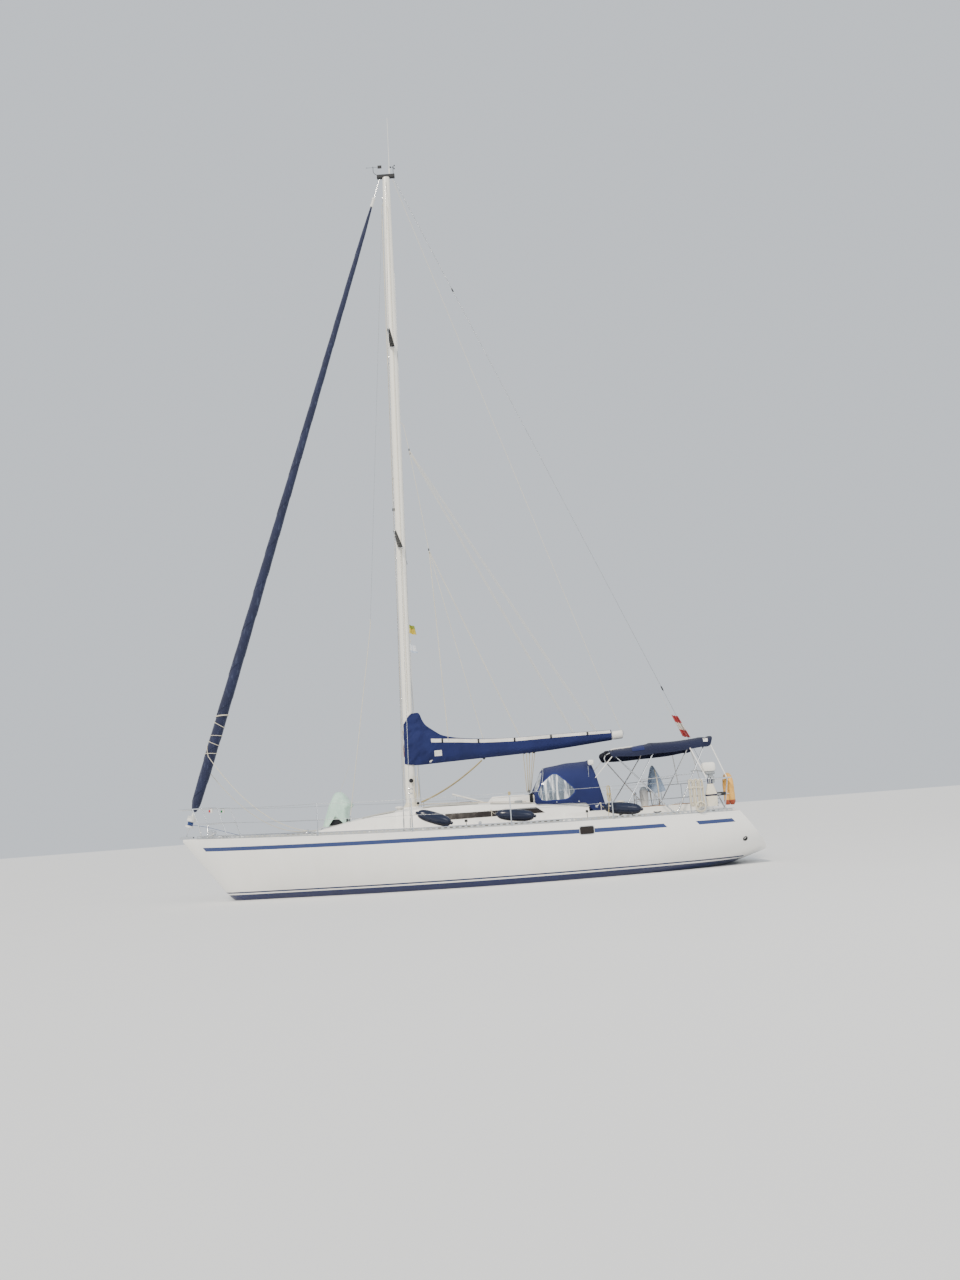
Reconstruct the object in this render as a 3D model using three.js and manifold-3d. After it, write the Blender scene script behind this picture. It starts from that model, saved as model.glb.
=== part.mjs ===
// A cruising sloop of about 12 m, afloat with her sails stowed: covered mainsail, furled genoa, dodger and bimini up.
// Millimetres. X forward, Y to port, Z up. The origin is on the centreline at the waterline, near amidships.
import * as THREE from "three";
import { mergeVertices } from "three/addons/utils/BufferGeometryUtils.js";
import Module from "manifold-3d";

const wasm = await Module();
wasm.setup();

const GAP = 0.4; // between pieces that touch
const yacht = new THREE.Group();

// Driving sizes
const STEM_X = 6660;
const TRANSOM = { topX: -4850, topZ: 1130, tipX: -5560, tipZ: 240 };
const DECK_EDGE = 30; // depth of the deck moulding at the sheer
const DECK_CAMBER = 0.05; // rise at the centreline over half breadth
const MAST = { deckX: 1750, deckZ: 1662, topZ: 16760, rake: 0.0219, long: 105, wide: 70 };
const FORESTAY = { low: [6590, 0, 1400], high: [1572, 0, 16757] };
const BACKSTAY = { low: [-4980, 0, 1050], high: [1245, 0, 16757] };
const SPREADERS = [
  { name: "lower", z: 7420, reach: 1400 },
  { name: "upper", z: 12280, reach: 970 },
];
const CHAINPLATE = { capX: 1775, lowerX: 1645, y: 1700 };
const BOOM = { pivotX: 1550, pivotZ: 2640, frontX: 1440, frontZ: 2645, tipX: -2930, tipZ: 2870, high: 90, wide: 60 };
const KEEL = { stubZ: -640, footZ: -2000 };
const RUDDER = { x: -4300, stock: 32, footZ: -1600 };
const SHAFT = { from: [-1650, 0, -451], hub: [-2960, 0, -700], radius: 15 };
const COCKPIT = { front: -1590, back: -4350, seatHalf: 930, seatZ: 980, wellHalf: 420, wellZ: 520, wellBack: -3950 };
const WAY_DOWN = { front: -720, back: -1500, half: 300, sill: 1020, floor: -250 };
const COAMING_Z = 1285;
const WHEEL = { x: -3480, z: 1600, radius: 530, tube: 14, spokes: 8 };
const HATCH = { front: -690, back: -1560, half: 366, low: 1692, high: 1706 };
const FORE_HATCH = { hingeX: 3130, frontX: 3520, half: 205, coamingZ: 1512, openDegrees: 50 };
const LIFELINE = 610; // height of the stanchions
const STANCHION_XS = [3530, 1600, -340, -2330];
const RAIL = { high: 60, thick: 14, inset: 8 }; // toe rail
const TUBE = 12.5; // radius of the rail tubes
const WINDOW = { front: 980, back: -1040, low: 1332, high: 1452, slant: 160 };

// Hull stations. half: half breadth at the deck edge, sheer: deck edge height, keel: height of the canoe body
// on the centreline, full: exponent of the section curve, from nearly straight at the stem to round amidships.
const STATIONS = [
  { x: 6660, half: 32, sheer: 1340, keel: 1270, full: 1.35 },
  { x: 6200, half: 290, sheer: 1322, keel: 700, full: 1.35 },
  { x: 5500, half: 620, sheer: 1292, keel: -60, full: 1.42 },
  { x: 4500, half: 1050, sheer: 1254, keel: -250, full: 1.6 },
  { x: 3500, half: 1380, sheer: 1218, keel: -380, full: 1.72 },
  { x: 2500, half: 1620, sheer: 1185, keel: -470, full: 1.9 },
  { x: 1500, half: 1790, sheer: 1158, keel: -530, full: 2.05 },
  { x: 500, half: 1890, sheer: 1138, keel: -555, full: 2.25 },
  { x: -500, half: 1930, sheer: 1125, keel: -550, full: 2.37 },
  { x: -1500, half: 1920, sheer: 1116, keel: -500, full: 2.4 },
  { x: -2500, half: 1860, sheer: 1106, keel: -400, full: 2.42 },
  { x: -3500, half: 1740, sheer: 1094, keel: -250, full: 2.45 },
  { x: -4500, half: 1560, sheer: 1083, keel: -80, full: 2.45 },
  { x: -5700, half: 1240, sheer: 1075, keel: 262, full: 2.5 },
];

// Coachroof stations. base and top: half breadths, edge and crown: heights of the roof at its edge and centre.
const ROOF = [
  { x: 3850, base: 300, top: 240, edge: 1275, crown: 1290 },
  { x: 3400, base: 520, top: 430, edge: 1360, crown: 1400 },
  { x: 3000, base: 680, top: 570, edge: 1430, crown: 1480 },
  { x: 2500, base: 840, top: 710, edge: 1510, crown: 1565 },
  { x: 2000, base: 980, top: 840, edge: 1560, crown: 1620 },
  { x: 1200, base: 1120, top: 990, edge: 1605, crown: 1662 },
  { x: 400, base: 1200, top: 1075, edge: 1592, crown: 1645 },
  { x: -600, base: 1230, top: 1125, edge: 1528, crown: 1580 },
  { x: -1590, base: 1215, top: 1125, edge: 1490, crown: 1540 },
  { x: -1940, base: 1200, top: 1112, edge: 1470, crown: 1515 },
];

// The value of a column at x, on a smooth curve through the rows.
function at(rows, column, x) {
  let i = 1;
  while (i < rows.length - 1 && x < rows[i].x) i++;
  const [a, b] = [rows[i - 1], rows[i]];
  const before = rows[i - 2] ?? a;
  const after = rows[i + 1] ?? b;
  const slopeA = (b[column] - before[column]) / (b.x - before.x);
  const slopeB = (after[column] - a[column]) / (after.x - a.x);
  const span = b.x - a.x;
  const t = (x - a.x) / span;
  const [t2, t3] = [t * t, t * t * t];
  return (
    (2 * t3 - 3 * t2 + 1) * a[column] +
    (t3 - 2 * t2 + t) * span * slopeA +
    (3 * t2 - 2 * t3) * b[column] +
    (t3 - t2) * span * slopeB
  );
}

// The value of a column at x, on straight lines between the rows.
function straight(rows, column, x) {
  let i = 1;
  while (i < rows.length - 1 && x < rows[i].x) i++;
  const [a, b] = [rows[i - 1], rows[i]];
  return a[column] + ((b[column] - a[column]) * (x - a.x)) / (b.x - a.x);
}

const range = (count, from, to) => Array.from({ length: count }, (_, i) => from + ((to - from) * i) / (count - 1));
const mastX = (z) => MAST.deckX - MAST.rake * (z - MAST.deckZ);
const deckTop = (x, y) => {
  const half = at(STATIONS, "half", x);
  return at(STATIONS, "sheer", x) + DECK_CAMBER * half * (1 - (y / half) ** 2);
};

// Solids

function solid(geometry) {
  let plain = geometry.clone();
  plain.deleteAttribute("normal");
  plain.deleteAttribute("uv");
  plain = mergeVertices(plain, 1e-3);
  return new wasm.Manifold(
    new wasm.Mesh({
      numProp: 3,
      vertProperties: new Float32Array(plain.attributes.position.array),
      triVerts: new Uint32Array(plain.index.array),
    }),
  );
}

function join(...solids) {
  return solids.reduce((all, next) => all.add(next));
}

// Which two coordinates lie across a loft's axis.
const ACROSS = { x: ([, y, z]) => [y, z], y: ([x, , z]) => [x, z], z: ([x, y]) => [x, y] };

// A closed solid through rings of equally many [x, y, z] points, which follow each other along an axis.
function loft(rings, axis = "x") {
  const flat = rings[0].map((point) => new THREE.Vector2(...ACROSS[axis](point)));
  if (THREE.ShapeUtils.area(flat) < 0) return loft(rings.map((ring) => ring.toReversed()), axis);
  const count = flat.length;
  const index = [];
  for (let r = 0; r + 1 < rings.length; r++)
    for (let i = 0; i < count; i++) {
      const j = (i + 1) % count;
      const [a, b, c, d] = [r * count + i, r * count + j, (r + 1) * count + j, (r + 1) * count + i];
      index.push(a, b, c, a, c, d);
    }
  const last = (rings.length - 1) * count;
  for (const [a, b, c] of THREE.ShapeUtils.triangulateShape(flat, [])) {
    index.push(a, c, b);
    index.push(last + a, last + b, last + c);
  }
  const geometry = new THREE.BufferGeometry();
  geometry.setAttribute("position", new THREE.Float32BufferAttribute(rings.flat(2), 3));
  geometry.setIndex(index);
  const made = solid(geometry);
  return made.volume() < 0 ? solid(turned(geometry)) : made;
}

// The same faces seen from the other side.
function turned(geometry) {
  const index = geometry.index.array;
  for (let i = 0; i < index.length; i += 3) [index[i], index[i + 1]] = [index[i + 1], index[i]];
  return geometry;
}

// A slab: an outline of pairs in the plane across an axis, from low to high along that axis.
function slab(outline, axis, low, high) {
  const place = { x: ([a, b], h) => [h, a, b], y: ([a, b], h) => [a, h, b], z: ([a, b], h) => [a, b, h] }[axis];
  return loft(
    [low, high].map((h) => outline.map((pair) => place(pair, h))),
    axis,
  );
}

function box(low, high) {
  const size = high.map((h, i) => h - low[i]);
  const geometry = new THREE.BoxGeometry(...size);
  geometry.translate(...high.map((h, i) => (h + low[i]) / 2));
  return solid(geometry);
}

// A round bar between two points, with its own radius at each end.
function bar(from, to, radius, endRadius = radius, sides = 6) {
  const [a, b] = [new THREE.Vector3(...from), new THREE.Vector3(...to)];
  const along = b.clone().sub(a);
  const geometry = new THREE.CylinderGeometry(endRadius, radius, along.length(), sides);
  geometry.applyQuaternion(
    new THREE.Quaternion().setFromUnitVectors(new THREE.Vector3(0, 1, 0), along.clone().normalize()),
  );
  geometry.translate(...a.add(b).multiplyScalar(0.5).toArray());
  return solid(geometry);
}

// A tube along straight runs with rounded corners.
function bentTube(points, radius, { bend = 90, sides = 8, steps = 24 } = {}) {
  const path = new THREE.CurvePath();
  const corners = points.map((p) => new THREE.Vector3(...p));
  let from = corners[0];
  for (let i = 1; i < corners.length - 1; i++) {
    const corner = corners[i];
    const reach = Math.min(bend, corner.distanceTo(from) * 0.45, corner.distanceTo(corners[i + 1]) * 0.45);
    const into = corner.clone().add(from.clone().sub(corner).setLength(reach));
    const out = corner.clone().add(corners[i + 1].clone().sub(corner).setLength(reach));
    path.add(new THREE.LineCurve3(from, into));
    path.add(new THREE.QuadraticBezierCurve3(into, corner, out));
    from = out;
  }
  path.add(new THREE.LineCurve3(from, corners.at(-1)));
  return sweep(path, radius, sides, steps);
}

function sweep(path, radius, sides, steps) {
  const section = new THREE.Shape();
  for (let i = 0; i < sides; i++) {
    const angle = (2 * Math.PI * i) / sides;
    const [x, y] = [radius * Math.cos(angle), radius * Math.sin(angle)];
    i ? section.lineTo(x, y) : section.moveTo(x, y);
  }
  return solid(new THREE.ExtrudeGeometry(section, { extrudePath: path, steps, curveSegments: 1 }));
}

// A turned piece: [radius, height] pairs from the bottom up, about +Z, or about the line from one point to another.
function lathe(profile, { from = [0, 0, 0], to = [0, 0, 1], sides = 20 } = {}) {
  const closed = [[0, profile[0][1]], ...profile, [0, profile.at(-1)[1]]];
  const geometry = new THREE.LatheGeometry(closed.map(([r, h]) => new THREE.Vector2(r, h)), sides);
  const along = new THREE.Vector3(...to).sub(new THREE.Vector3(...from)).normalize();
  geometry.applyQuaternion(new THREE.Quaternion().setFromUnitVectors(new THREE.Vector3(0, 1, 0), along));
  geometry.translate(...from);
  return solid(geometry);
}

function circle(a, b, radius, sides = 16) {
  return range(sides + 1, 0, 2 * Math.PI)
    .slice(0, -1)
    .map((t) => [a + radius * Math.cos(t), b + radius * Math.sin(t)]);
}

// Materials, by what each piece is made of
const FINISHES = {
  gelcoat: { color: 0xf1efe8, roughness: 0.3, metalness: 0 },
  castIron: { color: 0x2b3550, roughness: 0.7, metalness: 0 },
  mastPaint: { color: 0xefece2, roughness: 0.35, metalness: 0 },
  aluminium: { color: 0xb4b8bb, roughness: 0.45, metalness: 0.9 },
  blackAlloy: { color: 0x202226, roughness: 0.5, metalness: 0.3 },
  stainless: { color: 0xd5d8da, roughness: 0.2, metalness: 1 },
  bronze: { color: 0x9c7a3c, roughness: 0.4, metalness: 1 },
  navyCanvas: { color: 0x16245a, roughness: 0.9, metalness: 0 },
  navyFender: { color: 0x1d2c55, roughness: 0.35, metalness: 0 },
  acrylic: { color: 0x231c19, roughness: 0.15, metalness: 0 },
  mintNylon: { color: 0xb9d9c6, roughness: 0.8, metalness: 0 },
  rope: { color: 0xe6dcc3, roughness: 0.9, metalness: 0 },
  buoyFoam: { color: 0xe89a1e, roughness: 0.7, metalness: 0 },
  engine: { color: 0x8b2f24, roughness: 0.6, metalness: 0.2 },
};

function add(name, made, finish) {
  const flat = made.getMesh();
  const geometry = new THREE.BufferGeometry();
  const stride = flat.numProp;
  const points = new Float32Array(flat.numVert * 3);
  for (let i = 0; i < flat.numVert; i++)
    points.set(flat.vertProperties.subarray(i * stride, i * stride + 3), i * 3);
  geometry.setAttribute("position", new THREE.BufferAttribute(points, 3));
  geometry.setIndex(new THREE.BufferAttribute(new Uint32Array(flat.triVerts), 1));
  geometry.computeVertexNormals();
  const mesh = new THREE.Mesh(geometry, new THREE.MeshStandardMaterial(FINISHES[finish]));
  mesh.name = name;
  yacht.add(mesh);
}

const SIDES = [
  { name: "port", sign: 1 },
  { name: "starboard", sign: -1 },
];

// Hull and deck

const SECTION_POINTS = 21;
const STATION_XS = range(27, STEM_X, -5700);

function hullRing(x) {
  const [half, sheer, keel, full] = ["half", "sheer", "keel", "full"].map((column) => at(STATIONS, column, x));
  const top = sheer - DECK_EDGE;
  return range(SECTION_POINTS, -Math.PI / 2, Math.PI / 2).map((angle) => {
    const y = half * Math.sign(angle) * Math.abs(Math.sin(angle)) ** (2 / full);
    const z = top - (top - keel) * Math.abs(Math.cos(angle)) ** (2 / full);
    return [x, y, z];
  });
}

function deckRing(x) {
  const half = at(STATIONS, "half", x);
  const low = at(STATIONS, "sheer", x) - DECK_EDGE + GAP;
  const top = range(9, half, -half).map((y) => [x, y, deckTop(x, y)]);
  return [[x, -half, low], [x, half, low], ...top];
}

const transomX = (z) =>
  TRANSOM.topX - ((TRANSOM.topX - TRANSOM.tipX) / (TRANSOM.topZ - TRANSOM.tipZ)) * (TRANSOM.topZ - z);

// Everything aft of the raked transom.
function beyondTransom() {
  const [low, high, back, half] = [-900, 1500, -6500, 2500];
  const outline = [
    [transomX(low), low],
    [transomX(high), high],
    [back, high],
    [back, low],
  ];
  return slab(outline, "y", -half, half);
}

const OPEN_Z = 1900; // a height clear above every well
function cockpitHollow() {
  const { front, back, seatHalf, seatZ, wellHalf, wellZ, wellBack } = COCKPIT;
  return join(
    box([back, -seatHalf, seatZ], [front, seatHalf, OPEN_Z]),
    box([wellBack, -wellHalf, wellZ], [front, wellHalf, OPEN_Z]),
  );
}

function companionwayHollow() {
  const { front, back, half, sill, floor } = WAY_DOWN;
  return join(
    box([back, -half, floor], [front, half, OPEN_Z]),
    box([COCKPIT.front - 10, -half, sill], [front, half, OPEN_Z]),
  );
}

// A foil's outline from nose to tail, as [x, y] pairs.
function foil(nose, tail, thick) {
  const oneSide = range(9, 0, 1).map((t) => [
    nose + (tail - nose) * t,
    thick * 1.3 * Math.sqrt(t) * (1 - t) + 6,
  ]);
  return [...oneSide, ...oneSide.toReversed().map(([x, y]) => [x, -y])];
}

const ring = (outline, z) => outline.map(([x, y]) => [x, y, z]);

function makeHull() {
  const stub = slab(foil(1350, -1150, 300), "z", KEEL.stubZ, -350);
  const rudderTube = bar([RUDDER.x, 0, -500], [RUDDER.x, 0, 400], RUDDER.stock + 5, RUDDER.stock + 5, 16);
  const shaftTube = bar([-1500, 0, -422.5], [-2150, 0, -546], SHAFT.radius + 7, SHAFT.radius + 7, 12);
  return join(loft(STATION_XS.map(hullRing)), stub)
    .subtract(beyondTransom())
    .subtract(cockpitHollow())
    .subtract(companionwayHollow())
    .subtract(rudderTube)
    .subtract(shaftTube);
}

function roofRing({ x, base, top, edge, crown }) {
  const low = at(STATIONS, "sheer", x) - 20;
  const arch = range(7, top, -top).map((y) => [x, y, crown - (crown - edge) * (y / top) ** 2]);
  return [[x, -base, low], [x, base, low], ...arch];
}

function makeDeck() {
  const coaming = [
    [-1450, 1190],
    [-4300, 1110],
    [-4460, 950],
    [-4460, -950],
    [-4300, -1110],
    [-1450, -1190],
  ];
  const { hingeX, frontX, half, coamingZ } = FORE_HATCH;
  return join(
    loft(STATION_XS.map(deckRing)),
    loft(ROOF.map(roofRing)),
    slab(coaming, "z", 1090, COAMING_Z),
    box([MAST.deckX - 160, -125, 1500], [MAST.deckX + 160, 125, MAST.deckZ]),
    box([hingeX - 30, -half, 1380], [frontX, half, coamingZ]),
  )
    .subtract(box([hingeX + 25, -half + 25, 1340], [frontX - 25, half - 25, OPEN_Z]))
    .subtract(beyondTransom())
    .subtract(cockpitHollow())
    .subtract(companionwayHollow());
}

const hull = makeHull();
const deck = makeDeck();
const onDeck = (piece) => piece.subtract(deck.translate([0, 0, GAP]));
add("hull", hull, "gelcoat");
add("deck", deck, "gelcoat");

// A window along each side of the coachroof, its aft end slanted.
function coachroofWindow(sign) {
  const { front, back, low, high, slant } = WINDOW;
  const proud = [-15, 7];
  const sideY = (x, z) => {
    const [base, top, edge] = ["base", "top", "edge"].map((column) => straight(ROOF, column, x));
    const foot = at(STATIONS, "sheer", x) - 20;
    return base + ((top - base) * (z - foot)) / (edge - foot);
  };
  const rings = range(9, 0, 1).map((t) => {
    const [lowX, highX] = [front + (back - front) * t, front + (back + slant - front) * t];
    return [
      [lowX, sign * (sideY(lowX, low) + proud[0]), low],
      [lowX, sign * (sideY(lowX, low) + proud[1]), low],
      [highX, sign * (sideY(highX, high) + proud[1]), high],
      [highX, sign * (sideY(highX, high) + proud[0]), high],
    ];
  });
  return loft(rings).subtract(deck.translate([0, sign * GAP, 0]));
}
for (const { name, sign } of SIDES) add("window_" + name, coachroofWindow(sign), "acrylic");

// Below the water

function makeKeel() {
  return loft([ring(foil(1250, -1050, 280), KEEL.stubZ - GAP), ring(foil(800, -900, 240), KEEL.footZ)], "z");
}

function makeRudder() {
  const clear = 40;
  const top = foil(RUDDER.x + 150, RUDDER.x - 460, 90).map(([x, y]) => [x, y, at(STATIONS, "keel", x) - clear]);
  const blade = loft([top, ring(foil(RUDDER.x + 90, RUDDER.x - 330, 60), RUDDER.footZ)], "z");
  return join(blade, bar([RUDDER.x, 0, -400], [RUDDER.x, 0, 250], RUDDER.stock, RUDDER.stock, 16));
}

const shaftAt = (x) => {
  const { from, hub } = SHAFT;
  return [x, 0, from[2] + ((hub[2] - from[2]) * (x - from[0])) / (hub[0] - from[0])];
};

function makeStrut() {
  const barrel = bar(shaftAt(-2850), shaftAt(-2740), 34, 34, 16);
  const leg = slab(foil(-2755, -2835, 16), "z", shaftAt(-2795)[2], -250);
  return join(barrel, leg)
    .subtract(bar(shaftAt(-2900), shaftAt(-2700), SHAFT.radius + 5, SHAFT.radius + 5, 16))
    .subtract(hull.translate([0, 0, -GAP]));
}

function makePropeller() {
  const { hub, radius } = SHAFT;
  const [bladeLong, bladeWide, bladeThick, pitch] = [215, 62, 9, 0.6];
  const turn = new THREE.Matrix4();
  const blades = [0, 1, 2].map((i) => {
    const geometry = new THREE.CylinderGeometry(bladeWide, bladeWide * 0.55, bladeLong, 10).scale(0.16, 1, 1);
    geometry.translate(0, bladeLong / 2, 0);
    turn.makeRotationY(pitch).premultiply(new THREE.Matrix4().makeRotationX((2 * Math.PI * i) / 3));
    turn.setPosition(...hub);
    return solid(geometry.applyMatrix4(turn));
  });
  const boss = bar(shaftAt(hub[0] + 55), shaftAt(hub[0] - 70), 42, 22, 16);
  return join(bar(SHAFT.from, shaftAt(hub[0]), radius, radius, 12), boss, ...blades);
}

add("keel", makeKeel(), "castIron");
add("rudder", makeRudder(), "castIron");
add("propeller_strut", makeStrut(), "bronze");
add("propeller", makePropeller(), "bronze");
add("engine_block", box([-1400, -240, WAY_DOWN.floor + GAP], [-790, 240, 310]), "engine");

// Rig

const OVAL_SIDES = 16;
const oval = (x, y, z, long, wide) => circle(0, 0, 1, OVAL_SIDES).map(([a, b]) => [x + a * long, y + b * wide, z]);

function makeMast() {
  const { deckZ, topZ, long, wide } = MAST;
  return loft([deckZ + GAP, topZ].map((z) => oval(mastX(z), 0, z, long, wide)), "z");
}

// Aft and forward of the mast the crane overhangs for the stays, and the instruments stand on its rods.
const VANE = { x: 1720, z: 17060 };
const CUPS = { x: 1235, z: 17030 };
function makeCrane() {
  const low = MAST.topZ + GAP;
  return join(
    box([1205, -38, low], [1640, 38, low + 80]),
    bentTube([[1600, 0, low + 60], [VANE.x, 0, low + 160], [VANE.x, 0, VANE.z - 16]], 6, { bend: 40, steps: 8 }),
    bar([CUPS.x, 0, low + 60], [CUPS.x, 0, CUPS.z - 16], 6),
  );
}

function makeVane() {
  const { x, z } = VANE;
  return join(
    bar([x, 0, z - 8], [x, 0, z + 30], 9),
    bar([x + 150, 0, z + 10], [x - 170, 0, z + 10], 3),
    box([x - 210, -1.5, z - 30], [x - 110, 1.5, z + 55]),
    lathe([[8, 0], [1, 40]], { from: [x + 140, 0, z + 10], to: [x + 141, 0, z + 10], sides: 8 }),
  );
}

function makeCups() {
  const { x, z } = CUPS;
  const [reach, cup] = [62, 20];
  const arms = [0, 1, 2].flatMap((i) => {
    const angle = (2 * Math.PI * i) / 3;
    const [c, s] = [Math.cos(angle), Math.sin(angle)];
    const tip = [x + reach * c, reach * s, z + 12];
    return [
      bar([x, 0, z + 12], tip, 3),
      lathe([[cup, 0], [cup * 0.8, 14], [4, 24]], { from: tip, to: [tip[0] - s, tip[1] + c, tip[2]], sides: 10 }),
    ];
  });
  return join(bar([x, 0, z - 8], [x, 0, z + 26], 12), ...arms);
}

function spreader({ z, reach }, sign) {
  const root = MAST.wide + GAP;
  const tip = reach - 9;
  const x = mastX(z);
  const outline = [
    [x + 60, root],
    [x + 30, tip],
    [x - 30, tip],
    [x - 60, root],
  ].map(([a, b]) => [a, sign * b]);
  return slab(outline, "z", z - 14, z + 14);
}

// A wire of straight lengths, thicker where its screw is, at the foot.
function wire(points, radius, screw = 350) {
  const lengths = points.slice(1).map((point, i) => bar(points[i], point, radius, radius, 6));
  const knuckles = points.slice(1, -1).map((point) => {
    const geometry = new THREE.IcosahedronGeometry(radius * 1.25, 0);
    return solid(geometry.translate(...point));
  });
  const [a, b] = [new THREE.Vector3(...points[0]), new THREE.Vector3(...points[1])];
  const top = a.clone().add(b.sub(a).setLength(screw)).toArray();
  return join(...lengths, ...knuckles, bar(points[0], top, radius * 2.2, radius * 2.2, 8));
}

function capShroud(sign) {
  const { capX, y } = CHAINPLATE;
  const tips = SPREADERS.map(({ z, reach }) => [mastX(z), sign * reach, z]);
  const top = 16600;
  return wire([[capX, sign * y, deckTop(capX, y) + 4], ...tips, [mastX(top), sign * (MAST.wide + 9), top]], 5);
}

function lowerShroud(sign) {
  const { lowerX, y } = CHAINPLATE;
  const top = 7330;
  return wire([[lowerX, sign * (y - 10), deckTop(lowerX, y) + 4], [mastX(top), sign * (MAST.wide + 10), top]], 5);
}

function makeBackstay() {
  const { low, high } = BACKSTAY;
  const plate = [
    [transomX(1100) - 1, 1100],
    [low[0] - 25, 1085],
    [low[0] - 25, 1030],
    [transomX(1000) - 1, 1000],
  ];
  return join(wire([low, high], 5, 420), slab(plate, "y", -8, 8));
}

add("mast", makeMast(), "mastPaint");
add("masthead_crane", makeCrane(), "mastPaint");
const AERIAL = { x: 1330, baseZ: 17000, tipX: 1300, tipZ: 18410 };
function makeAerial() {
  const { x, baseZ, tipX, tipZ } = AERIAL;
  return join(bar([x, 0, MAST.topZ + 81], [x - 2, 0, baseZ], 18), bar([x - 1, 0, baseZ - 50], [tipX, 0, tipZ], 7, 4));
}
add("aerial", makeAerial(), "mastPaint");
add("wind_vane", makeVane(), "blackAlloy");
add("anemometer", makeCups(), "blackAlloy");
for (const row of SPREADERS)
  for (const { name, sign } of SIDES) add(`spreader_${row.name}_${name}`, spreader(row, sign), "blackAlloy");
for (const { name, sign } of SIDES) {
  add("cap_shroud_" + name, capShroud(sign), "stainless");
  add("lower_shroud_" + name, lowerShroud(sign), "stainless");
}
add("backstay", makeBackstay(), "stainless");

// Furled genoa: each row is [radius, distance up the forestay].
const UP_FORESTAY = { from: FORESTAY.low, to: FORESTAY.high };
const DRUM = [
  [9, 0], [9, 195], [92, 200], [92, 235], [55, 245],
  [55, 325], [97, 332], [97, 440], [22, 446], [22, 538],
];
const SAIL = [
  [60, 540], [105, 700], [122, 1500], [124, 2600], [118, 4500],
  [100, 8000], [78, 11500], [55, 14500], [30, 15358],
];
const SWIVEL = [[30, 15362], [42, 15380], [42, 15600], [9, 15620], [9, 16150]];
const onForestay = (up) => {
  const [a, b] = [new THREE.Vector3(...FORESTAY.low), new THREE.Vector3(...FORESTAY.high)];
  return a.add(b.sub(a).setLength(up)).toArray();
};
const turnedOnForestay = (profile, sides) => {
  const start = profile[0][1];
  const raised = profile.map(([radius, up]) => [radius, up - start]);
  return lathe(raised, { from: onForestay(start), to: FORESTAY.high, sides });
};
add("furling_drum", turnedOnForestay(DRUM, 20), "gelcoat");
add("furled_genoa", turnedOnForestay(SAIL, 14), "navyCanvas");
add("furling_swivel", turnedOnForestay(SWIVEL, 14), "gelcoat");

// Boom, on a pin held by a bracket on the mast. The pin is parallel to the raked mast.
const boomZ = (x) => BOOM.frontZ + ((BOOM.tipZ - BOOM.frontZ) * (x - BOOM.frontX)) / (BOOM.tipX - BOOM.frontX);
const pinAt = (z) => [BOOM.pivotX - MAST.rake * (z - BOOM.pivotZ), 0, z];

function makeGooseneck() {
  const { pivotX } = BOOM;
  const mastBack = (z) => mastX(z) - MAST.long - GAP;
  const back = [
    [mastBack(2560), 2560],
    [mastBack(2720), 2720],
    [pivotX + 38, 2720],
    [pivotX + 38, 2560],
  ];
  const lug = (low, high) => box([pivotX - 22, -24, low], [pivotX + 50, 24, high]);
  return join(slab(back, "y", -28, 28), lug(2572, 2590), lug(2690, 2708), bar(pinAt(2570), pinAt(2710), 8, 8, 12));
}

function makeBoom() {
  const { frontX, frontZ, tipX, tipZ, high, wide, pivotX } = BOOM;
  const end = (x, z) => circle(0, 0, 1, OVAL_SIDES).map(([a, b]) => [x, a * wide, z + b * high]);
  const tang = join(box([frontX - 30, -22, 2606], [pivotX, 22, 2674]), bar(pinAt(2606), pinAt(2674), 26, 26, 16));
  return join(loft([end(frontX, frontZ), end(tipX, tipZ)]), tang.subtract(bar(pinAt(2560), pinAt(2720), 12, 12, 12)));
}

// The mainsail cover, open at both ends round the boom. Each row: x, top and low heights, half width at mid height.
const BOOM_COVER = [
  { x: 1400, top: 3530, low: 2545, half: 120 },
  { x: 1220, top: 3370, low: 2540, half: 125 },
  { x: 900, top: 3090, low: 2540, half: 125 },
  { x: 200, top: 3015, low: 2562, half: 120 },
  { x: -600, top: 2968, low: 2588, half: 112 },
  { x: -1400, top: 2985, low: 2613, half: 103 },
  { x: -2680, top: 2985, low: 2715, half: 85 },
];
function makeBoomCover() {
  const { frontX, tipX, high, wide } = BOOM;
  const sides = 16;
  const rings = BOOM_COVER.map(({ x, top, low, half }) =>
    circle(0, 0, 1, sides).map(([a, b]) => [
      x,
      half * Math.sign(a) * Math.abs(a) ** 0.6,
      (top + low) / 2 + ((top - low) / 2) * Math.sign(b) * Math.abs(b) ** 0.8,
    ]),
  );
  const around = 5;
  const channel = (x) =>
    circle(0, 0, 1, OVAL_SIDES).map(([a, b]) => [x, a * (wide + around), boomZ(x) + b * (high + around)]);
  return loft(rings).subtract(loft([channel(frontX + 60), channel(tipX - 50)]));
}

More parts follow.
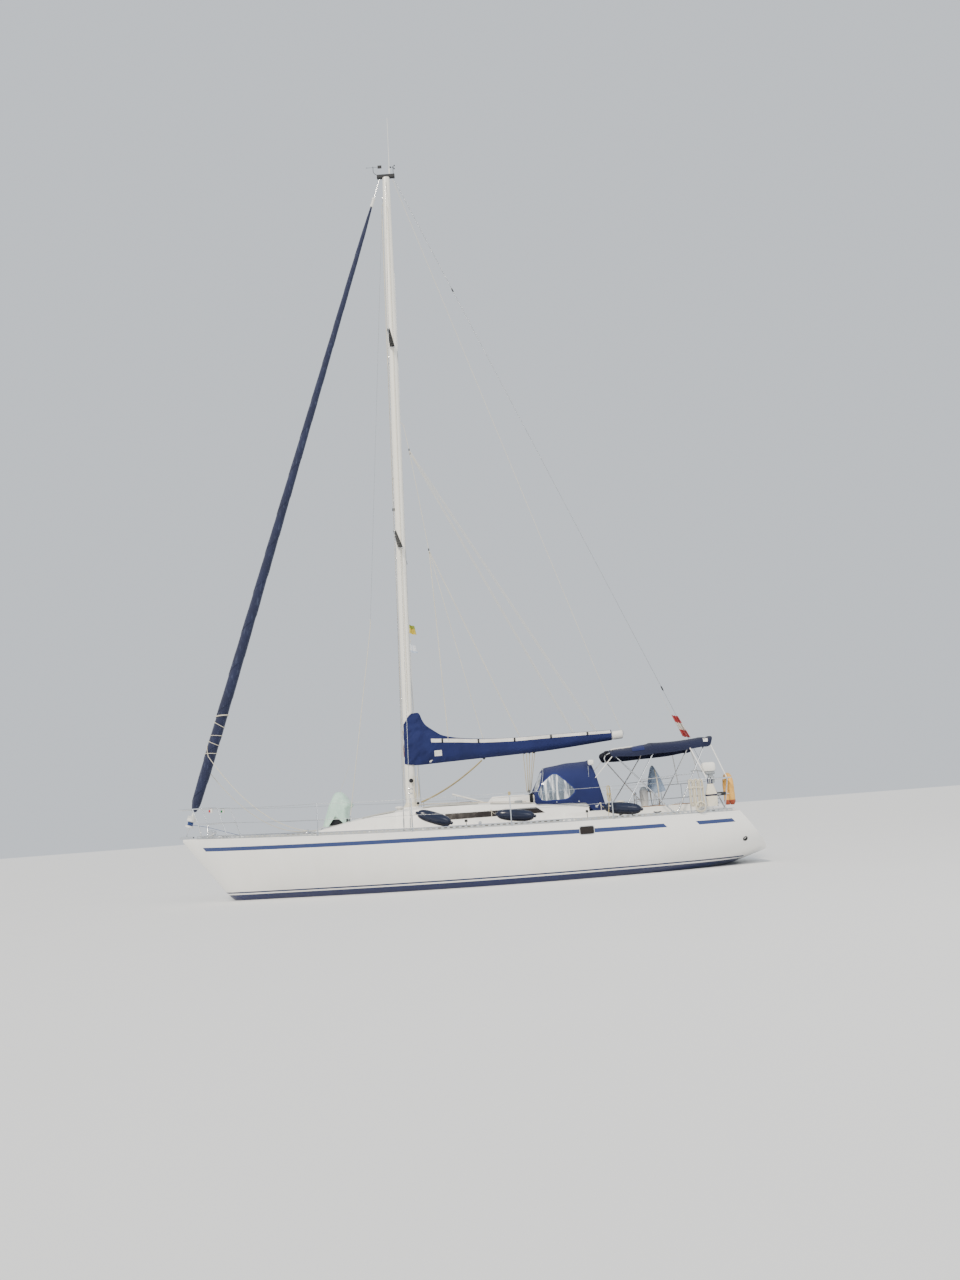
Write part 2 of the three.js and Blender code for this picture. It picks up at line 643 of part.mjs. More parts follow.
// The cover's collar round the mast. front: how far it stands before the mast, back: its aft end.
const COLLAR = {
  half: 135,
  clear: 8,
  levels: [
    { z: 2560, front: 18, back: BOOM.pivotX + 42 },
    { z: 3400, front: 18, back: BOOM.pivotX + 42 },
    { z: 3660, front: -30, back: BOOM.pivotX + 56 },
  ],
};
function makeMastCover() {
  const { half, clear, levels } = COLLAR;
  const rings = levels.map(({ z, front, back }) => {
    const foreX = mastX(z) + MAST.long + front;
    const rounded = [
      [back, half - 30],
      [back + 60, half],
      [foreX - 60, half - 20],
      [foreX, half - 80],
    ];
    return ring([...rounded, ...rounded.toReversed().map(([x, y]) => [x, -y])], z);
  });
  const [below, above] = [levels[0].z - 60, levels.at(-1).z + 60];
  const mastHole = loft([below, above].map((z) => oval(mastX(z), 0, z, MAST.long + clear, MAST.wide + clear)), "z");
  const bracket = box([BOOM.pivotX - 60, -45, below], [mastX(BOOM.pivotZ), 45, BOOM.pivotZ + 120]);
  return loft(rings, "z").subtract(mastHole).subtract(bracket);
}

add("gooseneck", makeGooseneck(), "aluminium");
add("boom", makeBoom(), "mastPaint");
add("boom_cover", makeBoomCover(), "navyCanvas");
add("mast_cover", makeMastCover(), "navyCanvas");

// Canopies, as bands of cloth over arches. Each row: x of the arch at its crown and at its feet, half width, height
// of feet and crown, and the exponent of its curve, which is squarer when larger.
const DODGER = [
  { crownX: -860, footX: -870, half: 1165, foot: 1530, crown: 1765, full: 5 },
  { crownX: -1130, footX: -960, half: 1165, foot: 1510, crown: 2250, full: 3.4 },
  { crownX: -1600, footX: -1500, half: 1165, foot: 1490, crown: 2330, full: 3.2 },
  { crownX: -2040, footX: -1935, half: 1160, foot: 1470, crown: 2345, full: 3.2 },
  { crownX: -2046, footX: -1955, half: 1158, foot: 1312, crown: 2345, full: 3.2 },
  { crownX: -2070, footX: -2290, half: 1150, foot: 1300, crown: 2345, full: 3.2 },
];
const BIMINI = [
  { crownX: -2430, footX: -2500, half: 1000, foot: 2350, crown: 2500, full: 4 },
  { crownX: -2750, footX: -2770, half: 1005, foot: 2345, crown: 2545, full: 4 },
  { crownX: -3440, footX: -3440, half: 1010, foot: 2360, crown: 2610, full: 4 },
  { crownX: -4100, footX: -4080, half: 1005, foot: 2395, crown: 2640, full: 4 },
  { crownX: -4650, footX: -4560, half: 995, foot: 2445, crown: 2650, full: 4 },
];
function canopy(rows, thick) {
  const arch = ({ crownX, footX, half, foot, crown, full }, inset) =>
    range(15, -Math.PI / 2, Math.PI / 2).map((angle) => {
      const up = Math.abs(Math.cos(angle)) ** (2 / full);
      const across = Math.sign(angle) * Math.abs(Math.sin(angle)) ** (2 / full);
      return [footX + (crownX - footX) * up, (half - inset) * across, foot + (crown - foot - inset) * up];
    });
  return loft(rows.map((row) => [...arch(row, 0), ...arch(row, thick).toReversed()]));
}
add("dodger", canopy(DODGER, 18), "navyCanvas");
// The bimini is slit from its aft edge forward to the backstay.
const backstaySlit = box([-4800, -20, 2400], [-4280, 20, 2800]);
add("bimini", canopy(BIMINI, 15).subtract(backstaySlit), "navyCanvas");

// The bimini's bows, each with its two feet on the side decks. Each row: foot x and y, top x, shoulder and crown z.
const BOWS = [
  { name: "forward", footX: -3600, footY: 1370, topX: -2580, shoulder: 2390, crown: 2478 },
  { name: "middle", footX: -2540, footY: 1440, topX: -3420, shoulder: 2420, crown: 2555 },
  { name: "after", footX: -3680, footY: 1340, topX: -4460, shoulder: 2470, crown: 2595 },
];
const [SHOULDER_Y, CROWN_Y] = [930, 640];
function makeBow({ footX, footY, topX, shoulder, crown }) {
  const footZ = deckTop(footX, footY) + 4;
  const half = [
    [footX, footY, footZ],
    [topX, SHOULDER_Y, shoulder],
    [topX, CROWN_Y, crown],
  ];
  const route = [...half, ...half.toReversed().map(([x, y, z]) => [x, -y, z])];
  const feet = SIDES.map(({ sign }) => {
    const y = sign * footY;
    return bar([footX, y, footZ - 2], [footX, y, footZ + 12], 32, 26, 12);
  });
  return onDeck(join(bentTube(route, TUBE, { bend: 160, sides: 6, steps: 24 }), ...feet));
}
for (const row of BOWS) add("bimini_bow_" + row.name, makeBow(row), "stainless");

// Deck gear

// A box to port, or its mirror image to starboard.
function sideBox(sign, [x0, y0, z0], [x1, y1, z1]) {
  const [near, far] = [sign * y0, sign * y1].sort((a, b) => a - b);
  return box([x0, near, z0], [x1, far, z1]);
}

function toeRail(sign) {
  const { high, thick, inset } = RAIL;
  const rings = range(27, 6330, -4790).map((x) => {
    const y = at(STATIONS, "half", x) - inset;
    const low = deckTop(x, y) + 3;
    return [
      [x, sign * y, low],
      [x, sign * y, low + high],
      [x, sign * (y - thick), low + high],
      [x, sign * (y - thick), low],
    ];
  });
  const posts = STANCHION_XS.flatMap((x) => {
    const y = sign * (at(STATIONS, "half", x) - inset - thick - 4);
    const foot = deckTop(x, y) + 3;
    return [bar([x, y, foot], [x, y, foot + LIFELINE], TUBE), bar([x, y, foot], [x, y, foot + 70], 22)];
  });
  const cleats = [5650, -4350].map((x) => {
    const y = at(STATIONS, "half", x) - inset - thick - 24;
    const foot = deckTop(x, y) + 4;
    const [low, top] = [foot + 32, foot + 50];
    return join(
      sideBox(sign, [x - 40, y, foot], [x + 40, y + 30, foot + 36]),
      sideBox(sign, [x - 120, y - 14, low], [x + 120, y + 16, top]),
    );
  });
  return join(loft(rings), ...posts, ...cleats);
}
for (const { name, sign } of SIDES) add("toe_rail_" + name, onDeck(toeRail(sign)), "aluminium");

const PULPIT = { aftX: 5780, footX: 5560, aftY: 500, aftZ: 1950, noseX: 6735, midX: 6230, midZ: 1630 };
function makePulpit() {
  const { aftX, footX, aftY, aftZ, noseX, midX, midZ } = PULPIT;
  const rail = [
    [aftX, aftY, aftZ],
    [6350, 350, aftZ + 10],
    [noseX, 150, aftZ + 15],
  ];
  const legs = SIDES.flatMap(({ sign }) => {
    const foot = (x, y) => [x, sign * y, deckTop(x, y) + 3];
    return [
      bar(foot(footX, 545), [aftX, sign * aftY, aftZ], TUBE),
      bar(foot(6200, 225), [midX, sign * 340, midZ], TUBE),
      bar([midX, sign * 340, midZ], [6350, sign * 350, aftZ + 10], TUBE),
      bar([5670, sign * 522, midZ], [midX, sign * 340, midZ], TUBE * 0.8),
    ];
  });
  const around = [...rail, ...rail.toReversed().map(([x, y, z]) => [x, -y, z])];
  return join(bentTube(around, TUBE, { bend: 130, sides: 6, steps: 20 }), ...legs);
}

const PUSHPIT = { foreX: -3900, foreY: 1610, topZ: 1745, sternX: -4900 };
function makePushpit() {
  const { foreX, foreY, topZ, sternX } = PUSHPIT;
  const half = [
    [foreX, foreY, topZ],
    [-4560, 1490, topZ],
    [sternX, 1120, topZ + 5],
  ];
  const around = [...half, ...half.toReversed().map(([x, y, z]) => [x, -y, z])];
  const legs = SIDES.flatMap(({ sign }) => {
    const foot = (x, y) => [x, sign * y, deckTop(x, y) + 3];
    return [
      bar(foot(foreX, 1600), [foreX, sign * foreY, topZ], TUBE),
      bar(foot(-4360, 1500), [-4360, sign * 1526, topZ], TUBE),
      bar(foot(-4780, 700), [sternX + 2, sign * 700, topZ], TUBE),
    ];
  });
  return join(bentTube(around, TUBE, { bend: 160, sides: 6, steps: 30 }), ...legs);
}

function makeStemFitting() {
  const plate = box([6180, -52, 1345], [6600, 52, 1357]);
  const cheeks = SIDES.map(({ sign }) => {
    const outline = [
      [6440, 1350],
      [6440, 1385],
      [6690, 1405],
      [6735, 1375],
      [6700, 1345],
    ];
    return slab(outline, "y", ...[sign * 46, sign * 52].sort((a, b) => a - b));
  });
  const roller = bar([6700, -50, 1372], [6700, 50, 1372], 24, 24, 14);
  const tack = box([6572, -14, 1350], [6608, 14, 1396]);
  return join(plate, ...cheeks, roller, tack);
}

add("pulpit", onDeck(makePulpit()), "stainless");
add("pushpit", onDeck(makePushpit()), "stainless");
add("stem_fitting", onDeck(makeStemFitting()), "stainless");

// The hatch slides on two runners, under a lid with a sloped front. Its walls go down into the roof.
const GARAGE = { lowZ: 1505, footX: 213, topX: 2, lid: 22, wall: 26, play: 8 };
function makeGarage() {
  const { half, high, front, back } = HATCH;
  const { lowZ, footX, topX, lid, wall, play } = GARAGE;
  const [inner, outer] = [half + play, half + play + wall];
  const [underZ, topZ] = [high + play + 2, high + play + 2 + lid];
  const underX = topX + ((footX - topX) * (topZ - underZ)) / (topZ - lowZ);
  const profile = [
    [back, lowZ],
    [footX, lowZ],
    [topX, topZ],
    [front, topZ],
    [front, underZ],
    [back, underZ],
  ];
  const sides = SIDES.map(({ sign }) => slab(profile, "y", ...[sign * inner, sign * outer].sort((a, b) => a - b)));
  const top = [
    [front, underZ],
    [underX, underZ],
    [topX, topZ],
    [front, topZ],
  ];
  const fore = [
    [footX - lid, lowZ],
    [footX, lowZ],
    [topX, topZ],
    [topX - lid, topZ],
  ];
  return join(...sides, slab(top, "y", -outer, outer), slab(fore, "y", -outer, outer));
}

add("hatch_garage", onDeck(makeGarage()), "gelcoat");
add("sliding_hatch", box([HATCH.back, -HATCH.half, HATCH.low], [HATCH.front, HATCH.half, HATCH.high]), "gelcoat");
const WASHBOARD = { back: -1560, front: -1535, topZ: 1685 };
function makeWashboard() {
  const { back, front, topZ } = WASHBOARD;
  const half = WAY_DOWN.half - GAP;
  return box([back, -half, WAY_DOWN.sill + GAP], [front, half, topZ]);
}
add("washboard", makeWashboard(), "acrylic");

// The fore hatch lid stands open on its hinge under the wind scoop.
function makeForeHatch() {
  const { hingeX, frontX, half, coamingZ, openDegrees } = FORE_HATCH;
  const low = coamingZ + 8;
  const lid = box([hingeX, -half, low], [frontX, half, low + 14]);
  const hinge = new THREE.Vector3(hingeX, 0, low);
  const turn = new THREE.Matrix4()
    .makeTranslation(hinge)
    .multiply(new THREE.Matrix4().makeRotationY(-THREE.MathUtils.degToRad(openDegrees)))
    .multiply(new THREE.Matrix4().makeTranslation(hinge.negate()));
  return lid.transform(turn.elements);
}

// The wind scoop, open to the front: its extents where it meets the roof, at the fold in its back, at the
// shoulder that overhangs this, and up to its rounded peak.
const SCOOP_THICK = 12;
const SCOOP_LEVELS = [
  { z: 1370, back: 3090, front: 3612, half: 300 },
  { z: 1730, back: 3085, front: 3484, half: 275 },
  { z: 1775, back: 2995, front: 3468, half: 270 },
  { z: 1940, back: 3085, front: 3410, half: 240 },
  { z: 2050, back: 3180, front: 3370, half: 200 },
  { z: 2105, back: 3230, front: 3330, half: 150 },
];
function makeScoop() {
  const level = ({ z, back, front, half }) => [
    [back, half, z],
    [front, half, z],
    [front, -half, z],
    [back, -half, z],
  ];
  const hollow = ({ z, back, front, half }, i) => {
    const beyond = { 0: -1, [SCOOP_LEVELS.length - 1]: 1 }[i] ?? 0;
    return level({ z: z + beyond, back: back + SCOOP_THICK, front: front + 60, half: half - SCOOP_THICK });
  };
  return loft(SCOOP_LEVELS.map(level), "z").subtract(loft(SCOOP_LEVELS.map(hollow), "z"));
}

add("fore_hatch", makeForeHatch(), "acrylic");
add("wind_scoop", onDeck(makeScoop()), "mintNylon");

function makePedestal() {
  const profile = [[140, 0], [140, 14], [84, 40], [76, 820], [92, 900], [92, 1120], [60, 1180], [20, 1195]];
  return lathe(profile, { from: [-3250, 0, COCKPIT.wellZ + GAP], to: [-3250, 0, 3000], sides: 20 });
}

function makeWheel() {
  const { x, z, radius, tube, spokes } = WHEEL;
  const rim = new THREE.TorusGeometry(radius, tube, 6, 32);
  rim.rotateY(Math.PI / 2).translate(x, 0, z);
  const spokeBars = range(spokes + 1, 0, 2 * Math.PI)
    .slice(0, -1)
    .map((t) => bar([x, 0, z], [x, radius * Math.cos(t), z + radius * Math.sin(t)], 6, 5, 6));
  const hub = bar([x - 30, 0, z], [x + 40, 0, z], 55, 55, 16);
  const shaft = bar([x, 0, z], [x + 130, 0, z], 16, 16, 12);
  return join(solid(rim), ...spokeBars, hub, shaft);
}

add("pedestal", makePedestal(), "gelcoat");
add("steering_wheel", makeWheel(), "stainless");

const WINCH = [[75, 0], [75, 22], [52, 38], [50, 118], [64, 140], [60, 160]];
for (const { name, sign } of SIDES) {
  const foot = [-2600, sign * 1045, COAMING_Z + GAP];
  add("winch_" + name, lathe(WINCH, { from: foot, to: [foot[0], foot[1], 5000], sides: 20 }), "stainless");
}

// Fenders lying on the port side deck, each row its two ends at the middle of its body.
const FENDER = { radius: 112, y: 1560 };
const FENDERS = [
  { name: "forward", high: [1420, 1480], low: [930, 1300] },
  { name: "middle", high: [-150, 1360], low: [-720, 1290] },
  { name: "after", high: [-2290, 1330], low: [-2840, 1262] },
];
for (const { name, high, low } of FENDERS) {
  const [from, to] = [high, low].map(([x, z]) => [x, FENDER.y, z]);
  const long = new THREE.Vector3(...from).distanceTo(new THREE.Vector3(...to));
  const { radius } = FENDER;
  const profile = [
    [25, -radius * 1.15], [28, -radius * 0.8], [radius * 0.7, -radius * 0.55], [radius, 0],
    [radius, long], [radius * 0.7, long + radius * 0.55], [28, long + radius * 0.8], [25, long + radius * 1.15],
  ].map(([r, h]) => [r, h + radius * 1.15]);
  const back = new THREE.Vector3(...to).sub(new THREE.Vector3(...from)).setLength(-radius * 1.15);
  const start = new THREE.Vector3(...from).add(back).toArray();
  add("fender_" + name, lathe(profile, { from: start, to, sides: 16 }), "navyFender");
}

// Gear on the stern rail
const LIFEBUOY = { tube: 66, reach: 212, y: 360, lowZ: 1200, shoulderZ: 1590 };
function makeLifebuoy() {
  const { tube, reach, y, lowZ, shoulderZ } = LIFEBUOY;
  const x = PUSHPIT.sternX - TUBE - tube - 3;
  const arc = range(9, 0, Math.PI).map((t) => [x, y + reach * Math.cos(t), shoulderZ + reach * Math.sin(t)]);
  return bentTube([[x, y + reach, lowZ], ...arc, [x, y - reach, lowZ]], tube, { bend: 30, sides: 10, steps: 30 });
}

function roundedBox([x0, y0, z0], [x1, y1, z1], corner) {
  const outline = [
    [x0 + corner, z0], [x1 - corner, z0], [x1, z0 + corner], [x1, z1 - corner],
    [x1 - corner, z1], [x0 + corner, z1], [x0, z1 - corner], [x0, z0 + corner],
  ];
  return slab(outline, "y", y0, y1);
}

function makeOutboard() {
  const x = -4385;
  return join(
    roundedBox([x - 140, 1290, 1895], [x + 140, 1450, 2075], 45),
    box([x - 70, 1330, 1200], [x + 10, 1410, 1930]),
    box([x - 160, 1362, 1215], [x + 60, 1378, 1240]),
    bar([x - 90, 1370, 1270], [x + 50, 1370, 1270], 35, 22, 12),
    box([x - 60, 1400, 1700], [x, 1470, 1800]),
  );
}

add("lifebuoy", makeLifebuoy(), "buoyFoam");
add("outboard_motor", makeOutboard(), "gelcoat");
add("rescue_bag", roundedBox([-4450, 1538, 1205], [-4215, 1650, 1600], 40), "gelcoat");
add("coiled_ropes", roundedBox([-4160, 1608, 1165], [-3930, 1688, 1770], 90), "rope");

// Genoa sheets, from the furled sail to a lead block on each side deck.
const SHEETS = [
  { name: "port", clew: 1750, droop: 670, sign: 1, far: [3830, 900, 1330] },
  { name: "starboard", clew: 1460, droop: 890, sign: -1, far: [3960, 820, 1330] },
];
for (const { name, clew, droop, sign, far } of SHEETS) {
  const start = onForestay(clew);
  start[1] = sign * 132;
  const [x, y, z] = far;
  const route = new THREE.QuadraticBezierCurve3(
    new THREE.Vector3(...start),
    new THREE.Vector3((start[0] + x) / 2 + 10, (start[1] + sign * y) / 2, (start[2] + z) / 2 - droop),
    new THREE.Vector3(x, sign * y, z),
  );
  add("genoa_sheet_" + name, sweep(route, 7, 8, 26), "rope");
}

export default yacht;
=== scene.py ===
"""A cruising sloop of about 12 m, afloat with her sails stowed.

Metres. X forward, Y to port, Z up from the waterline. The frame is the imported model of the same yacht.
"""
import math

import bmesh
import bpy
import numpy as np
from mathutils import Matrix, Vector, noise


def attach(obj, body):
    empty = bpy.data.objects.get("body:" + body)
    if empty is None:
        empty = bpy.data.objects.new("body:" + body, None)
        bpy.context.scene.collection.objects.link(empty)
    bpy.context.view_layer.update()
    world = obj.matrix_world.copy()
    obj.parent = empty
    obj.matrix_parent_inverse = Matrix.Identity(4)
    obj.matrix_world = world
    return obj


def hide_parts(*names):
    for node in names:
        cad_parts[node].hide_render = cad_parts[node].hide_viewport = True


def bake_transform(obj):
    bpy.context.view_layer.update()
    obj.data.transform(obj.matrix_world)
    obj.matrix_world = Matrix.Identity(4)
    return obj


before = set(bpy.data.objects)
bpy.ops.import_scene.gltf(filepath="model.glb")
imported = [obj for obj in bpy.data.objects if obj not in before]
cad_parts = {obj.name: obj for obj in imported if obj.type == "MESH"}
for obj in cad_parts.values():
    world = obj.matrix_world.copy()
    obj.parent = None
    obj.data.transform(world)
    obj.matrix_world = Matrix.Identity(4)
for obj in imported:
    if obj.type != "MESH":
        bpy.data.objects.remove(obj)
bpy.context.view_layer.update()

bl_info = {
    "name": "Cruising Sloop",
    "version": (1, 0, 0),
    "blender": (4, 5, 0),
    "location": "View3D > Sidebar > Sloop",
    "description": "Dresses the frame of a moored sailing yacht: hull, deck, rig, canvas and lines",
    "category": "Object",
}

# Sizes that the frame's solids also follow
TRANSOM = {"top_x": -4.85, "top_z": 1.13, "tip_x": -5.56, "tip_z": 0.24}
DECK_EDGE = 0.03
DECK_CAMBER = 0.05
MAST = {"deck_x": 1.75, "deck_z": 1.662, "top_z": 16.76, "rake": 0.0219, "long": 0.105, "wide": 0.07}
FORESTAY = (Vector((6.59, 0, 1.4)), Vector((1.572, 0, 16.757)))
BACKSTAY = (Vector((-4.98, 0, 1.05)), Vector((1.245, 0, 16.757)))
SPREADERS = {"lower": {"z": 7.42, "reach": 1.4}, "upper": {"z": 12.28, "reach": 0.97}}
CHAINPLATE = {"cap_x": 1.775, "lower_x": 1.645, "y": 1.7}
BOOM = {"pivot_x": 1.55, "front_x": 1.44, "front_z": 2.645, "tip_x": -2.93, "tip_z": 2.87, "high": 0.09,
        "wide": 0.06}
COCKPIT = {
    "front": -1.59, "back": -4.35, "seat_half": 0.93, "seat_z": 0.98,
    "well_half": 0.42, "well_z": 0.52, "well_back": -3.95,
}
WAY_DOWN = {"front": -0.72, "back": -1.5, "half": 0.3, "sill": 1.02, "floor": -0.25}
COCKPIT_RIM = 1.09
COAMING_Z = 1.285
WHEEL = {"x": -3.48, "z": 1.6, "radius": 0.53}
STANCHION_XS = [3.53, 1.6, -0.34, -2.33]
LIFELINE = 0.64
RAIL = {"high": 0.06, "thick": 0.014, "inset": 0.008}
TUBE = 0.0125
PULPIT = {"aft_x": 5.78, "foot_x": 5.56, "aft_y": 0.5, "aft_z": 1.95, "nose_x": 6.735, "mid_x": 6.23,
          "mid_z": 1.63}
PUSHPIT = {"fore_x": -3.9, "fore_y": 1.61, "top_z": 1.745, "low_z": 1.43, "stern_x": -4.9}
SIDES = {"port": 1, "starboard": -1}

# Hull stations: x, half breadth, height of the sheer and of the canoe body's keel line, fullness of section
STATIONS = [
    (6.66, 0.032, 1.340, 1.270, 1.35),
    (6.20, 0.290, 1.322, 0.700, 1.35),
    (5.50, 0.620, 1.292, -0.060, 1.42),
    (4.50, 1.050, 1.254, -0.250, 1.60),
    (3.50, 1.380, 1.218, -0.380, 1.72),
    (2.50, 1.620, 1.185, -0.470, 1.90),
    (1.50, 1.790, 1.158, -0.530, 2.05),
    (0.50, 1.890, 1.138, -0.555, 2.25),
    (-0.50, 1.930, 1.125, -0.550, 2.37),
    (-1.50, 1.920, 1.116, -0.500, 2.40),
    (-2.50, 1.860, 1.106, -0.400, 2.42),
    (-3.50, 1.740, 1.094, -0.250, 2.45),
    (-4.50, 1.560, 1.083, -0.080, 2.45),
    (-5.70, 1.240, 1.075, 0.262, 2.50),
]
HALF, SHEER, KEEL_LINE, FULL = 1, 2, 3, 4

# Coachroof: x, half breadth at its foot, half breadth of its top, height of its edge, height of its crown
ROOF = [
    (3.85, 0.30, 0.24, 1.275, 1.290),
    (3.40, 0.52, 0.43, 1.360, 1.400),
    (3.00, 0.68, 0.57, 1.430, 1.480),
    (2.50, 0.84, 0.71, 1.510, 1.565),
    (2.00, 0.98, 0.84, 1.560, 1.620),
    (1.20, 1.12, 0.99, 1.605, 1.662),
    (0.40, 1.20, 1.075, 1.592, 1.645),
    (-0.60, 1.23, 1.125, 1.528, 1.580),
    (-1.59, 1.215, 1.125, 1.490, 1.540),
    (-1.94, 1.20, 1.112, 1.470, 1.515),
]
BASE, TOP, EDGE, CROWN = 1, 2, 3, 4

# The blue stripe below the sheer: x, height of its upper edge, height of its lower edge
STRIPE = [
    (6.66, 1.160, 1.080),
    (5.50, 1.120, 1.040),
    (3.00, 1.060, 0.980),
    (0.58, 1.014, 0.934),
    (-1.60, 0.965, 0.881),
    (-3.30, 0.944, 0.869),
    (-5.70, 0.944, 0.869),
]


def column(rows, number, x):
    """The value of a column at x, on a smooth curve through rows that run from bow to stern."""
    i = 1
    while i < len(rows) - 1 and x < rows[i][0]:
        i += 1
    a, b = rows[i - 1], rows[i]
    before = rows[i - 2] if i > 1 else a
    after = rows[i + 1] if i + 1 < len(rows) else b
    slope_a = (b[number] - before[number]) / (b[0] - before[0])
    slope_b = (after[number] - a[number]) / (after[0] - a[0])
    span = b[0] - a[0]
    t = (x - a[0]) / span
    t2, t3 = t * t, t * t * t
    return (
        (2 * t3 - 3 * t2 + 1) * a[number]
        + (t3 - 2 * t2 + t) * span * slope_a
        + (3 * t2 - 2 * t3) * b[number]
        + (t3 - t2) * span * slope_b
    )


def deck_top(x, y):
    half = column(STATIONS, HALF, x)
    return column(STATIONS, SHEER, x) + DECK_CAMBER * half * (1 - (y / half) ** 2)


def roof_top(x, y):
    edge, crown, top = (column(ROOF, number, x) for number in (EDGE, CROWN, TOP))
    return crown - (crown - edge) * (y / top) ** 2


def mast_x(z):
    return MAST["deck_x"] - MAST["rake"] * (z - MAST["deck_z"])


def transom_x(z):
    slope = (TRANSOM["top_x"] - TRANSOM["tip_x"]) / (TRANSOM["top_z"] - TRANSOM["tip_z"])
    return TRANSOM["top_x"] - slope * (TRANSOM["top_z"] - z)


def boom_z(x):
    t = (x - BOOM["front_x"]) / (BOOM["tip_x"] - BOOM["front_x"])
    return BOOM["front_z"] + (BOOM["tip_z"] - BOOM["front_z"]) * t


def between(a, b, t):
    return a + (b - a) * t


def spaced(count, start, end):
    return [start + (end - start) * i / (count - 1) for i in range(count)]


def mirrored(points):
    return [(x, -y, z) for x, y, z in points]


def smooth_path(points, count):
    """Count points on a Catmull-Rom curve through the given ones, evenly spaced along it."""
    knots = [Vector(p) for p in points]
    padded = [knots[0] * 2 - knots[1], *knots, knots[-1] * 2 - knots[-2]]
    fine = []
    steps = 16
    for a, b, c, d in zip(padded, padded[1:], padded[2:], padded[3:]):
        for step in range(steps):
            t = step / steps
            fine.append(
                0.5 * ((2 * b) + (c - a) * t + (2 * a - 5 * b + 4 * c - d) * t * t
                       + (3 * b - a - 3 * c + d) * t**3)
            )
    fine.append(knots[-1])
    return evenly(fine, count)


def evenly(points, count):
    """Count points at equal distances along a line of straight lengths."""
    points = [Vector(p) for p in points]
    along = [0.0]
    for a, b in zip(points, points[1:]):
        along.append(along[-1] + (b - a).length)
    out, i = [], 0
    for target in spaced(count, 0, along[-1]):
        while i < len(along) - 2 and along[i + 1] < target:
            i += 1
        span = along[i + 1] - along[i]
        out.append(points[i].lerp(points[i + 1], (target - along[i]) / span if span else 0))
    return out


def rounded_path(corners, bend, steps=6):
    """Straight runs with each corner rounded off over the length bend."""
    corners = [Vector(c) for c in corners]
    path = [corners[0]]
    for before, corner, after in zip(corners, corners[1:], corners[2:]):
        reach = min(bend, (before - corner).length * 0.45, (after - corner).length * 0.45)
        into = corner + (before - corner).normalized() * reach
        out = corner + (after - corner).normalized() * reach
        for t in spaced(steps, 0, 1):
            path.append(into.lerp(corner, t).lerp(corner.lerp(out, t), t))
    path.append(corners[-1])
    return path


def length_of(points):
    return sum((Vector(b) - Vector(a)).length for a, b in zip(points, points[1:]))


def level_box(z, *box):
    """A rounded box as a ring at one height."""
    return [(x, y, z) for x, y in rounded_box(*box)]


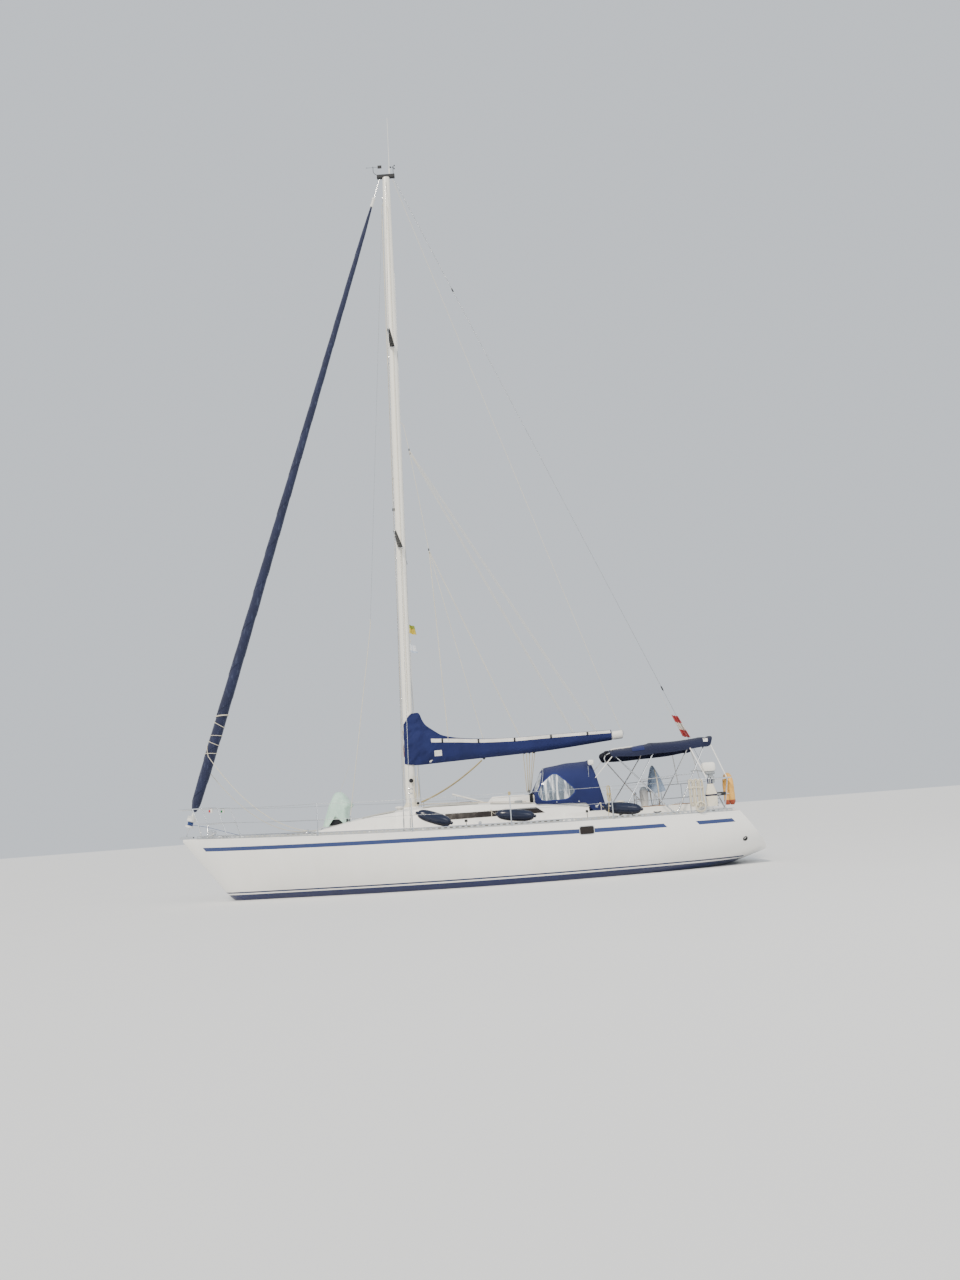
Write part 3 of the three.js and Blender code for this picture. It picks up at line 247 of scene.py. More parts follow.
# Turned forms, as pairs of radius and height from the foot up
TURNED = {
    "anchor_roller": [(0.022, 0), (0.016, 0.012), (0.016, 0.036), (0.022, 0.048)],
    "gypsy": [(0.05, 0), (0.06, 0.01), (0.035, 0.03), (0.035, 0.05), (0.06, 0.07), (0.05, 0.08)],
    "deck_eye": [(0.034, 0), (0.034, 0.006), (0.012, 0.012), (0.010, 0.09), (0.014, 0.11), (0.008, 0.13)],
    "stay_link": [(0.016, 0), (0.018, 0.03), (0.009, 0.05), (0.009, 0.12), (0.016, 0.13), (0.016, 0.19)],
    "gooseneck_pin": [(0.024, -0.034), (0.026, -0.030), (0.026, 0.030), (0.024, 0.034)],
    "gear_case": [(0.012, 0), (0.030, 0.03), (0.034, 0.09), (0.026, 0.14), (0.010, 0.17)],
    "clamp_screw": [(0.012, 0), (0.012, 0.05), (0.022, 0.055), (0.022, 0.065)],
    "pedestal": [(0.138, 0), (0.140, 0.010), (0.128, 0.022), (0.088, 0.040), (0.082, 0.07), (0.077, 0.45),
                 (0.075, 0.80), (0.080, 0.86), (0.090, 0.90), (0.092, 0.92), (0.092, 1.06), (0.090, 1.11),
                 (0.076, 1.125)],
    "compass": [(0.074, 1.120), (0.078, 1.128), (0.070, 1.150), (0.052, 1.175), (0.028, 1.190),
                (0.004, 1.1945)],
    "wheel_hub": [(0.030, -0.030), (0.050, -0.026), (0.055, -0.014), (0.055, 0.022), (0.040, 0.038),
                  (0.016, 0.042), (0.016, 0.125)],
    "pole_clip": [(0.019, 0), (0.022, 0.006), (0.022, 0.022), (0.018, 0.028)],
    "stanchion_foot": [(0.036, 0), (0.036, 0.007), (0.024, 0.016), (0.019, 0.07), (0.0155, 0.072)],
    "lens": [(0.020, -0.026), (0.028, -0.020), (0.028, 0.020), (0.020, 0.026)],
    "insulator": [(0.006, 0), (0.014, 0.02), (0.016, 0.06), (0.014, 0.10), (0.006, 0.12)],
    "large_sheave": [(0.028, -0.008), (0.034, -0.004), (0.034, 0.004), (0.028, 0.008)],
    "sheave": [(0.024, -0.008), (0.030, -0.004), (0.030, 0.004), (0.024, 0.008)],
    "car_sheave": [(0.03, 0), (0.034, 0.006), (0.02, 0.011), (0.034, 0.016), (0.03, 0.022)],
    "flange": [(0.036, 0), (0.036, 0.008), (0.017, 0.014)],
    "spreader_boot": [(0.012, 0), (0.019, 0.006), (0.021, 0.016), (0.016, 0.024)],
    "winch": [(0.075, 0), (0.075, 0.016), (0.066, 0.024), (0.052, 0.036), (0.0495, 0.060), (0.0495, 0.095),
              (0.054, 0.116), (0.060, 0.122), (0.060, 0.130), (0.045, 0.134), (0.045, 0.140), (0.060, 0.144),
              (0.058, 0.154), (0.030, 0.160), (0.016, 0.160), (0.014, 0.150)],
    "mast_winch": [(0.045, 0), (0.045, 0.02), (0.030, 0.03), (0.028, 0.075), (0.038, 0.095), (0.036, 0.11),
                   (0.012, 0.11)],
    "rigging_screw": [(0.010, 0), (0.012, 0.02), (0.006, 0.035), (0.006, 0.075), (0.011, 0.08), (0.012, 0.14),
                      (0.012, 0.19), (0.011, 0.25), (0.006, 0.255), (0.006, 0.30), (0.0085, 0.31),
                      (0.0085, 0.40), (0.005, 0.41)],
    "vent": [(0.045, 0), (0.045, 0.035), (0.085, 0.04), (0.088, 0.055), (0.06, 0.078), (0.02, 0.085)],
    "furler_drum": [(0.010, 0.195), (0.075, 0.197), (0.090, 0.203), (0.092, 0.218), (0.090, 0.233),
                    (0.070, 0.240), (0.050, 0.242), (0.048, 0.328), (0.085, 0.333), (0.096, 0.345),
                    (0.097, 0.375), (0.088, 0.436), (0.040, 0.444), (0.022, 0.452), (0.021, 0.538)],
    "furler_swivel": [(0.030, 15.362), (0.041, 15.375), (0.042, 15.42), (0.034, 15.43), (0.034, 15.55),
                      (0.042, 15.56), (0.041, 15.60), (0.012, 15.63)],
    "outlet": [(0.55, 0.004), (0.6, 0.028), (1, 0.02), (1.25, 0.0)],  # radii as shares of the bore's
    "stud": [(0.014, 0), (0.014, 0.005), (0.007, 0.011)],
    "bow_foot": [(0.036, 0), (0.036, 0.007), (0.020, 0.014), (0.018, 0.045), (0.014, 0.05)],
}


class Shape:
    """Gathers the faces of one piece. Each method adds a form and gives the shape back."""

    def __init__(self):
        self.points = []
        self.faces = []

    def add(self, points, faces):
        start = len(self.points)
        self.points.extend(tuple(p) for p in points)
        self.faces.extend(tuple(start + i for i in face) for face in faces)
        return self

    def loft(self, rings, closed=True, caps=True):
        """A skin through rings with as many points each; caps fill the first and the last ring."""
        count = len(rings[0])
        faces = []
        for r in range(len(rings) - 1):
            for i in range(count if closed else count - 1):
                j = (i + 1) % count
                faces.append((r * count + i, r * count + j, (r + 1) * count + j, (r + 1) * count + i))
        if caps and closed:
            last = (len(rings) - 1) * count
            faces.append(tuple(range(count))[::-1])
            faces.append(tuple(range(last, last + count)))
        return self.add([p for ring in rings for p in ring], faces)

    def tube(self, path, radius, sides=10, caps=True):
        """A tube along a path. The radius is one number, or one for each point."""
        path = [Vector(p) for p in path]
        radii = radius if isinstance(radius, (list, tuple)) else [radius] * len(path)
        rings = []
        across = None
        for i, point in enumerate(path):
            ahead = path[min(i + 1, len(path) - 1)] - path[max(i - 1, 0)]
            ahead.normalize()
            if across is None:
                across = ahead.orthogonal().normalized()
            across = (across - ahead * across.dot(ahead)).normalized()
            other = ahead.cross(across)
            rings.append([point + (across * math.cos(a) + other * math.sin(a)) * radii[i]
                          for a in spaced(sides + 1, 0, math.tau)[:-1]])
        return self.loft(rings, caps=caps)

    def lathe(self, profile, foot, along=(0, 0, 1), sides=24):
        """A turned form: (radius, height) pairs from the foot up."""
        along = Vector(along).normalized()
        across = along.orthogonal().normalized()
        other = along.cross(across)
        rings = []
        for radius, height in profile:
            centre, reach = Vector(foot) + along * height, max(radius, 1e-4)
            rings.append([centre + (across * math.cos(a) + other * math.sin(a)) * reach
                          for a in spaced(sides + 1, 0, math.tau)[:-1]])
        return self.loft(rings)

    def block(self, low, high, corner=0.005):
        """A box with its edges rounded over."""
        (x0, y0, z0), (x1, y1, z1) = low, high
        corner = min(corner, (x1 - x0) * 0.45, (y1 - y0) * 0.45, (z1 - z0) * 0.45)
        rings = []
        for inset, z in ((corner, z0), (corner * 0.3, z0 + corner * 0.3), (0, z0 + corner),
                         (0, z1 - corner), (corner * 0.3, z1 - corner * 0.3), (corner, z1)):
            rings.append(level_box(z, x0 + inset, x1 - inset, y0 + inset, y1 - inset, corner))
        return self.loft(rings)

    def plate(self, outline, axis, low, high):
        """A flat outline of pairs in the plane across an axis, from low to high along it."""
        place = {
            "x": lambda a, b, h: (h, a, b),
            "y": lambda a, b, h: (a, h, b),
            "z": lambda a, b, h: (a, b, h),
        }[axis]
        return self.loft([[place(a, b, h) for a, b in outline] for h in (low, high)])

    def moved(self, matrix):
        """The same form after a matrix."""
        self.points = [tuple(matrix @ Vector(p)) for p in self.points]
        return self

    def join(self, other):
        return self.add(other.points, other.faces)

    def piece(self, name, *looks, body="yacht", slot=None, replaces=(), sharp=40, outward=True):
        """Makes the object with its looks. It rides on its body and stands for the nodes that it replaces."""
        mesh = bpy.data.meshes.new(name)
        mesh.from_pydata(self.points, [], self.faces)
        for look in looks:
            mesh.materials.append(finish(look))
        made = bmesh.new()
        made.from_mesh(mesh)
        bmesh.ops.remove_doubles(made, verts=made.verts, dist=1e-6)
        if outward:
            bmesh.ops.recalc_face_normals(made, faces=made.faces)
        made.to_mesh(mesh)
        made.free()
        piece = bpy.data.objects.new(name, mesh)
        bpy.context.scene.collection.objects.link(piece)
        shade(mesh, sharp)
        if body:
            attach(piece, body)
        slot = slot or LOOKS[looks[0]][0]
        if replaces:
            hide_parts(*replaces)
        return piece


def shade(mesh, sharp):
    """Smooth shading with edges sharper than an angle in degrees kept crisp."""
    mesh.shade_smooth()
    mesh.set_sharp_from_angle(angle=math.radians(sharp))


def rounded_box(x0, x1, y0, y1, corner, steps=3):
    """The outline of a rectangle with round corners."""
    centres = [(x1 - corner, y1 - corner, 0), (x0 + corner, y1 - corner, 90),
               (x0 + corner, y0 + corner, 180), (x1 - corner, y0 + corner, 270)]
    return [
        (cx + corner * math.cos(math.radians(start + turn)),
         cy + corner * math.sin(math.radians(start + turn)))
        for cx, cy, start in centres
        for turn in spaced(steps, 0, 90)
    ]


def oval(x, y, z, long, wide, sides=32):
    return [(x + long * math.cos(a), y + wide * math.sin(a), z) for a in spaced(sides + 1, 0, math.tau)[:-1]]


def power(value, exponent):
    return math.copysign(abs(value) ** exponent, value)


def linear(code):
    """The linear colour of an sRGB hex code."""
    parts = [int(code[i : i + 2], 16) / 255 for i in (1, 3, 5)]
    return [p / 12.92 if p <= 0.04045 else ((p + 0.055) / 1.055) ** 2.4 for p in parts]


def colour_property(name, description, code):
    return bpy.props.FloatVectorProperty(
        name=name, description=description, default=linear(code), subtype="COLOR", size=3, min=0, max=1
    )


def length_property(name, description, default):
    return bpy.props.FloatProperty(
        name=name, description=description, default=default, min=0, unit="LENGTH", subtype="DISTANCE"
    )


class SloopColours(bpy.types.PropertyGroup):
    gelcoat: colour_property("Gelcoat", "Topsides and deck", "#f4f3ef")
    grip: colour_property("Deck grip", "Moulded non-slip panels", "#cfcdc4")
    stripe: colour_property("Stripe", "Line below the sheer", "#23366a")
    boot_top: colour_property("Boot top", "Band at the waterline", "#16224f")
    antifouling: colour_property("Antifouling", "Paint below the water", "#1b2950")
    spar: colour_property("Spars", "Enamel of mast and boom", "#eeebe1")
    canvas: colour_property("Canvas", "Sail cover and dodger", "#0f1c52")
    shade_canvas: colour_property("Bimini canvas", "Sun awning", "#101838")
    sail_strip: colour_property("Furled sail", "Cloth round the rolled genoa", "#1a2140")
    tape: colour_property("Cover tape", "Pale band and patch on the sail cover", "#e6e4df")
    scoop: colour_property("Wind scoop", "Nylon of the scoop", "#b7dccb")
    fender: colour_property("Fenders", "Inflated vinyl", "#101a34")
    buoy: colour_property("Lifebuoy", "Upper part of the lifebuoy", "#e8ae52")
    buoy_low: colour_property("Lifebuoy ends", "Lower part of the lifebuoy", "#9c4426")
    wheel_cover: colour_property("Wheel cloth", "Faded canvas over the wheel", "#a3b6d0")
    rope: colour_property("Rope", "Braided lines", "#e4dcc6")
    teak: colour_property("Teak", "Oiled teak", "#9a6b3c")
    acrylic: colour_property("Windows", "Smoked acrylic", "#1a1210")
    floor: colour_property("Floor", "Studio floor", "#e6e7e8")


class SloopSizes(bpy.types.PropertyGroup):
    sheet_rope: length_property("Sheets", "Diameter of the genoa sheets", 0.014)
    line_rope: length_property("Lines", "Diameter of the lazy jacks and halyards", 0.009)
    wire: length_property("Shrouds", "Diameter of the shrouds and the backstay", 0.010)
    lifeline: length_property("Lifelines", "Diameter of the lifelines", 0.007)
    slot_pitch: length_property("Rail slots", "Spacing of the slots in the toe rail", 0.115)
    weave: length_property("Weave", "Spacing of the canvas threads, coarser than life so that it shows",
                           0.006)


def colours():
    return bpy.context.scene.sloop_colours


def sizes():
    return bpy.context.scene.sloop_sizes


STRIPE_ENDS = {"slant": 0.07, "long": (-3.37, 6.10), "short": (-4.77, -4.02)}
BOOT_TOP = {"high": 0.12, "line": (0.15, 0.18), "aft_end": -5.02}


class Surface:
    """A material in the making. Its place is that of each point in metres, and x, y and z are its parts."""

    def __init__(self, name):
        self.material = bpy.data.materials.new(name)
        self.material.use_nodes = True
        self.tree = self.material.node_tree
        self.tree.nodes.clear()
        self.shader = self.node("BsdfPrincipled", out=None)
        self.node("OutputMaterial", self.shader.outputs[0], out=None)
        self.place = self.node("TexCoord", out="Object")
        apart = self.node("SeparateXYZ", self.place, out=None)
        self.x, self.y, self.z = apart.outputs

    def node(self, kind, *values, out=0, **settings):
        """Adds a node, with values or links for its sockets in their order, and gives one of its outputs."""
        made = self.tree.nodes.new("ShaderNode" + kind)
        for name, value in settings.items():
            setattr(made, name, value)
        for socket, value in zip(made.inputs, values):
            self.feed(socket, value)
        return made if out is None else made.outputs[out]

    def feed(self, socket, value):
        if isinstance(value, bpy.types.NodeSocket):
            self.tree.links.new(value, socket)
        elif socket.type == "RGBA":
            socket.default_value = (*value[:3], 1)
        else:
            socket.default_value = value

    def set(self, **values):
        """Sets the shader's own sockets; an underscore stands for a space."""
        for name, value in values.items():
            self.feed(self.shader.inputs[name.replace("_", " ")], value)
        return self

    def cloud(self, size, detail=3, stretch=(1, 1, 1), lean=0):
        """Soft noise from 0 to 1, with clouds about a size in metres wide, leaning round the Y axis."""
        scales = tuple(part / size for part in stretch)
        vector = self.node("Mapping", self.place, (0, 0, 0), (0, lean, 0), scales)
        return self.node("TexNoise", vector, 0, 1.0, detail)

    def patches(self, size, low, high, start=0.3, end=0.7, detail=3, **form):
        """Clouds whose middle range goes from low to high."""
        return self.node("MapRange", self.cloud(size, detail, **form), start, end, low, high)

    def within(self, value, low, high):
        """1 where a value lies between two, and otherwise 0."""
        above = self.node("Math", value, low, operation="GREATER_THAN")
        below = self.node("Math", value, high, operation="LESS_THAN")
        return self.node("Math", above, below, operation="MULTIPLY")

    def ripple(self, value, pitch):
        """A wave from -1 to 1 that repeats as a value in metres grows by a pitch."""
        return self.node("Math", self.node("Math", value, math.tau / pitch, operation="MULTIPLY"),
                         operation="SINE")

    def crossing(self, a, b, pitch):
        """Two crossing waves, along a + b and a - b."""
        waves = [self.ripple(self.node("Math", a, b, operation=way), pitch) for way in ("ADD", "SUBTRACT")]
        return self.node("Math", *waves, operation="MULTIPLY")

    def weave(self, pitch):
        """The height of a plain weave with threads a pitch apart, on a surface of any slope."""
        return self.crossing(self.x, self.node("Math", self.y, self.z, operation="ADD"), pitch)

    def worn(self, colour, size, change):
        """A colour that drifts darker and paler by a share, in clouds of a size in metres."""
        darker = [c * (1 - change) for c in colour]
        paler = [c + min(c, 1 - c) * change * 0.5 for c in colour]
        return self.node("MixRGB", self.patches(size, 0, 1), darker, paler)

    def relief(self, height, depth):
        """Bump whose full height is a depth in metres."""
        bump = self.node("Bump", out=None)
        self.feed(bump.inputs["Height"], height)
        self.feed(bump.inputs["Distance"], depth)
        return self.set(Normal=bump.outputs[0])


def polished_gelcoat():
    """Polyester gelcoat from a polished mould: a clear gloss over warm white, faintly streaked by weather."""
    s = Surface("polished_gelcoat")
    c = colours()
    streaks = s.patches(0.5, 0, 0.10, 0.45, 0.8, detail=4, stretch=(1, 1, 0.12))
    white = s.node("MixRGB", streaks, s.worn(c.gelcoat, 1.5, 0.03), linear("#bdb59c"))
    band = s.node("Attribute", attribute_name="stripe", out="Fac")
    slant = s.node("Math", band, STRIPE_ENDS["slant"], operation="MULTIPLY")
    along = s.node("Math", s.x, slant, operation="SUBTRACT")
    parts = [s.within(along, *STRIPE_ENDS[part]) for part in ("long", "short")]
    both = s.node("Math", *parts, operation="ADD")
    stripe = s.node("Math", s.within(band, 0, 1), both, operation="MULTIPLY")
    low = s.node("Math", s.z, BOOT_TOP["high"], operation="LESS_THAN")
    dark = s.node("Math", low, s.within(s.z, *BOOT_TOP["line"]), operation="MAXIMUM")
    afloat = s.node("Math", s.x, BOOT_TOP["aft_end"], operation="GREATER_THAN")
    boot = s.node("Math", dark, afloat, operation="MULTIPLY")
    painted = s.node("MixRGB", boot, s.node("MixRGB", stripe, white, c.stripe), c.boot_top)
    slime = s.patches(0.08, 0, 0.5, 0.5, 0.8, detail=5)
    scummed = s.node("MixRGB", slime, c.antifouling, linear("#4d4a38"))
    below = s.node("Math", s.z, -0.02, operation="LESS_THAN")
    s.set(Base_Color=s.node("MixRGB", below, painted, scummed), IOR=1.5, Coat_Weight=0.3, Coat_Roughness=0.08)
    s.set(Roughness=s.node("MapRange", below, 0, 1, 0.22, 0.75))
    return s.relief(s.cloud(0.9, 2), 0.003).material


def satin_gelcoat():
    """Gelcoat from a satin mould, chalked by the sun: off-white with a broad soft shine."""
    s = Surface("satin_gelcoat")
    dirt = s.patches(0.12, 0, 0.16, 0.5, 0.8, detail=5)
    s.set(Base_Color=s.node("MixRGB", dirt, s.worn(colours().gelcoat, 0.8, 0.04), linear("#a39d8c")))
    s.set(Roughness=s.patches(0.3, 0.32, 0.5), IOR=1.5)
    return s.relief(s.cloud(0.25, 2), 0.002).material


def moulded_grip():
    """Gelcoat moulded with raised diamonds for grip: matt, greyer and shadowed between them."""
    s = Surface("moulded_grip")
    diamonds = s.crossing(s.x, s.y, 0.02)
    hollows = s.node("MapRange", diamonds, -1, 1, 0.25, 0)
    s.set(Base_Color=s.node("MixRGB", hollows, s.worn(colours().grip, 0.4, 0.06), linear("#8b897f")))
    s.set(Roughness=0.7)
    return s.relief(diamonds, 0.0015).material


def antifouling_paint():
    """Soft antifouling, rolled on: dead matt navy with pale slime in patches."""
    s = Surface("antifouling_paint")
    slime = s.patches(0.10, 0, 0.4, 0.5, 0.75, detail=6)
    s.set(Base_Color=s.node("MixRGB", slime, s.worn(colours().antifouling, 0.5, 0.2), linear("#55523d")))
    s.set(Roughness=0.85)
    return s.relief(s.cloud(0.03, 4), 0.002).material


def spar_enamel():
    """Two-pack enamel on an alloy extrusion: cream-white, even and glossy, dusty near the fittings."""
    s = Surface("spar_enamel")
    grime = s.patches(0.25, 0, 0.14, 0.5, 0.85, detail=5, stretch=(3, 3, 0.5))
    s.set(Base_Color=s.node("MixRGB", grime, s.worn(colours().spar, 1.2, 0.03), linear("#a8a292")))
    s.set(Roughness=s.patches(0.4, 0.25, 0.4), Coat_Weight=0.15, IOR=1.5)
    return s.relief(s.cloud(0.02, 2), 0.0003).material


def anodised_aluminium(tone):
    """Extruded aluminium, anodised: a soft grey or black metal shine with fine lines along the extrusion."""
    s = Surface("anodised_aluminium_" + tone)
    colour, metal = {"silver": ("#c6c9cb", 1.0), "black": ("#25272b", 0.6)}[tone]
    s.set(Base_Color=s.worn(linear(colour), 0.3, 0.12), Metallic=metal)
    s.set(Roughness=s.patches(0.004, 0.38, 0.55, detail=2, stretch=(0.02, 1, 1)))
    return s.relief(s.cloud(0.004, 2, (0.02, 1, 1)), 0.0002).material


def polished_stainless():
    """Drawn stainless tube, polished: a bright cool mirror, dulled by salt in spots."""
    s = Surface("polished_stainless")
    s.set(Base_Color=s.worn(linear("#dfe1e3"), 0.1, 0.05), Metallic=1.0)
    s.set(Roughness=s.patches(0.02, 0.12, 0.32, 0.5, 0.8, detail=4))
    return s.relief(s.cloud(0.05, 2), 0.0003).material


def laid_wire():
    """Stainless wire laid in strands: grey from afar, with a fine twist of painted light and shade along the
    strands.
    """
    s = Surface("laid_wire")
    twist = s.ripple(s.node("Math", s.z, s.x, operation="ADD"), 0.03)
    # Painted light and shade: the twist makes pale and dark bands that stand for light on the rounded strands
    # and shade between them.
    light = s.node("MapRange", twist, -1, 1, 0, 1)
    s.set(Base_Color=s.node("MixRGB", light, linear("#8b8f93"), linear("#b9bdc0")), Metallic=0.9,
          Roughness=0.35)
    return s.relief(twist, 0.0008).material


def cast_bronze():
    """Sand-cast bronze under water: brown-gold and dull, with green in the hollows."""
    s = Surface("cast_bronze")
    green = s.patches(0.03, 0, 0.6, 0.5, 0.75, detail=5)
    s.set(Base_Color=s.node("MixRGB", green, linear("#9a7436"), linear("#5f7a58")), Metallic=0.85)
    s.set(Roughness=s.patches(0.02, 0.35, 0.6))
    return s.relief(s.cloud(0.008, 4), 0.0008).material


def engine_enamel():
    """Red enamel brushed on cast iron: thick and glossy, with dark oil stains."""
    s = Surface("engine_enamel")
    oil = s.patches(0.08, 0, 0.7, 0.5, 0.75, detail=5)
    s.set(Base_Color=s.node("MixRGB", oil, linear("#8b2f24"), linear("#1d1512")))
    s.set(Roughness=s.node("MapRange", oil, 0, 0.7, 0.45, 0.25))
    return s.relief(s.cloud(0.01, 3), 0.001).material


def smoked_acrylic():
    """Cast acrylic, tinted: near black and brownish, its polish dulled by salt."""
    s = Surface("smoked_acrylic")
    s.set(Base_Color=s.worn(colours().acrylic, 0.3, 0.2), Roughness=s.patches(0.1, 0.18, 0.3), IOR=1.45)
    return s.relief(s.cloud(0.4, 1), 0.002).material


def canvas(tone):
    """Woven acrylic canvas, dyed in the yarn: dead matt with a faint nap, paler where the sun wears it."""
    s = Surface("woven_canvas_" + tone)
    colour = {
        "navy": colours().canvas,
        "binding": [c * 1.5 for c in colours().canvas],
        "shade": colours().shade_canvas,
        "tape": colours().tape,
        "grey": colours().wheel_cover,
    }[tone]
    faded = [c * 1.2 + 0.006 for c in colour]
    fading = s.patches(0.6, 0, 0.6, 0.4, 0.8, detail=2)
    s.set(Base_Color=s.node("MixRGB", fading, s.worn(colour, 0.3, 0.1), faded), Roughness=0.92)
    s.set(Sheen_Weight=0.06, Sheen_Roughness=0.5)
    rumple = s.patches(0.11, 0, 7, 0, 1, detail=2)
    return s.relief(s.node("Math", s.weave(sizes().weave), rumple, operation="ADD"), 0.0007).material


def sail_strip():
    """The sun strip of the rolled genoa, woven acrylic: dark, tightly wound, with worn pale edges."""
    s = Surface("woven_sail_strip")
    wear = s.patches(0.05, 0, 0.35, 0.55, 0.8, detail=4, stretch=(1, 1, 0.3))
    s.set(Base_Color=s.node("MixRGB", wear, s.worn(colours().sail_strip, 0.5, 0.2), linear("#5f6a86")))
    s.set(Roughness=0.88, Sheen_Weight=0.2)
    return s.relief(s.cloud(0.025, 3, (1, 1, 0.4)), 0.004).material


def ripstop_nylon():
    """Thin ripstop nylon: pale mint with a soft shine, its reinforcing squares just visible."""
    s = Surface("ripstop_nylon")
    lines = s.node("Math", s.ripple(s.y, 0.02), s.ripple(s.z, 0.02), operation="MAXIMUM")
    light = s.node("MapRange", lines, 0.9, 1, 0, 0.25)
    s.set(Base_Color=s.node("MixRGB", light, s.worn(colours().scoop, 0.1, 0.08), linear("#e9f6ee")))
    s.set(Roughness=0.5, Sheen_Weight=0.3)
    creases = s.patches(0.08, 0, 8, 0, 1)
    return s.relief(s.node("Math", lines, creases, operation="ADD"), 0.0012).material


def clear_vinyl():
    """Flexible clear vinyl sheet: see-through with a blue-grey cast, with painted highlights in white
    slanting streaks along its folds, where the sheet is also rougher and less clear.
    """
    s = Surface("clear_vinyl")
    # Painted highlight: the white streaks stand for the sun glinting on the folds. The same streaks also make
    # the sheet rougher and less clear.
    glint_and_haze = s.patches(0.30, 0, 1, 0.50, 0.66, detail=2, stretch=(4.5, 1, 0.5), lean=0.75)
    s.set(Base_Color=s.node("MixRGB", glint_and_haze, linear("#8d9cad"), linear("#f6f8f9")))
    s.set(Roughness=s.node("MapRange", glint_and_haze, 0, 1, 0.08, 0.4), IOR=1.3, Coat_Weight=0.4, Coat_Roughness=0.06)
    s.set(Transmission_Weight=s.node("MapRange", glint_and_haze, 0, 1, 0.7, 0.15))
    return s.relief(s.cloud(0.16, 2), 0.012).material


def inflated_vinyl():
    """Moulded vinyl, blown up tight: dark and glossy, scuffed in pale streaks."""
    s = Surface("inflated_vinyl")
    scuffs = s.patches(0.03, 0, 0.10, 0.6, 0.8, detail=6, stretch=(0.3, 1, 1))
    s.set(Base_Color=s.node("MixRGB", scuffs, s.worn(colours().fender, 0.2, 0.1), linear("#6a7080")))
    s.set(Roughness=0.24)
    return s.relief(s.cloud(0.05, 3), 0.001).material


def buoy_cover():
    """Coated cloth sewn over foam: yellow-orange above and red-brown below, matt and a little faded."""
    s = Surface("buoy_cover")
    low = s.node("Math", s.z, 1.30, operation="LESS_THAN")
    tones = [s.worn(tone, 0.1, 0.1) for tone in (colours().buoy, colours().buoy_low)]
    s.set(Base_Color=s.node("MixRGB", low, *tones), Roughness=0.6, Sheen_Weight=0.1)
    return s.relief(s.cloud(0.03, 3), 0.003).material


PLASTICS = {
    "white": "#e6e5df", "black": "#17181a", "grey": "#8f9498",
    "red": "#b3141a", "green": "#0f7a3b", "glass": "#dfe6e6",
}


def moulded_plastic(tone):
    """Injection-moulded plastic: even colour, fine grain and a low shine."""
    s = Surface("moulded_plastic_" + tone)
    s.set(Base_Color=s.worn(linear(PLASTICS[tone]), 0.1, 0.06), Roughness=s.patches(0.03, 0.35, 0.5))
    return s.relief(s.cloud(0.002, 2), 0.0002).material


def coated_cloth():
    """Vinyl-coated polyester cloth: cream, softly shiny, creased."""
    s = Surface("coated_cloth")
    s.set(Base_Color=s.worn(linear("#ddd6c2"), 0.12, 0.08), Roughness=0.55)
    return s.relief(s.cloud(0.05, 4), 0.006).material


ROPES = {"tan": "#c8b78a", "red": "#8e2a2c", "blue": "#2b4480", "maroon": "#7c2a34"}


def braided_rope(tone):
    """Braided polyester: matt, with painted shade in the gaps between crossing strands a few millimetres
    apart.
    """
    s = Surface("braided_rope_" + tone)
    colour = list(colours().rope) if tone == "cream" else linear(ROPES[tone])
    braid = s.crossing(s.node("Math", s.z, s.x, operation="ADD"), s.y, 0.012)
    # Painted shade: the colour darkens towards a little over half its tone in the gaps between the strands.
    shaded_gaps = s.node("MapRange", braid, 0, 1, 0, 0.6)
    s.set(Base_Color=s.node("MixRGB", shaded_gaps, s.worn(colour, 0.1, 0.1), [part * 0.55 for part in colour]))
    s.set(Roughness=0.9)
    return s.relief(braid, 0.001).material


def oiled_teak():
    """Sawn teak, oiled: warm brown with long dark grain, greying where it is dry."""
    s = Surface("oiled_teak")
    grain = s.patches(0.012, 0, 1, detail=5, stretch=(0.06, 1, 1))
    brown = s.node("MixRGB", grain, colours().teak, linear("#6a4423"))
    grey = s.patches(0.25, 0, 0.4, 0.5, 0.8)
    s.set(Base_Color=s.node("MixRGB", grey, brown, linear("#9b9184")), Roughness=0.6)
    return s.relief(grain, 0.0008).material


FLAGS = {
    "stern": ("#c4202c", "#f0ede6", 1 / 3, 2 / 3),
    "yellow": ("#cdb83a", "#8f9a2c", 0.62, 1.0),
    "white": ("#e9edf2", "#b9c6dc", 0.0, 0.22),
}


def bunting(pattern):
    """Thin woven flag cloth, its dyed bands running across it."""
    s = Surface("woven_bunting_" + pattern)
    outer, middle, low, high = FLAGS[pattern]
    inner = s.within(s.node("Attribute", attribute_name="band", out="Fac"), low, high)
    s.set(Base_Color=s.node("MixRGB", inner, linear(outer), linear(middle)), Roughness=0.8, Sheen_Weight=0.2)
    return s.relief(s.weave(0.004), 0.0004).material


def studio_paper():
    """Matt paper for the studio floor."""
    s = Surface("studio_paper")
    s.set(Base_Color=s.worn(colours().floor, 3.0, 0.01), Roughness=0.9, Specular_IOR_Level=0.2)
    return s.material


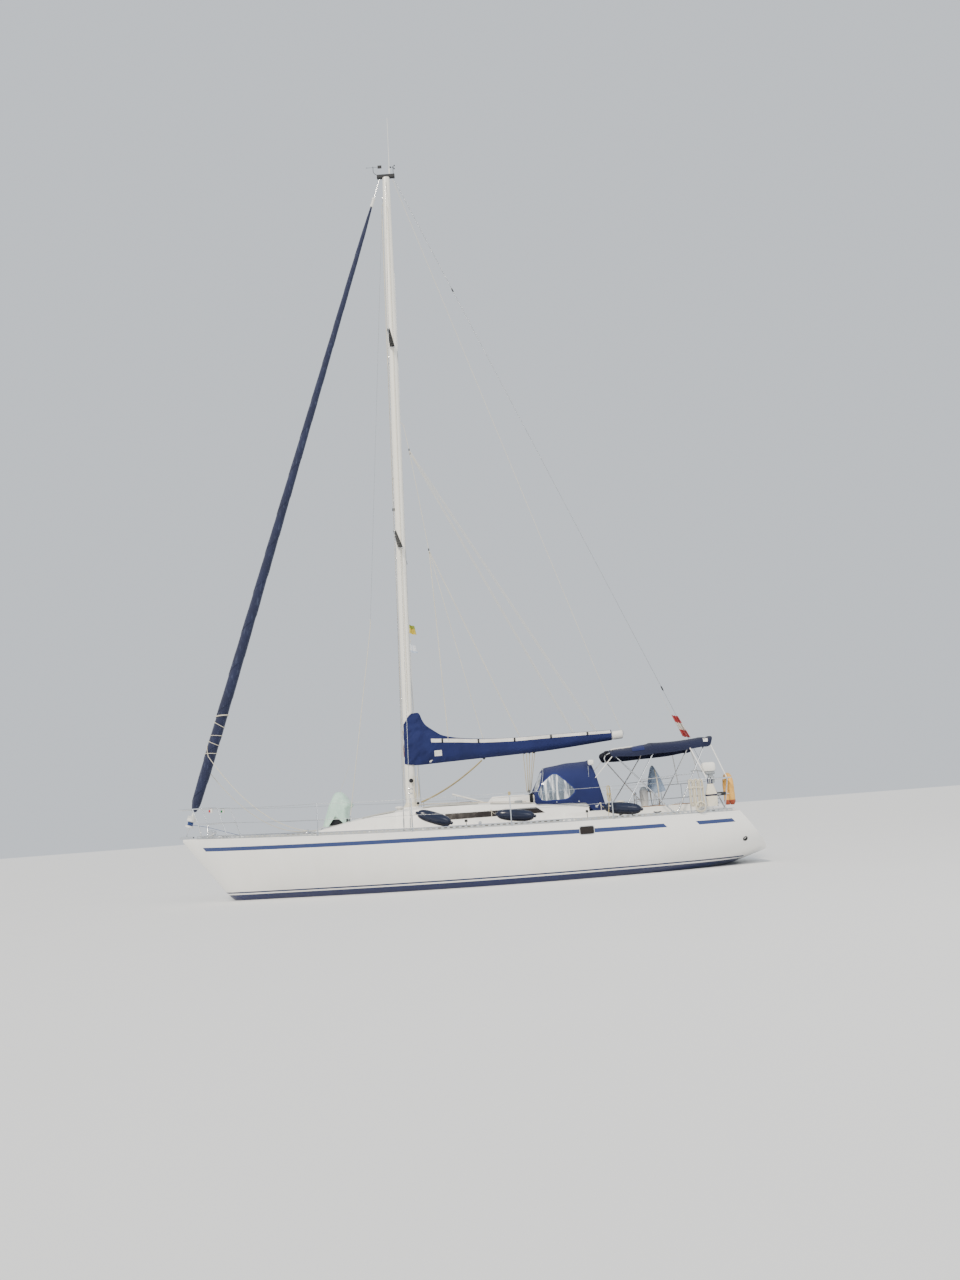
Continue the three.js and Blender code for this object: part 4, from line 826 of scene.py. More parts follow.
# The looks that pieces have: the slot of the frame that it fills, the maker of its material, and the tone
LOOKS = {
    "gelcoat": ("hull_gelcoat", polished_gelcoat),
    "satin": ("deck_gelcoat", satin_gelcoat),
    "grip": ("deck_gelcoat", moulded_grip),
    "teak": ("deck_gelcoat", oiled_teak),
    "antifouling": ("antifouling", antifouling_paint),
    "bronze": ("bronze", cast_bronze),
    "engine": ("engine_paint", engine_enamel),
    "enamel": ("mast_paint", spar_enamel),
    "silver_alloy": ("anodised_alloy", anodised_aluminium, "silver"),
    "black_alloy": ("black_alloy", anodised_aluminium, "black"),
    "steel": ("stainless", polished_stainless),
    "wire": ("stainless", laid_wire),
    "acrylic": ("dark_acrylic", smoked_acrylic),
    "sail": ("navy_canvas", sail_strip),
    "nylon": ("mint_nylon", ripstop_nylon),
    "clear": ("navy_canvas", clear_vinyl),
    "vinyl": ("navy_vinyl", inflated_vinyl),
    "buoy": ("buoy_fabric", buoy_cover),
    "coated": ("cream_vinyl", coated_cloth),
    "paper": (None, studio_paper),
}
for family, slot, maker, tones in (
    ("rope", "rope", braided_rope, ("cream", *ROPES)),
    ("plastic", "white_plastic", moulded_plastic, PLASTICS),
    ("canvas", "navy_canvas", canvas, ("navy", "binding", "shade", "tape", "grey")),
    ("flag", "buoy_fabric", bunting, FLAGS),
):
    LOOKS.update({f"{tone}_{family}": (slot, maker, tone) for tone in tones})
LOOKS["black_plastic"] = ("black_alloy", moulded_plastic, "black")
MADE = {}


def finish(look):
    """The material of a look, made once."""
    if look not in MADE:
        _, maker, *tone = LOOKS[look]
        MADE[look] = maker(*tone)
    return MADE[look]


def camera_at_photograph():
    """The camera stands off the port side near the water and looks up a little, rolled as it was held."""
    pitch, roll = math.radians(10.474), math.radians(4.4)
    ahead = Vector((0, -math.cos(pitch), math.sin(pitch)))
    right = Vector((-1, 0, 0))
    up = Vector((0, math.sin(pitch), math.cos(pitch)))
    across = right * math.cos(roll) - up * math.sin(roll)
    upright = right * math.sin(roll) + up * math.cos(roll)
    turn = Matrix((across, upright, -ahead)).transposed().to_4x4()
    data = bpy.data.cameras.new("camera")
    data.sensor_width = 36
    data.lens = 27.0
    data.clip_end = 500
    camera = bpy.data.objects.new("camera", data)
    camera.matrix_world = Matrix.Translation((0, 20.9, 1.32)) @ turn
    bpy.context.scene.collection.objects.link(camera)
    bpy.context.scene.camera = camera


def lamp(name, kind, place, aim, energy, **settings):
    data = bpy.data.lights.new(name, kind)
    data.energy = energy
    for key, value in settings.items():
        setattr(data, key, value)
    made = bpy.data.objects.new(name, data)
    made.location = place
    made.rotation_euler = (Vector(aim) - Vector(place)).to_track_quat("-Z", "Y").to_euler()
    bpy.context.scene.collection.objects.link(made)


class SetStage(bpy.types.Operator):
    """Adds the camera, the floor at the waterline and the studio light."""

    bl_idname = "sloop.stage"
    bl_label = "Stage"

    def execute(self, context):
        camera_at_photograph()
        reach = 300
        floor = Shape()
        floor.add([(-reach, -reach, 0), (reach, -reach, 0), (reach, reach, 0), (-reach, reach, 0)],
                  [(0, 1, 2, 3)])
        floor.piece("floor", "paper", body=None, outward=False)
        world = bpy.data.worlds.new("studio")
        world.use_nodes = True
        background = world.node_tree.nodes["Background"]
        background.inputs["Color"].default_value = (*linear("#dfe5ec"), 1)
        background.inputs["Strength"].default_value = 1.05
        context.scene.world = world
        lamp("key", "SUN", (9, 18, 22), (0, 0, 4), 3.3, angle=math.radians(12), color=linear("#fff4e2"))
        lamp("fill", "AREA", (-14, 20, 14), (0, 0, 4), 1500, size=12)
        return {"FINISHED"}


def rope_curve(name, path, diameter, tone="cream"):
    """A rope as a curve of one open spline through the points of its path."""
    data = bpy.data.curves.new(name, "CURVE")
    data.dimensions = "3D"
    data.bevel_depth = diameter / 2
    data.bevel_resolution = 3
    data.use_fill_caps = True
    spline = data.splines.new("POLY")
    spline.points.add(len(path) - 1)
    for point, place in zip(spline.points, path):
        point.co = (*place, 1)
    data.materials.append(finish(tone + "_rope"))
    rope = bpy.data.objects.new(name, data)
    bpy.context.scene.collection.objects.link(rope)
    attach(rope, "yacht")
    return rope


def up_forestay(distance):
    low, high = FORESTAY
    return low + (high - low).normalized() * distance


# Genoa sheets: how far up the forestay the sheet leaves the sail, how far the middle of its run hangs
# below a straight line, and its lead block on the side deck
SHEETS = {
    "port": {"clew": 1.75, "droop": 0.335, "block": (3.83, 0.90, 1.33)},
    "starboard": {"clew": 1.46, "droop": 0.445, "block": (3.96, -0.82, 1.33)},
}


class AddGenoaSheets(bpy.types.Operator):
    """Adds the two genoa sheets, which hang in a shallow curve from the rolled sail to their lead blocks."""

    bl_idname = "sloop.genoa_sheets"
    bl_label = "Genoa sheets"

    def execute(self, context):
        stand_off, forward = 0.132, 0.01
        for side, row in SHEETS.items():
            start = up_forestay(row["clew"])
            start.y = SIDES[side] * stand_off
            block = Vector(row["block"])
            middle = (start + block) / 2 + Vector((forward, 0, -2 * row["droop"]))
            path = [start.lerp(middle, t).lerp(middle.lerp(block, t), t) for t in spaced(30, 0, 1)]
            diameter = sizes().sheet_rope
            rope = rope_curve("genoa_sheet_rope_" + side, path, diameter)
            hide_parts("genoa_sheet_" + side)
            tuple(path[0])
            length_of(path)
        return {"FINISHED"}


# Hanks of rope on the rail: x at the middle, y of the first turn, width, top and lowest height,
# how many turns, diameter, tone
HANKS = [
    {"x": -3.940, "y": 1.612, "width": 0.10, "top": 1.766, "low": 1.215, "turns": 3, "diameter": 0.016,
     "tone": "cream"},
    {"x": -4.040, "y": 1.612, "width": 0.10, "top": 1.768, "low": 1.180, "turns": 3, "diameter": 0.016,
     "tone": "cream"},
    {"x": -4.130, "y": 1.612, "width": 0.10, "top": 1.756, "low": 1.205, "turns": 3, "diameter": 0.016,
     "tone": "cream"},
    {"x": -2.275, "y": 1.865, "width": 0.07, "top": 1.762, "low": 1.440, "turns": 2, "diameter": 0.011,
     "tone": "tan", "tail": (-2.235, 1.857, 1.172)},
]


def hank_path(x, y0, width, top, low, turns, diameter):
    """Long loops that hang side by side, in an outer and then an inner layer."""
    path = []
    pitch = diameter * 1.12
    for layer in range(2):
        inset = layer * diameter * 1.25
        radius = width / 2 - diameter / 2 - inset
        high, bottom = top - diameter / 2 - inset - radius, low + diameter / 2 + inset + radius
        loop = [(x - radius, high)]
        loop += [(x - radius * math.cos(a), high + radius * math.sin(a)) for a in spaced(9, 0, math.pi)]
        loop += [(x + radius * math.cos(a), bottom - radius * math.sin(a)) for a in spaced(9, 0, math.pi)]
        loop += [(x - radius, between(bottom, high, t)) for t in spaced(6, 0.15, 0.9)]
        for turn in range(turns):
            for i, (px, pz) in enumerate(loop):
                step = turn + i / len(loop)
                y = y0 + diameter / 2 + pitch * (step if layer == 0 else turns - step)
                path.append(Vector((px, y, pz)))
    return evenly(path, len(path))


class AddMooringRopes(bpy.types.Operator):
    """Adds the hanks of mooring rope that hang outside the stern rail, each tied near its top."""

    bl_idname = "sloop.mooring_ropes"
    bl_label = "Mooring ropes"

    def execute(self, context):
        for number, row in enumerate(HANKS):
            diameter = row["diameter"]
            path = hank_path(row["x"], row["y"], row["width"], row["top"], row["low"], row["turns"], diameter)
            if "tail" in row:
                path = [*evenly([row["tail"], path[0]], 12)[:-1], *path]
            name = "mooring_rope_" + "abcd"[number]
            rope = rope_curve(name, path, diameter, row["tone"])
            tie = Shape()
            ys = [row["y"] - 0.006, row["y"] + diameter * (1.12 * row["turns"] + 1) + 0.004]
            for turn in range(3):
                z = row["top"] - 0.16 - 0.013 * turn
                reach = row["width"] / 2 + 0.005
                around = rounded_box(row["x"] - reach, row["x"] + reach, *ys, 0.02, 5)
                tie.tube([(x, y, z) for x, y in [*around, around[0]]], 0.0055, 8)
            lashing = tie.piece(name + "_tie", row["tone"] + "_rope")
            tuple(path[0])
            length_of(path)
            if number == 0:
                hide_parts("coiled_ropes")
        self.add_coil()
        self.add_knot()
        return {"FINISHED"}

    def add_coil(self):
        """A round coil that hangs low in front of the hanks."""
        diameter, turns, radius = 0.016, 4, 0.098
        middle = Vector((-4.085, 1.664, 1.215))
        path = []
        for t in spaced(24 * turns + 1, 0, turns):
            size = radius - 0.006 * math.sin(t * 2.3) - diameter * 0.5 * (t > turns / 2)
            a = math.tau * t
            path.append(middle + Vector((size * math.cos(a), diameter * 0.55 * t, size * 1.05 * math.sin(a))))
        coil = rope_curve("mooring_rope_coil", path, diameter, "cream")
        length_of(path)

    def add_knot(self):
        """A short lashing wound round the head of a stanchion."""
        x = STANCHION_XS[2]
        y = stanchion_y(x)
        top = deck_top(x, y) + LIFELINE
        knot = Shape()
        for turn in range(5):
            z = top - 0.012 * turn + 0.004
            ring = [(x + 0.021 * math.cos(a), y + 0.021 * math.sin(a), z + 0.006 * math.sin(a + turn))
                    for a in spaced(17, 0, math.tau)]
            knot.tube(ring, 0.007, 8, caps=False)
        knot.piece("stanchion_lashing", "tan_rope")


def hull_section(x, angle):
    """The breadth and height of the hull at x, from the starboard edge (-90 degrees) to the port edge."""
    half, sheer, keel, full = (column(STATIONS, number, x) for number in (HALF, SHEER, KEEL_LINE, FULL))
    top = sheer - DECK_EDGE
    y = half * power(math.sin(angle), 2 / full)
    return y, top - (top - keel) * abs(math.cos(angle)) ** (2 / full)


def hull_rings():
    """Rings from stem to transom; aft of the cockpit they lean over until the last lies in the transom."""
    angles = spaced(61, -math.pi / 2, math.pi / 2)
    stem, run_aft = 6.66, -4.0
    rings = []
    for x in [*spaced(10, stem, 6.3), *spaced(70, 6.25, run_aft)]:
        rings.append([(x, *hull_section(x, angle)) for angle in angles])
    for share in spaced(13, 0, 1)[1:]:
        ring = []
        for angle in angles:
            x = between(run_aft, TRANSOM["tip_x"], share)
            for _ in range(5):
                y, z = hull_section(x, angle)
                x = between(run_aft, transom_x(z), share)
            ring.append((x, y, z))
        rings.append(ring)
    return rings


KEEL_STUB = {"nose": 1.35, "tail": -1.15, "thick": 0.30, "top": -0.30, "foot": -0.64}
PORTLIGHT = (-1.92, -1.65, 0.86, 1.005)  # x of its ends, then height of its foot and top
# Outlets: y, height and bore radius on the transom; x, height and bore radius on the port side
TRANSOM_OUTLETS = [(0.95, 0.50, 0.045), (0.55, 0.45, 0.03), (-0.6, 0.45, 0.025)]
SIDE_OUTLET = (-4.96, 0.53, 0.045)
LADDER = {"ys": (-0.62, -0.98), "low": 0.44, "high": 1.02, "proud": 0.05}


class AddHull(bpy.types.Operator):
    """Adds the hull's skin with its stripe and boot top, the transom, the hull portlights and the exhaust."""

    bl_idname = "sloop.hull"
    bl_label = "Hull"

    def execute(self, context):
        rings = hull_rings()
        skin = Shape().loft(rings, closed=False)
        for end in (rings[-1], rings[0]):
            skin.add(end, [tuple(range(len(end)))])
        stub = foil(KEEL_STUB["nose"], KEEL_STUB["tail"], KEEL_STUB["thick"])
        skin.loft([[(x, y, z) for x, y in stub] for z in (KEEL_STUB["top"], KEEL_STUB["foot"])])
        hull = skin.piece("hull_skin", "gelcoat", replaces=["hull"], sharp=50)
        band = hull.data.attributes.new("stripe", "FLOAT", "POINT")
        for vertex, value in zip(hull.data.vertices, band.data):
            x, _, z = vertex.co
            high, low = (column(STRIPE, number, x) for number in (1, 2))
            value.value = (z - low) / (high - low)
        self.add_portlights()
        self.add_transom_gear()
        return {"FINISHED"}

    def add_portlights(self):
        """A small dark window in each side, in a thin frame, that interrupts the stripe."""
        aft, fore, low, high = PORTLIGHT
        glass, rim = Shape(), Shape()
        for side in SIDES.values():
            for shape, grow, proud in ((glass, 0, 0.006), (rim, 0.014, 0.004)):
                outline = rounded_box(aft - grow, fore + grow, low - grow, high + grow, 0.03 + grow, 5)
                shape.loft([[(x, side * (hull_breadth(x, z) + out), z) for x, z in outline]
                            for out in (-0.01, proud)])
        rim.piece("portlight_rims", "silver_alloy")
        glass.piece("portlights", "acrylic")

    def add_transom_gear(self):
        """Exhaust and drain outlets, the stern light and the bathing ladder folded up on the transom."""
        lean = Vector((TRANSOM["top_x"] - TRANSOM["tip_x"], 0,
                       TRANSOM["top_z"] - TRANSOM["tip_z"])).normalized()
        out = Vector((-lean.z, 0, lean.x))
        on = lambda y, z, proud=0.0: Vector((transom_x(z), y, z)) + out * proud
        outlets = Shape()
        x, z, radius = SIDE_OUTLET
        at_side = (x, hull_breadth(x, z) - 0.008, z)
        rows = [(on(y, z, -0.002), out, radius) for y, z, radius in TRANSOM_OUTLETS]
        for foot, along, radius in [*rows, (at_side, (-0.1, 1, -0.25), radius)]:
            outlets.lathe([(radius * wide, high) for wide, high in TURNED["outlet"]], foot, along)
        outlets.piece("outlets", "black_plastic")
        ladder = Shape()
        low, high, proud, ys = LADDER["low"], LADDER["high"], LADDER["proud"], LADDER["ys"]
        for y in ys:
            rail = [on(y, low), on(y, low, proud), on(y, high, proud), on(y, high)]
            ladder.tube(rounded_path(rail, 0.04), TUBE, 12)
        for z in spaced(4, low + 0.08, high - 0.08):
            ladder.tube([on(y, z, proud) for y in ys], 0.014, 12)
        ladder.piece("bathing_ladder", "steel")
        step = Shape().plate(rounded_box(-0.55, 0.55, 0, 0.30, 0.05, 5), "z", 0, 0.012)
        turn = Matrix(((0, lean.x, out.x), (1, 0, 0), (0, lean.z, out.z))).to_4x4()
        step.moved(Matrix.Translation(on(0, 0.33, 0.001)) @ turn)
        step.piece("transom_step", "teak")


def hull_breadth(x, z):
    """Half breadth of the hull at x and a height between its keel line and the deck edge."""
    half, sheer, keel, full = (column(STATIONS, number, x) for number in (HALF, SHEER, KEEL_LINE, FULL))
    top = sheer - DECK_EDGE
    return half * (1 - ((top - z) / (top - keel)) ** full) ** (1 / full)


def foil(nose, tail, thick):
    """A foil's outline from nose to tail and back."""
    one_side = [(between(nose, tail, t), thick * 1.3 * math.sqrt(t) * (1 - t) + 0.006)
                for t in spaced(17, 0, 1)]
    return [*one_side, *[(x, -y) for x, y in reversed(one_side)]]


# The keel from its root to its foot: height, then x of nose and tail and the measure of its thickness
KEEL = {"z": (-0.6404, -2.0), "nose": (1.25, 0.8), "tail": (-1.05, -0.9), "thick": (0.28, 0.24)}
UNDERWATER = {
    "rudder": "antifouling",
    "propeller": "bronze",
    "propeller_strut": "bronze",
    "engine_block": "engine",
}


class AddUnderbody(bpy.types.Operator):
    """Adds the smooth keel and gives the rudder and the propeller gear their finishes."""

    bl_idname = "sloop.underbody"
    bl_label = "Keel, rudder and propeller"

    def execute(self, context):
        rings = []
        for share in spaced(12, 0, 1):
            z, *section = (between(*ends, share) for ends in KEEL.values())
            rings.append([(x, y, z) for x, y in foil(*section)])
        keel = Shape().loft(rings)
        keel.piece("fin_keel", "antifouling", replaces=["keel"], sharp=50)
        for name, look in UNDERWATER.items():
            finish_node(name, look)
        return {"FINISHED"}


def finish_node(name, look, sharp=35):
    """Gives a node of the frame its finish and smooth shading."""
    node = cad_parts[name]
    node.data.materials.clear()
    node.data.materials.append(finish(look))
    node.data.polygons.foreach_set("material_index", [0] * len(node.data.polygons))
    shade(node.data, sharp)


class AddCockpit(bpy.types.Operator):
    """Adds the cockpit tub with teak seats and sole, and the lined companionway with its steps."""

    bl_idname = "sloop.cockpit"
    bl_label = "Cockpit"

    def execute(self, context):
        c = COCKPIT
        rim, round_edge = COCKPIT_RIM, 0.03
        seats = (c["back"], c["front"], -c["seat_half"], c["seat_half"])
        well = (c["well_back"], c["front"] - 0.002, -c["well_half"], c["well_half"])

        def level(area, inset, corner, z):
            x0, x1, y0, y1 = area
            return level_box(z, x0 + inset, x1 - inset, y0 + inset, y1 - inset, corner, 5)

        rings = [
            level(seats, 0, 0.04, rim),
            level(seats, 0, 0.04, c["seat_z"] + round_edge),
            level(seats, round_edge * 0.3, 0.04, c["seat_z"] + round_edge * 0.3),
            level(seats, round_edge, 0.04, c["seat_z"]),
            level(well, -0.02, 0.07, c["seat_z"]),
            level(well, 0, 0.06, c["seat_z"] - 0.02),
            level(well, 0.015, 0.06, c["well_z"] + 0.03),
            level(well, 0.045, 0.05, c["well_z"]),
        ]
        tub = Shape().loft(rings, caps=False)
        tub.add(rings[-1], [tuple(range(len(rings[-1])))])
        tub.piece("cockpit_tub", "satin", outward=False)
        self.add_teak()
        self.add_companionway()
        return {"FINISHED"}

    def add_teak(self):
        """Narrow teak slats along the seats and a slatted grating on the sole."""
        c = COCKPIT
        slats = Shape()
        wide, pitch = 0.045, 0.051
        count = int((c["seat_half"] - c["well_half"] - 0.08) / pitch)
        for side in SIDES.values():
            for i in range(count):
                y = c["well_half"] + 0.045 + i * pitch
                low, high = sorted((side * y, side * (y + wide)))
                slats.block((c["back"] + 0.08, low, c["seat_z"] + 0.001),
                            (c["front"] - 0.08, high, c["seat_z"] + 0.011), 0.003)
        across = int(2 * (c["well_half"] - 0.07) / pitch)
        for i in range(across):
            y = -c["well_half"] + 0.07 + i * pitch
            slats.block((c["well_back"] + 0.10, y, c["well_z"] + 0.001),
                        (c["front"] - 0.08, y + wide, c["well_z"] + 0.018), 0.003)
        slats.piece("teak_slats", "teak")

    def add_companionway(self):
        """The way below: a lined well, with three teak steps over the engine."""
        w = WAY_DOWN
        walls = [level_box(z, w["back"], w["front"], -w["half"], w["half"], 0.02, 3)
                 for z in (COCKPIT_RIM, w["floor"])]
        lining = Shape().loft(walls, caps=False)
        lining.add(walls[-1], [tuple(range(len(walls[-1])))])
        lining.piece("companionway_lining", "teak", outward=False)
        steps = Shape()
        for i, z in enumerate(spaced(3, 0.42, 0.86)):
            x = w["back"] + 0.10 + 0.05 * i
            steps.block((x - 0.06, -0.2, z), (x + 0.16 - 0.04 * i, 0.2, z + 0.028), 0.008)
        for y in (-0.215, 0.2):
            steps.block((w["back"] + 0.02, y, 0.33), (w["back"] + 0.20, y + 0.015, 1.0), 0.005)
        steps.piece("companionway_steps", "teak")


# Grip panels: x of the fore and aft end, distance of the inner edge from the centreline, and the place.
# With no distance the panel starts beside the coachroof.
GRIP_PANELS = [
    (3.60, 2.55, None, "deck"),
    (2.49, 1.45, None, "deck"),
    (1.39, 0.05, None, "deck"),
    (-0.01, -1.35, None, "deck"),
    (5.25, 4.65, 0.04, "deck"),
    (4.59, 3.95, 0.04, "deck"),
    (-1.60, -3.70, 1.24, "deck"),
    (2.75, 2.05, 0.05, "roof"),
    (1.45, 0.30, 0.42, "roof"),
    (0.05, -0.80, 0.46, "roof"),
]
# Where the panels lie: table and column of the outer edge, margin inside it, surface and rows of points
GRIP_PLACES = {
    "deck": (STATIONS, HALF, 0.10, deck_top, 9),
    "roof": (ROOF, TOP, 0.09, roof_top, 7),
}
GRIP_LIFT, GRIP_CORNER, ROOF_MARGIN = 0.004, 0.03, 0.07
SALOON_HATCH = {"aft": 0.42, "fore": 0.94, "half": 0.26, "rim": 0.025, "high": 0.030, "lens": 0.017}
# The frame of the fore hatch in two steps: how far it stands out of its opening, its foot and its top
FORE_HATCH_STEPS = [(0.022, 1.40, 1.5155), (0.012, 1.5155, 1.5185)]
# The mast's collar: height, half length and half width
MAST_COLLAR = [
    (1.62, 0.170, 0.126),
    (1.663, 0.165, 0.122),
    (1.69, 0.150, 0.110),
    (1.73, 0.119, 0.084),
    (1.76, 0.112, 0.077),
]
VENTS = [(1.98, 0.30), (1.98, -0.30), (-0.95, 0.62), (-0.95, -0.62)]
# Genoa tracks: x of the two ends, and the distance in from the deck's edge
GENOA_TRACKS = [(1.15, -1.35, 0.30), (3.55, 4.35, 0.42)]
TRACK = {"half": 0.016, "high": 0.018}
TRAVELLER = {"top": 1.742, "back": -0.835, "front": -0.795, "half": 0.62, "foot_y": 0.58}


class AddDeck(bpy.types.Operator):
    """Adds the grip panels, hatches, vents, tracks and lines of the deck."""

    bl_idname = "sloop.deck"
    bl_label = "Deck"

    def execute(self, context):
        finish_node("deck", "satin", sharp=30)
        for name in ("window_port", "window_starboard", "washboard", "fore_hatch"):
            finish_node(name, "acrylic")
        for name in ("hatch_garage", "sliding_hatch"):
            finish_node(name, "satin")
        self.add_grip()
        self.add_roof_gear()
        self.add_tracks()
        self.add_lines_aft()
        self.add_coamings()
        return {"FINISHED"}

    def add_grip(self):
        """Moulded grip panels on the side decks, foredeck and coachroof, split by smooth waterways."""
        panels = Shape()
        for side in SIDES.values():
            for fore, aft, start, place in GRIP_PANELS:
                rings = []
                outline, number, margin, height, count = GRIP_PLACES[place]
                for i, x in enumerate(spaced(count, fore, aft)):
                    cut = GRIP_CORNER if i in (0, count - 1) else 0
                    inner = column(ROOF, BASE, x) + ROOF_MARGIN if start is None else start
                    outer = column(outline, number, x) - margin
                    ys = spaced(7, inner + cut, outer - cut)
                    rings.append([(x, side * y, height(x, y) + GRIP_LIFT) for y in ys])
                panels.loft(rings, closed=False)
        panels.piece("grip_panels", "grip", sharp=60)

    def add_roof_gear(self):
        """The saloon hatch, the mast collar and mushroom vents."""
        frame_shape, lens = Shape(), Shape()
        hatch = SALOON_HATCH
        x0, x1, half, rim = hatch["aft"], hatch["fore"], hatch["half"], hatch["rim"]
        z = roof_top((x0 + x1) / 2, 0.0) - 0.012
        frame_shape.plate(rounded_box(x0, x1, -half, half, 0.05, 5), "z", z, z + hatch["high"])
        pane = rounded_box(x0 + rim, x1 - rim, -half + rim, half - rim, 0.04, 5)
        lens.plate(pane, "z", z + 0.02, z + 0.02 + hatch["lens"])
        frame_shape.piece("saloon_hatch_frame", "silver_alloy")
        lens.piece("saloon_hatch", "acrylic")
        surround = Shape()
        for corner, z0, z1 in FORE_HATCH_STEPS:
            outside = rounded_box(3.098, 3.52 + corner, -0.205 - corner, 0.205 + corner, 0.03, 4)
            inside = rounded_box(3.128, 3.492, -0.177, 0.177, 0.02, 4)
            corners = ((outside, z0), (outside, z1), (inside, z1), (inside, z0))
            surround.loft([[(x, y, z) for x, y in outline] for outline, z in corners], caps=False)
        surround.piece("fore_hatch_frame", "black_alloy", sharp=30)
        rings = [oval(MAST["deck_x"], 0, *row) for row in MAST_COLLAR]
        Shape().loft(rings).piece("mast_collar", "coated", slot="white_plastic")
        vents = Shape()
        for x, y in VENTS:
            vents.lathe(TURNED["vent"], (x, y, roof_top(x, y) - 0.004))
        vents.piece("vents", "white_plastic")

    def add_tracks(self):
        """Genoa tracks with their cars on the side decks, and the mainsheet track across the roof."""
        tracks, cars = Shape(), Shape()
        for side in SIDES.values():
            for fore, aft, in_from_rail in GENOA_TRACKS:
                y_at = lambda x: side * (column(STATIONS, HALF, x) - in_from_rail)
                rings = []
                for x in spaced(11, fore, aft):
                    y, z = y_at(x), deck_top(x, y_at(x))
                    y0, y1, top = y - TRACK["half"], y + TRACK["half"], z + TRACK["high"]
                    rings.append([(x, y0, z), (x, y1, z), (x, y1, top), (x, y0, top)])
                tracks.loft(rings)
                x = between(fore, aft, 0.35)
                y, z = y_at(x), deck_top(x, y_at(x))
                cars.block((x - 0.06, y - 0.026, z + 0.006), (x + 0.06, y + 0.026, z + 0.034), 0.008)
                cars.lathe(TURNED["car_sheave"], (x, y - 0.011, z + 0.065), (0, 1, 0), 20)
        z, half = TRAVELLER["top"], TRAVELLER["half"]
        tracks.block((TRAVELLER["back"], -half, z - 0.028), (TRAVELLER["front"], half, z), 0.006)
        for y in (-TRAVELLER["foot_y"], TRAVELLER["foot_y"]):
            tracks.block((-0.85, y - 0.03, roof_top(-0.85, y) - 0.01), (-0.78, y + 0.03, z - 0.02), 0.006)
        cars.block((-0.86, -0.05, z - 0.008), (-0.77, 0.05, z + 0.03), 0.01)
        tracks.piece("deck_tracks", "black_alloy")
        cars.piece("track_cars", "steel")

    def add_lines_aft(self):
        """Halyards and reefing lines from the mast foot over the roof to clutches by the companionway."""
        clutches, winches = Shape(), Shape()
        tones = ["cream", "blue", "red", "cream"]
        by_tone = {}
        for side in SIDES.values():
            for i in range(4):
                y_foot, y_aft = side * (0.16 + 0.03 * i), side * (0.47 + 0.045 * i)
                route = smooth_path([(1.66, y_foot, 1.69), (1.30, between(y_foot, y_aft, 0.75), 1.695),
                                     (0.60, y_aft, roof_top(0.6, abs(y_aft)) + 0.022),
                                     (-0.70, y_aft, roof_top(-0.7, abs(y_aft)) + 0.022)], 26)
                by_tone.setdefault(tones[i], Shape()).tube(route, sizes().line_rope / 2, 8)
            y0, y1 = sorted((side * 0.44, side * 0.64))
            clutches.block((-0.62, y0, roof_top(-0.55, 0.55) - 0.01),
                           (-0.46, y1, roof_top(-0.55, 0.55) + 0.05), 0.012)
            winches.join(winch_form((-0.98, side * 0.50, roof_top(-0.98, 0.5) - 0.003), 0.75))
        for tone, shape in by_tone.items():
            shape.piece("deck_lines_" + tone, tone + "_rope")
        clutches.piece("rope_clutches", "grey_plastic", slot="black_alloy")
        winches.piece("roof_winches", "steel", sharp=30)

    def add_coamings(self):
        """Teak caps along the coamings and cleats beside the cockpit."""
        caps, cleats = Shape(), Shape()
        for side in SIDES.values():
            rings = []
            for x in spaced(15, -3.05, -4.30):
                outer = between(1.190, 1.110, (x + 1.45) / -2.85) - 0.012
                inner = COCKPIT["seat_half"] + 0.012
                rings.append([(x, side * inner, COAMING_Z + 0.001), (x, side * outer, COAMING_Z + 0.001),
                              (x, side * outer, COAMING_Z + 0.017), (x, side * inner, COAMING_Z + 0.017)])
            caps.loft(rings)
            cleats.join(cleat_form((-3.27, side * 1.38, deck_top(-3.27, 1.38)), 0.16))
        caps.piece("coaming_caps", "teak")
        cleats.piece("cockpit_cleats", "black_alloy")


def cleat_form(foot, long):
    """A horn cleat along X, standing on its foot."""
    x, y, z = foot
    form = Shape()
    half = long / 2
    for way in (-1, 1):
        form.tube([(x + way * half * 0.35, y, z - 0.003), (x + way * half * 0.28, y, z + 0.03)],
                  [0.020, 0.013], 12)
    path = [(x - half, y, z + 0.048), (x - half * 0.5, y, z + 0.038), (x, y, z + 0.034),
            (x + half * 0.5, y, z + 0.038), (x + half, y, z + 0.048)]
    form.tube(smooth_path(path, 17), [0.006, *[0.0125] * 15, 0.006], 10)
    return form


def winch_form(foot, scale):
    """A self-tailing winch: base, waisted drum with its ribs, tailing jaws and the socket on top."""
    return Shape().lathe([(r * scale, h * scale) for r, h in TURNED["winch"]], foot, sides=32)


# Blocks on the toe rail: x, length and height above the rail
RAIL_BLOCKS = [(0.54, 0.06, 0.11), (-1.82, 0.05, 0.14), (-2.46, 0.035, 0.035), (-2.70, 0.035, 0.035)]
# Lifelines: share of the stanchions' height, where they leave the pulpit, and their height at the stern rail
LIFELINES = [
    (1.0, (PULPIT["aft_x"] - 0.02, 0.505, PULPIT["aft_z"] - 0.02), 1.735),
    (0.5, (5.67, 0.53, 1.63), PUSHPIT["low_z"]),
]
MOORING_CLEATS = [5.65, -4.35, -0.6]


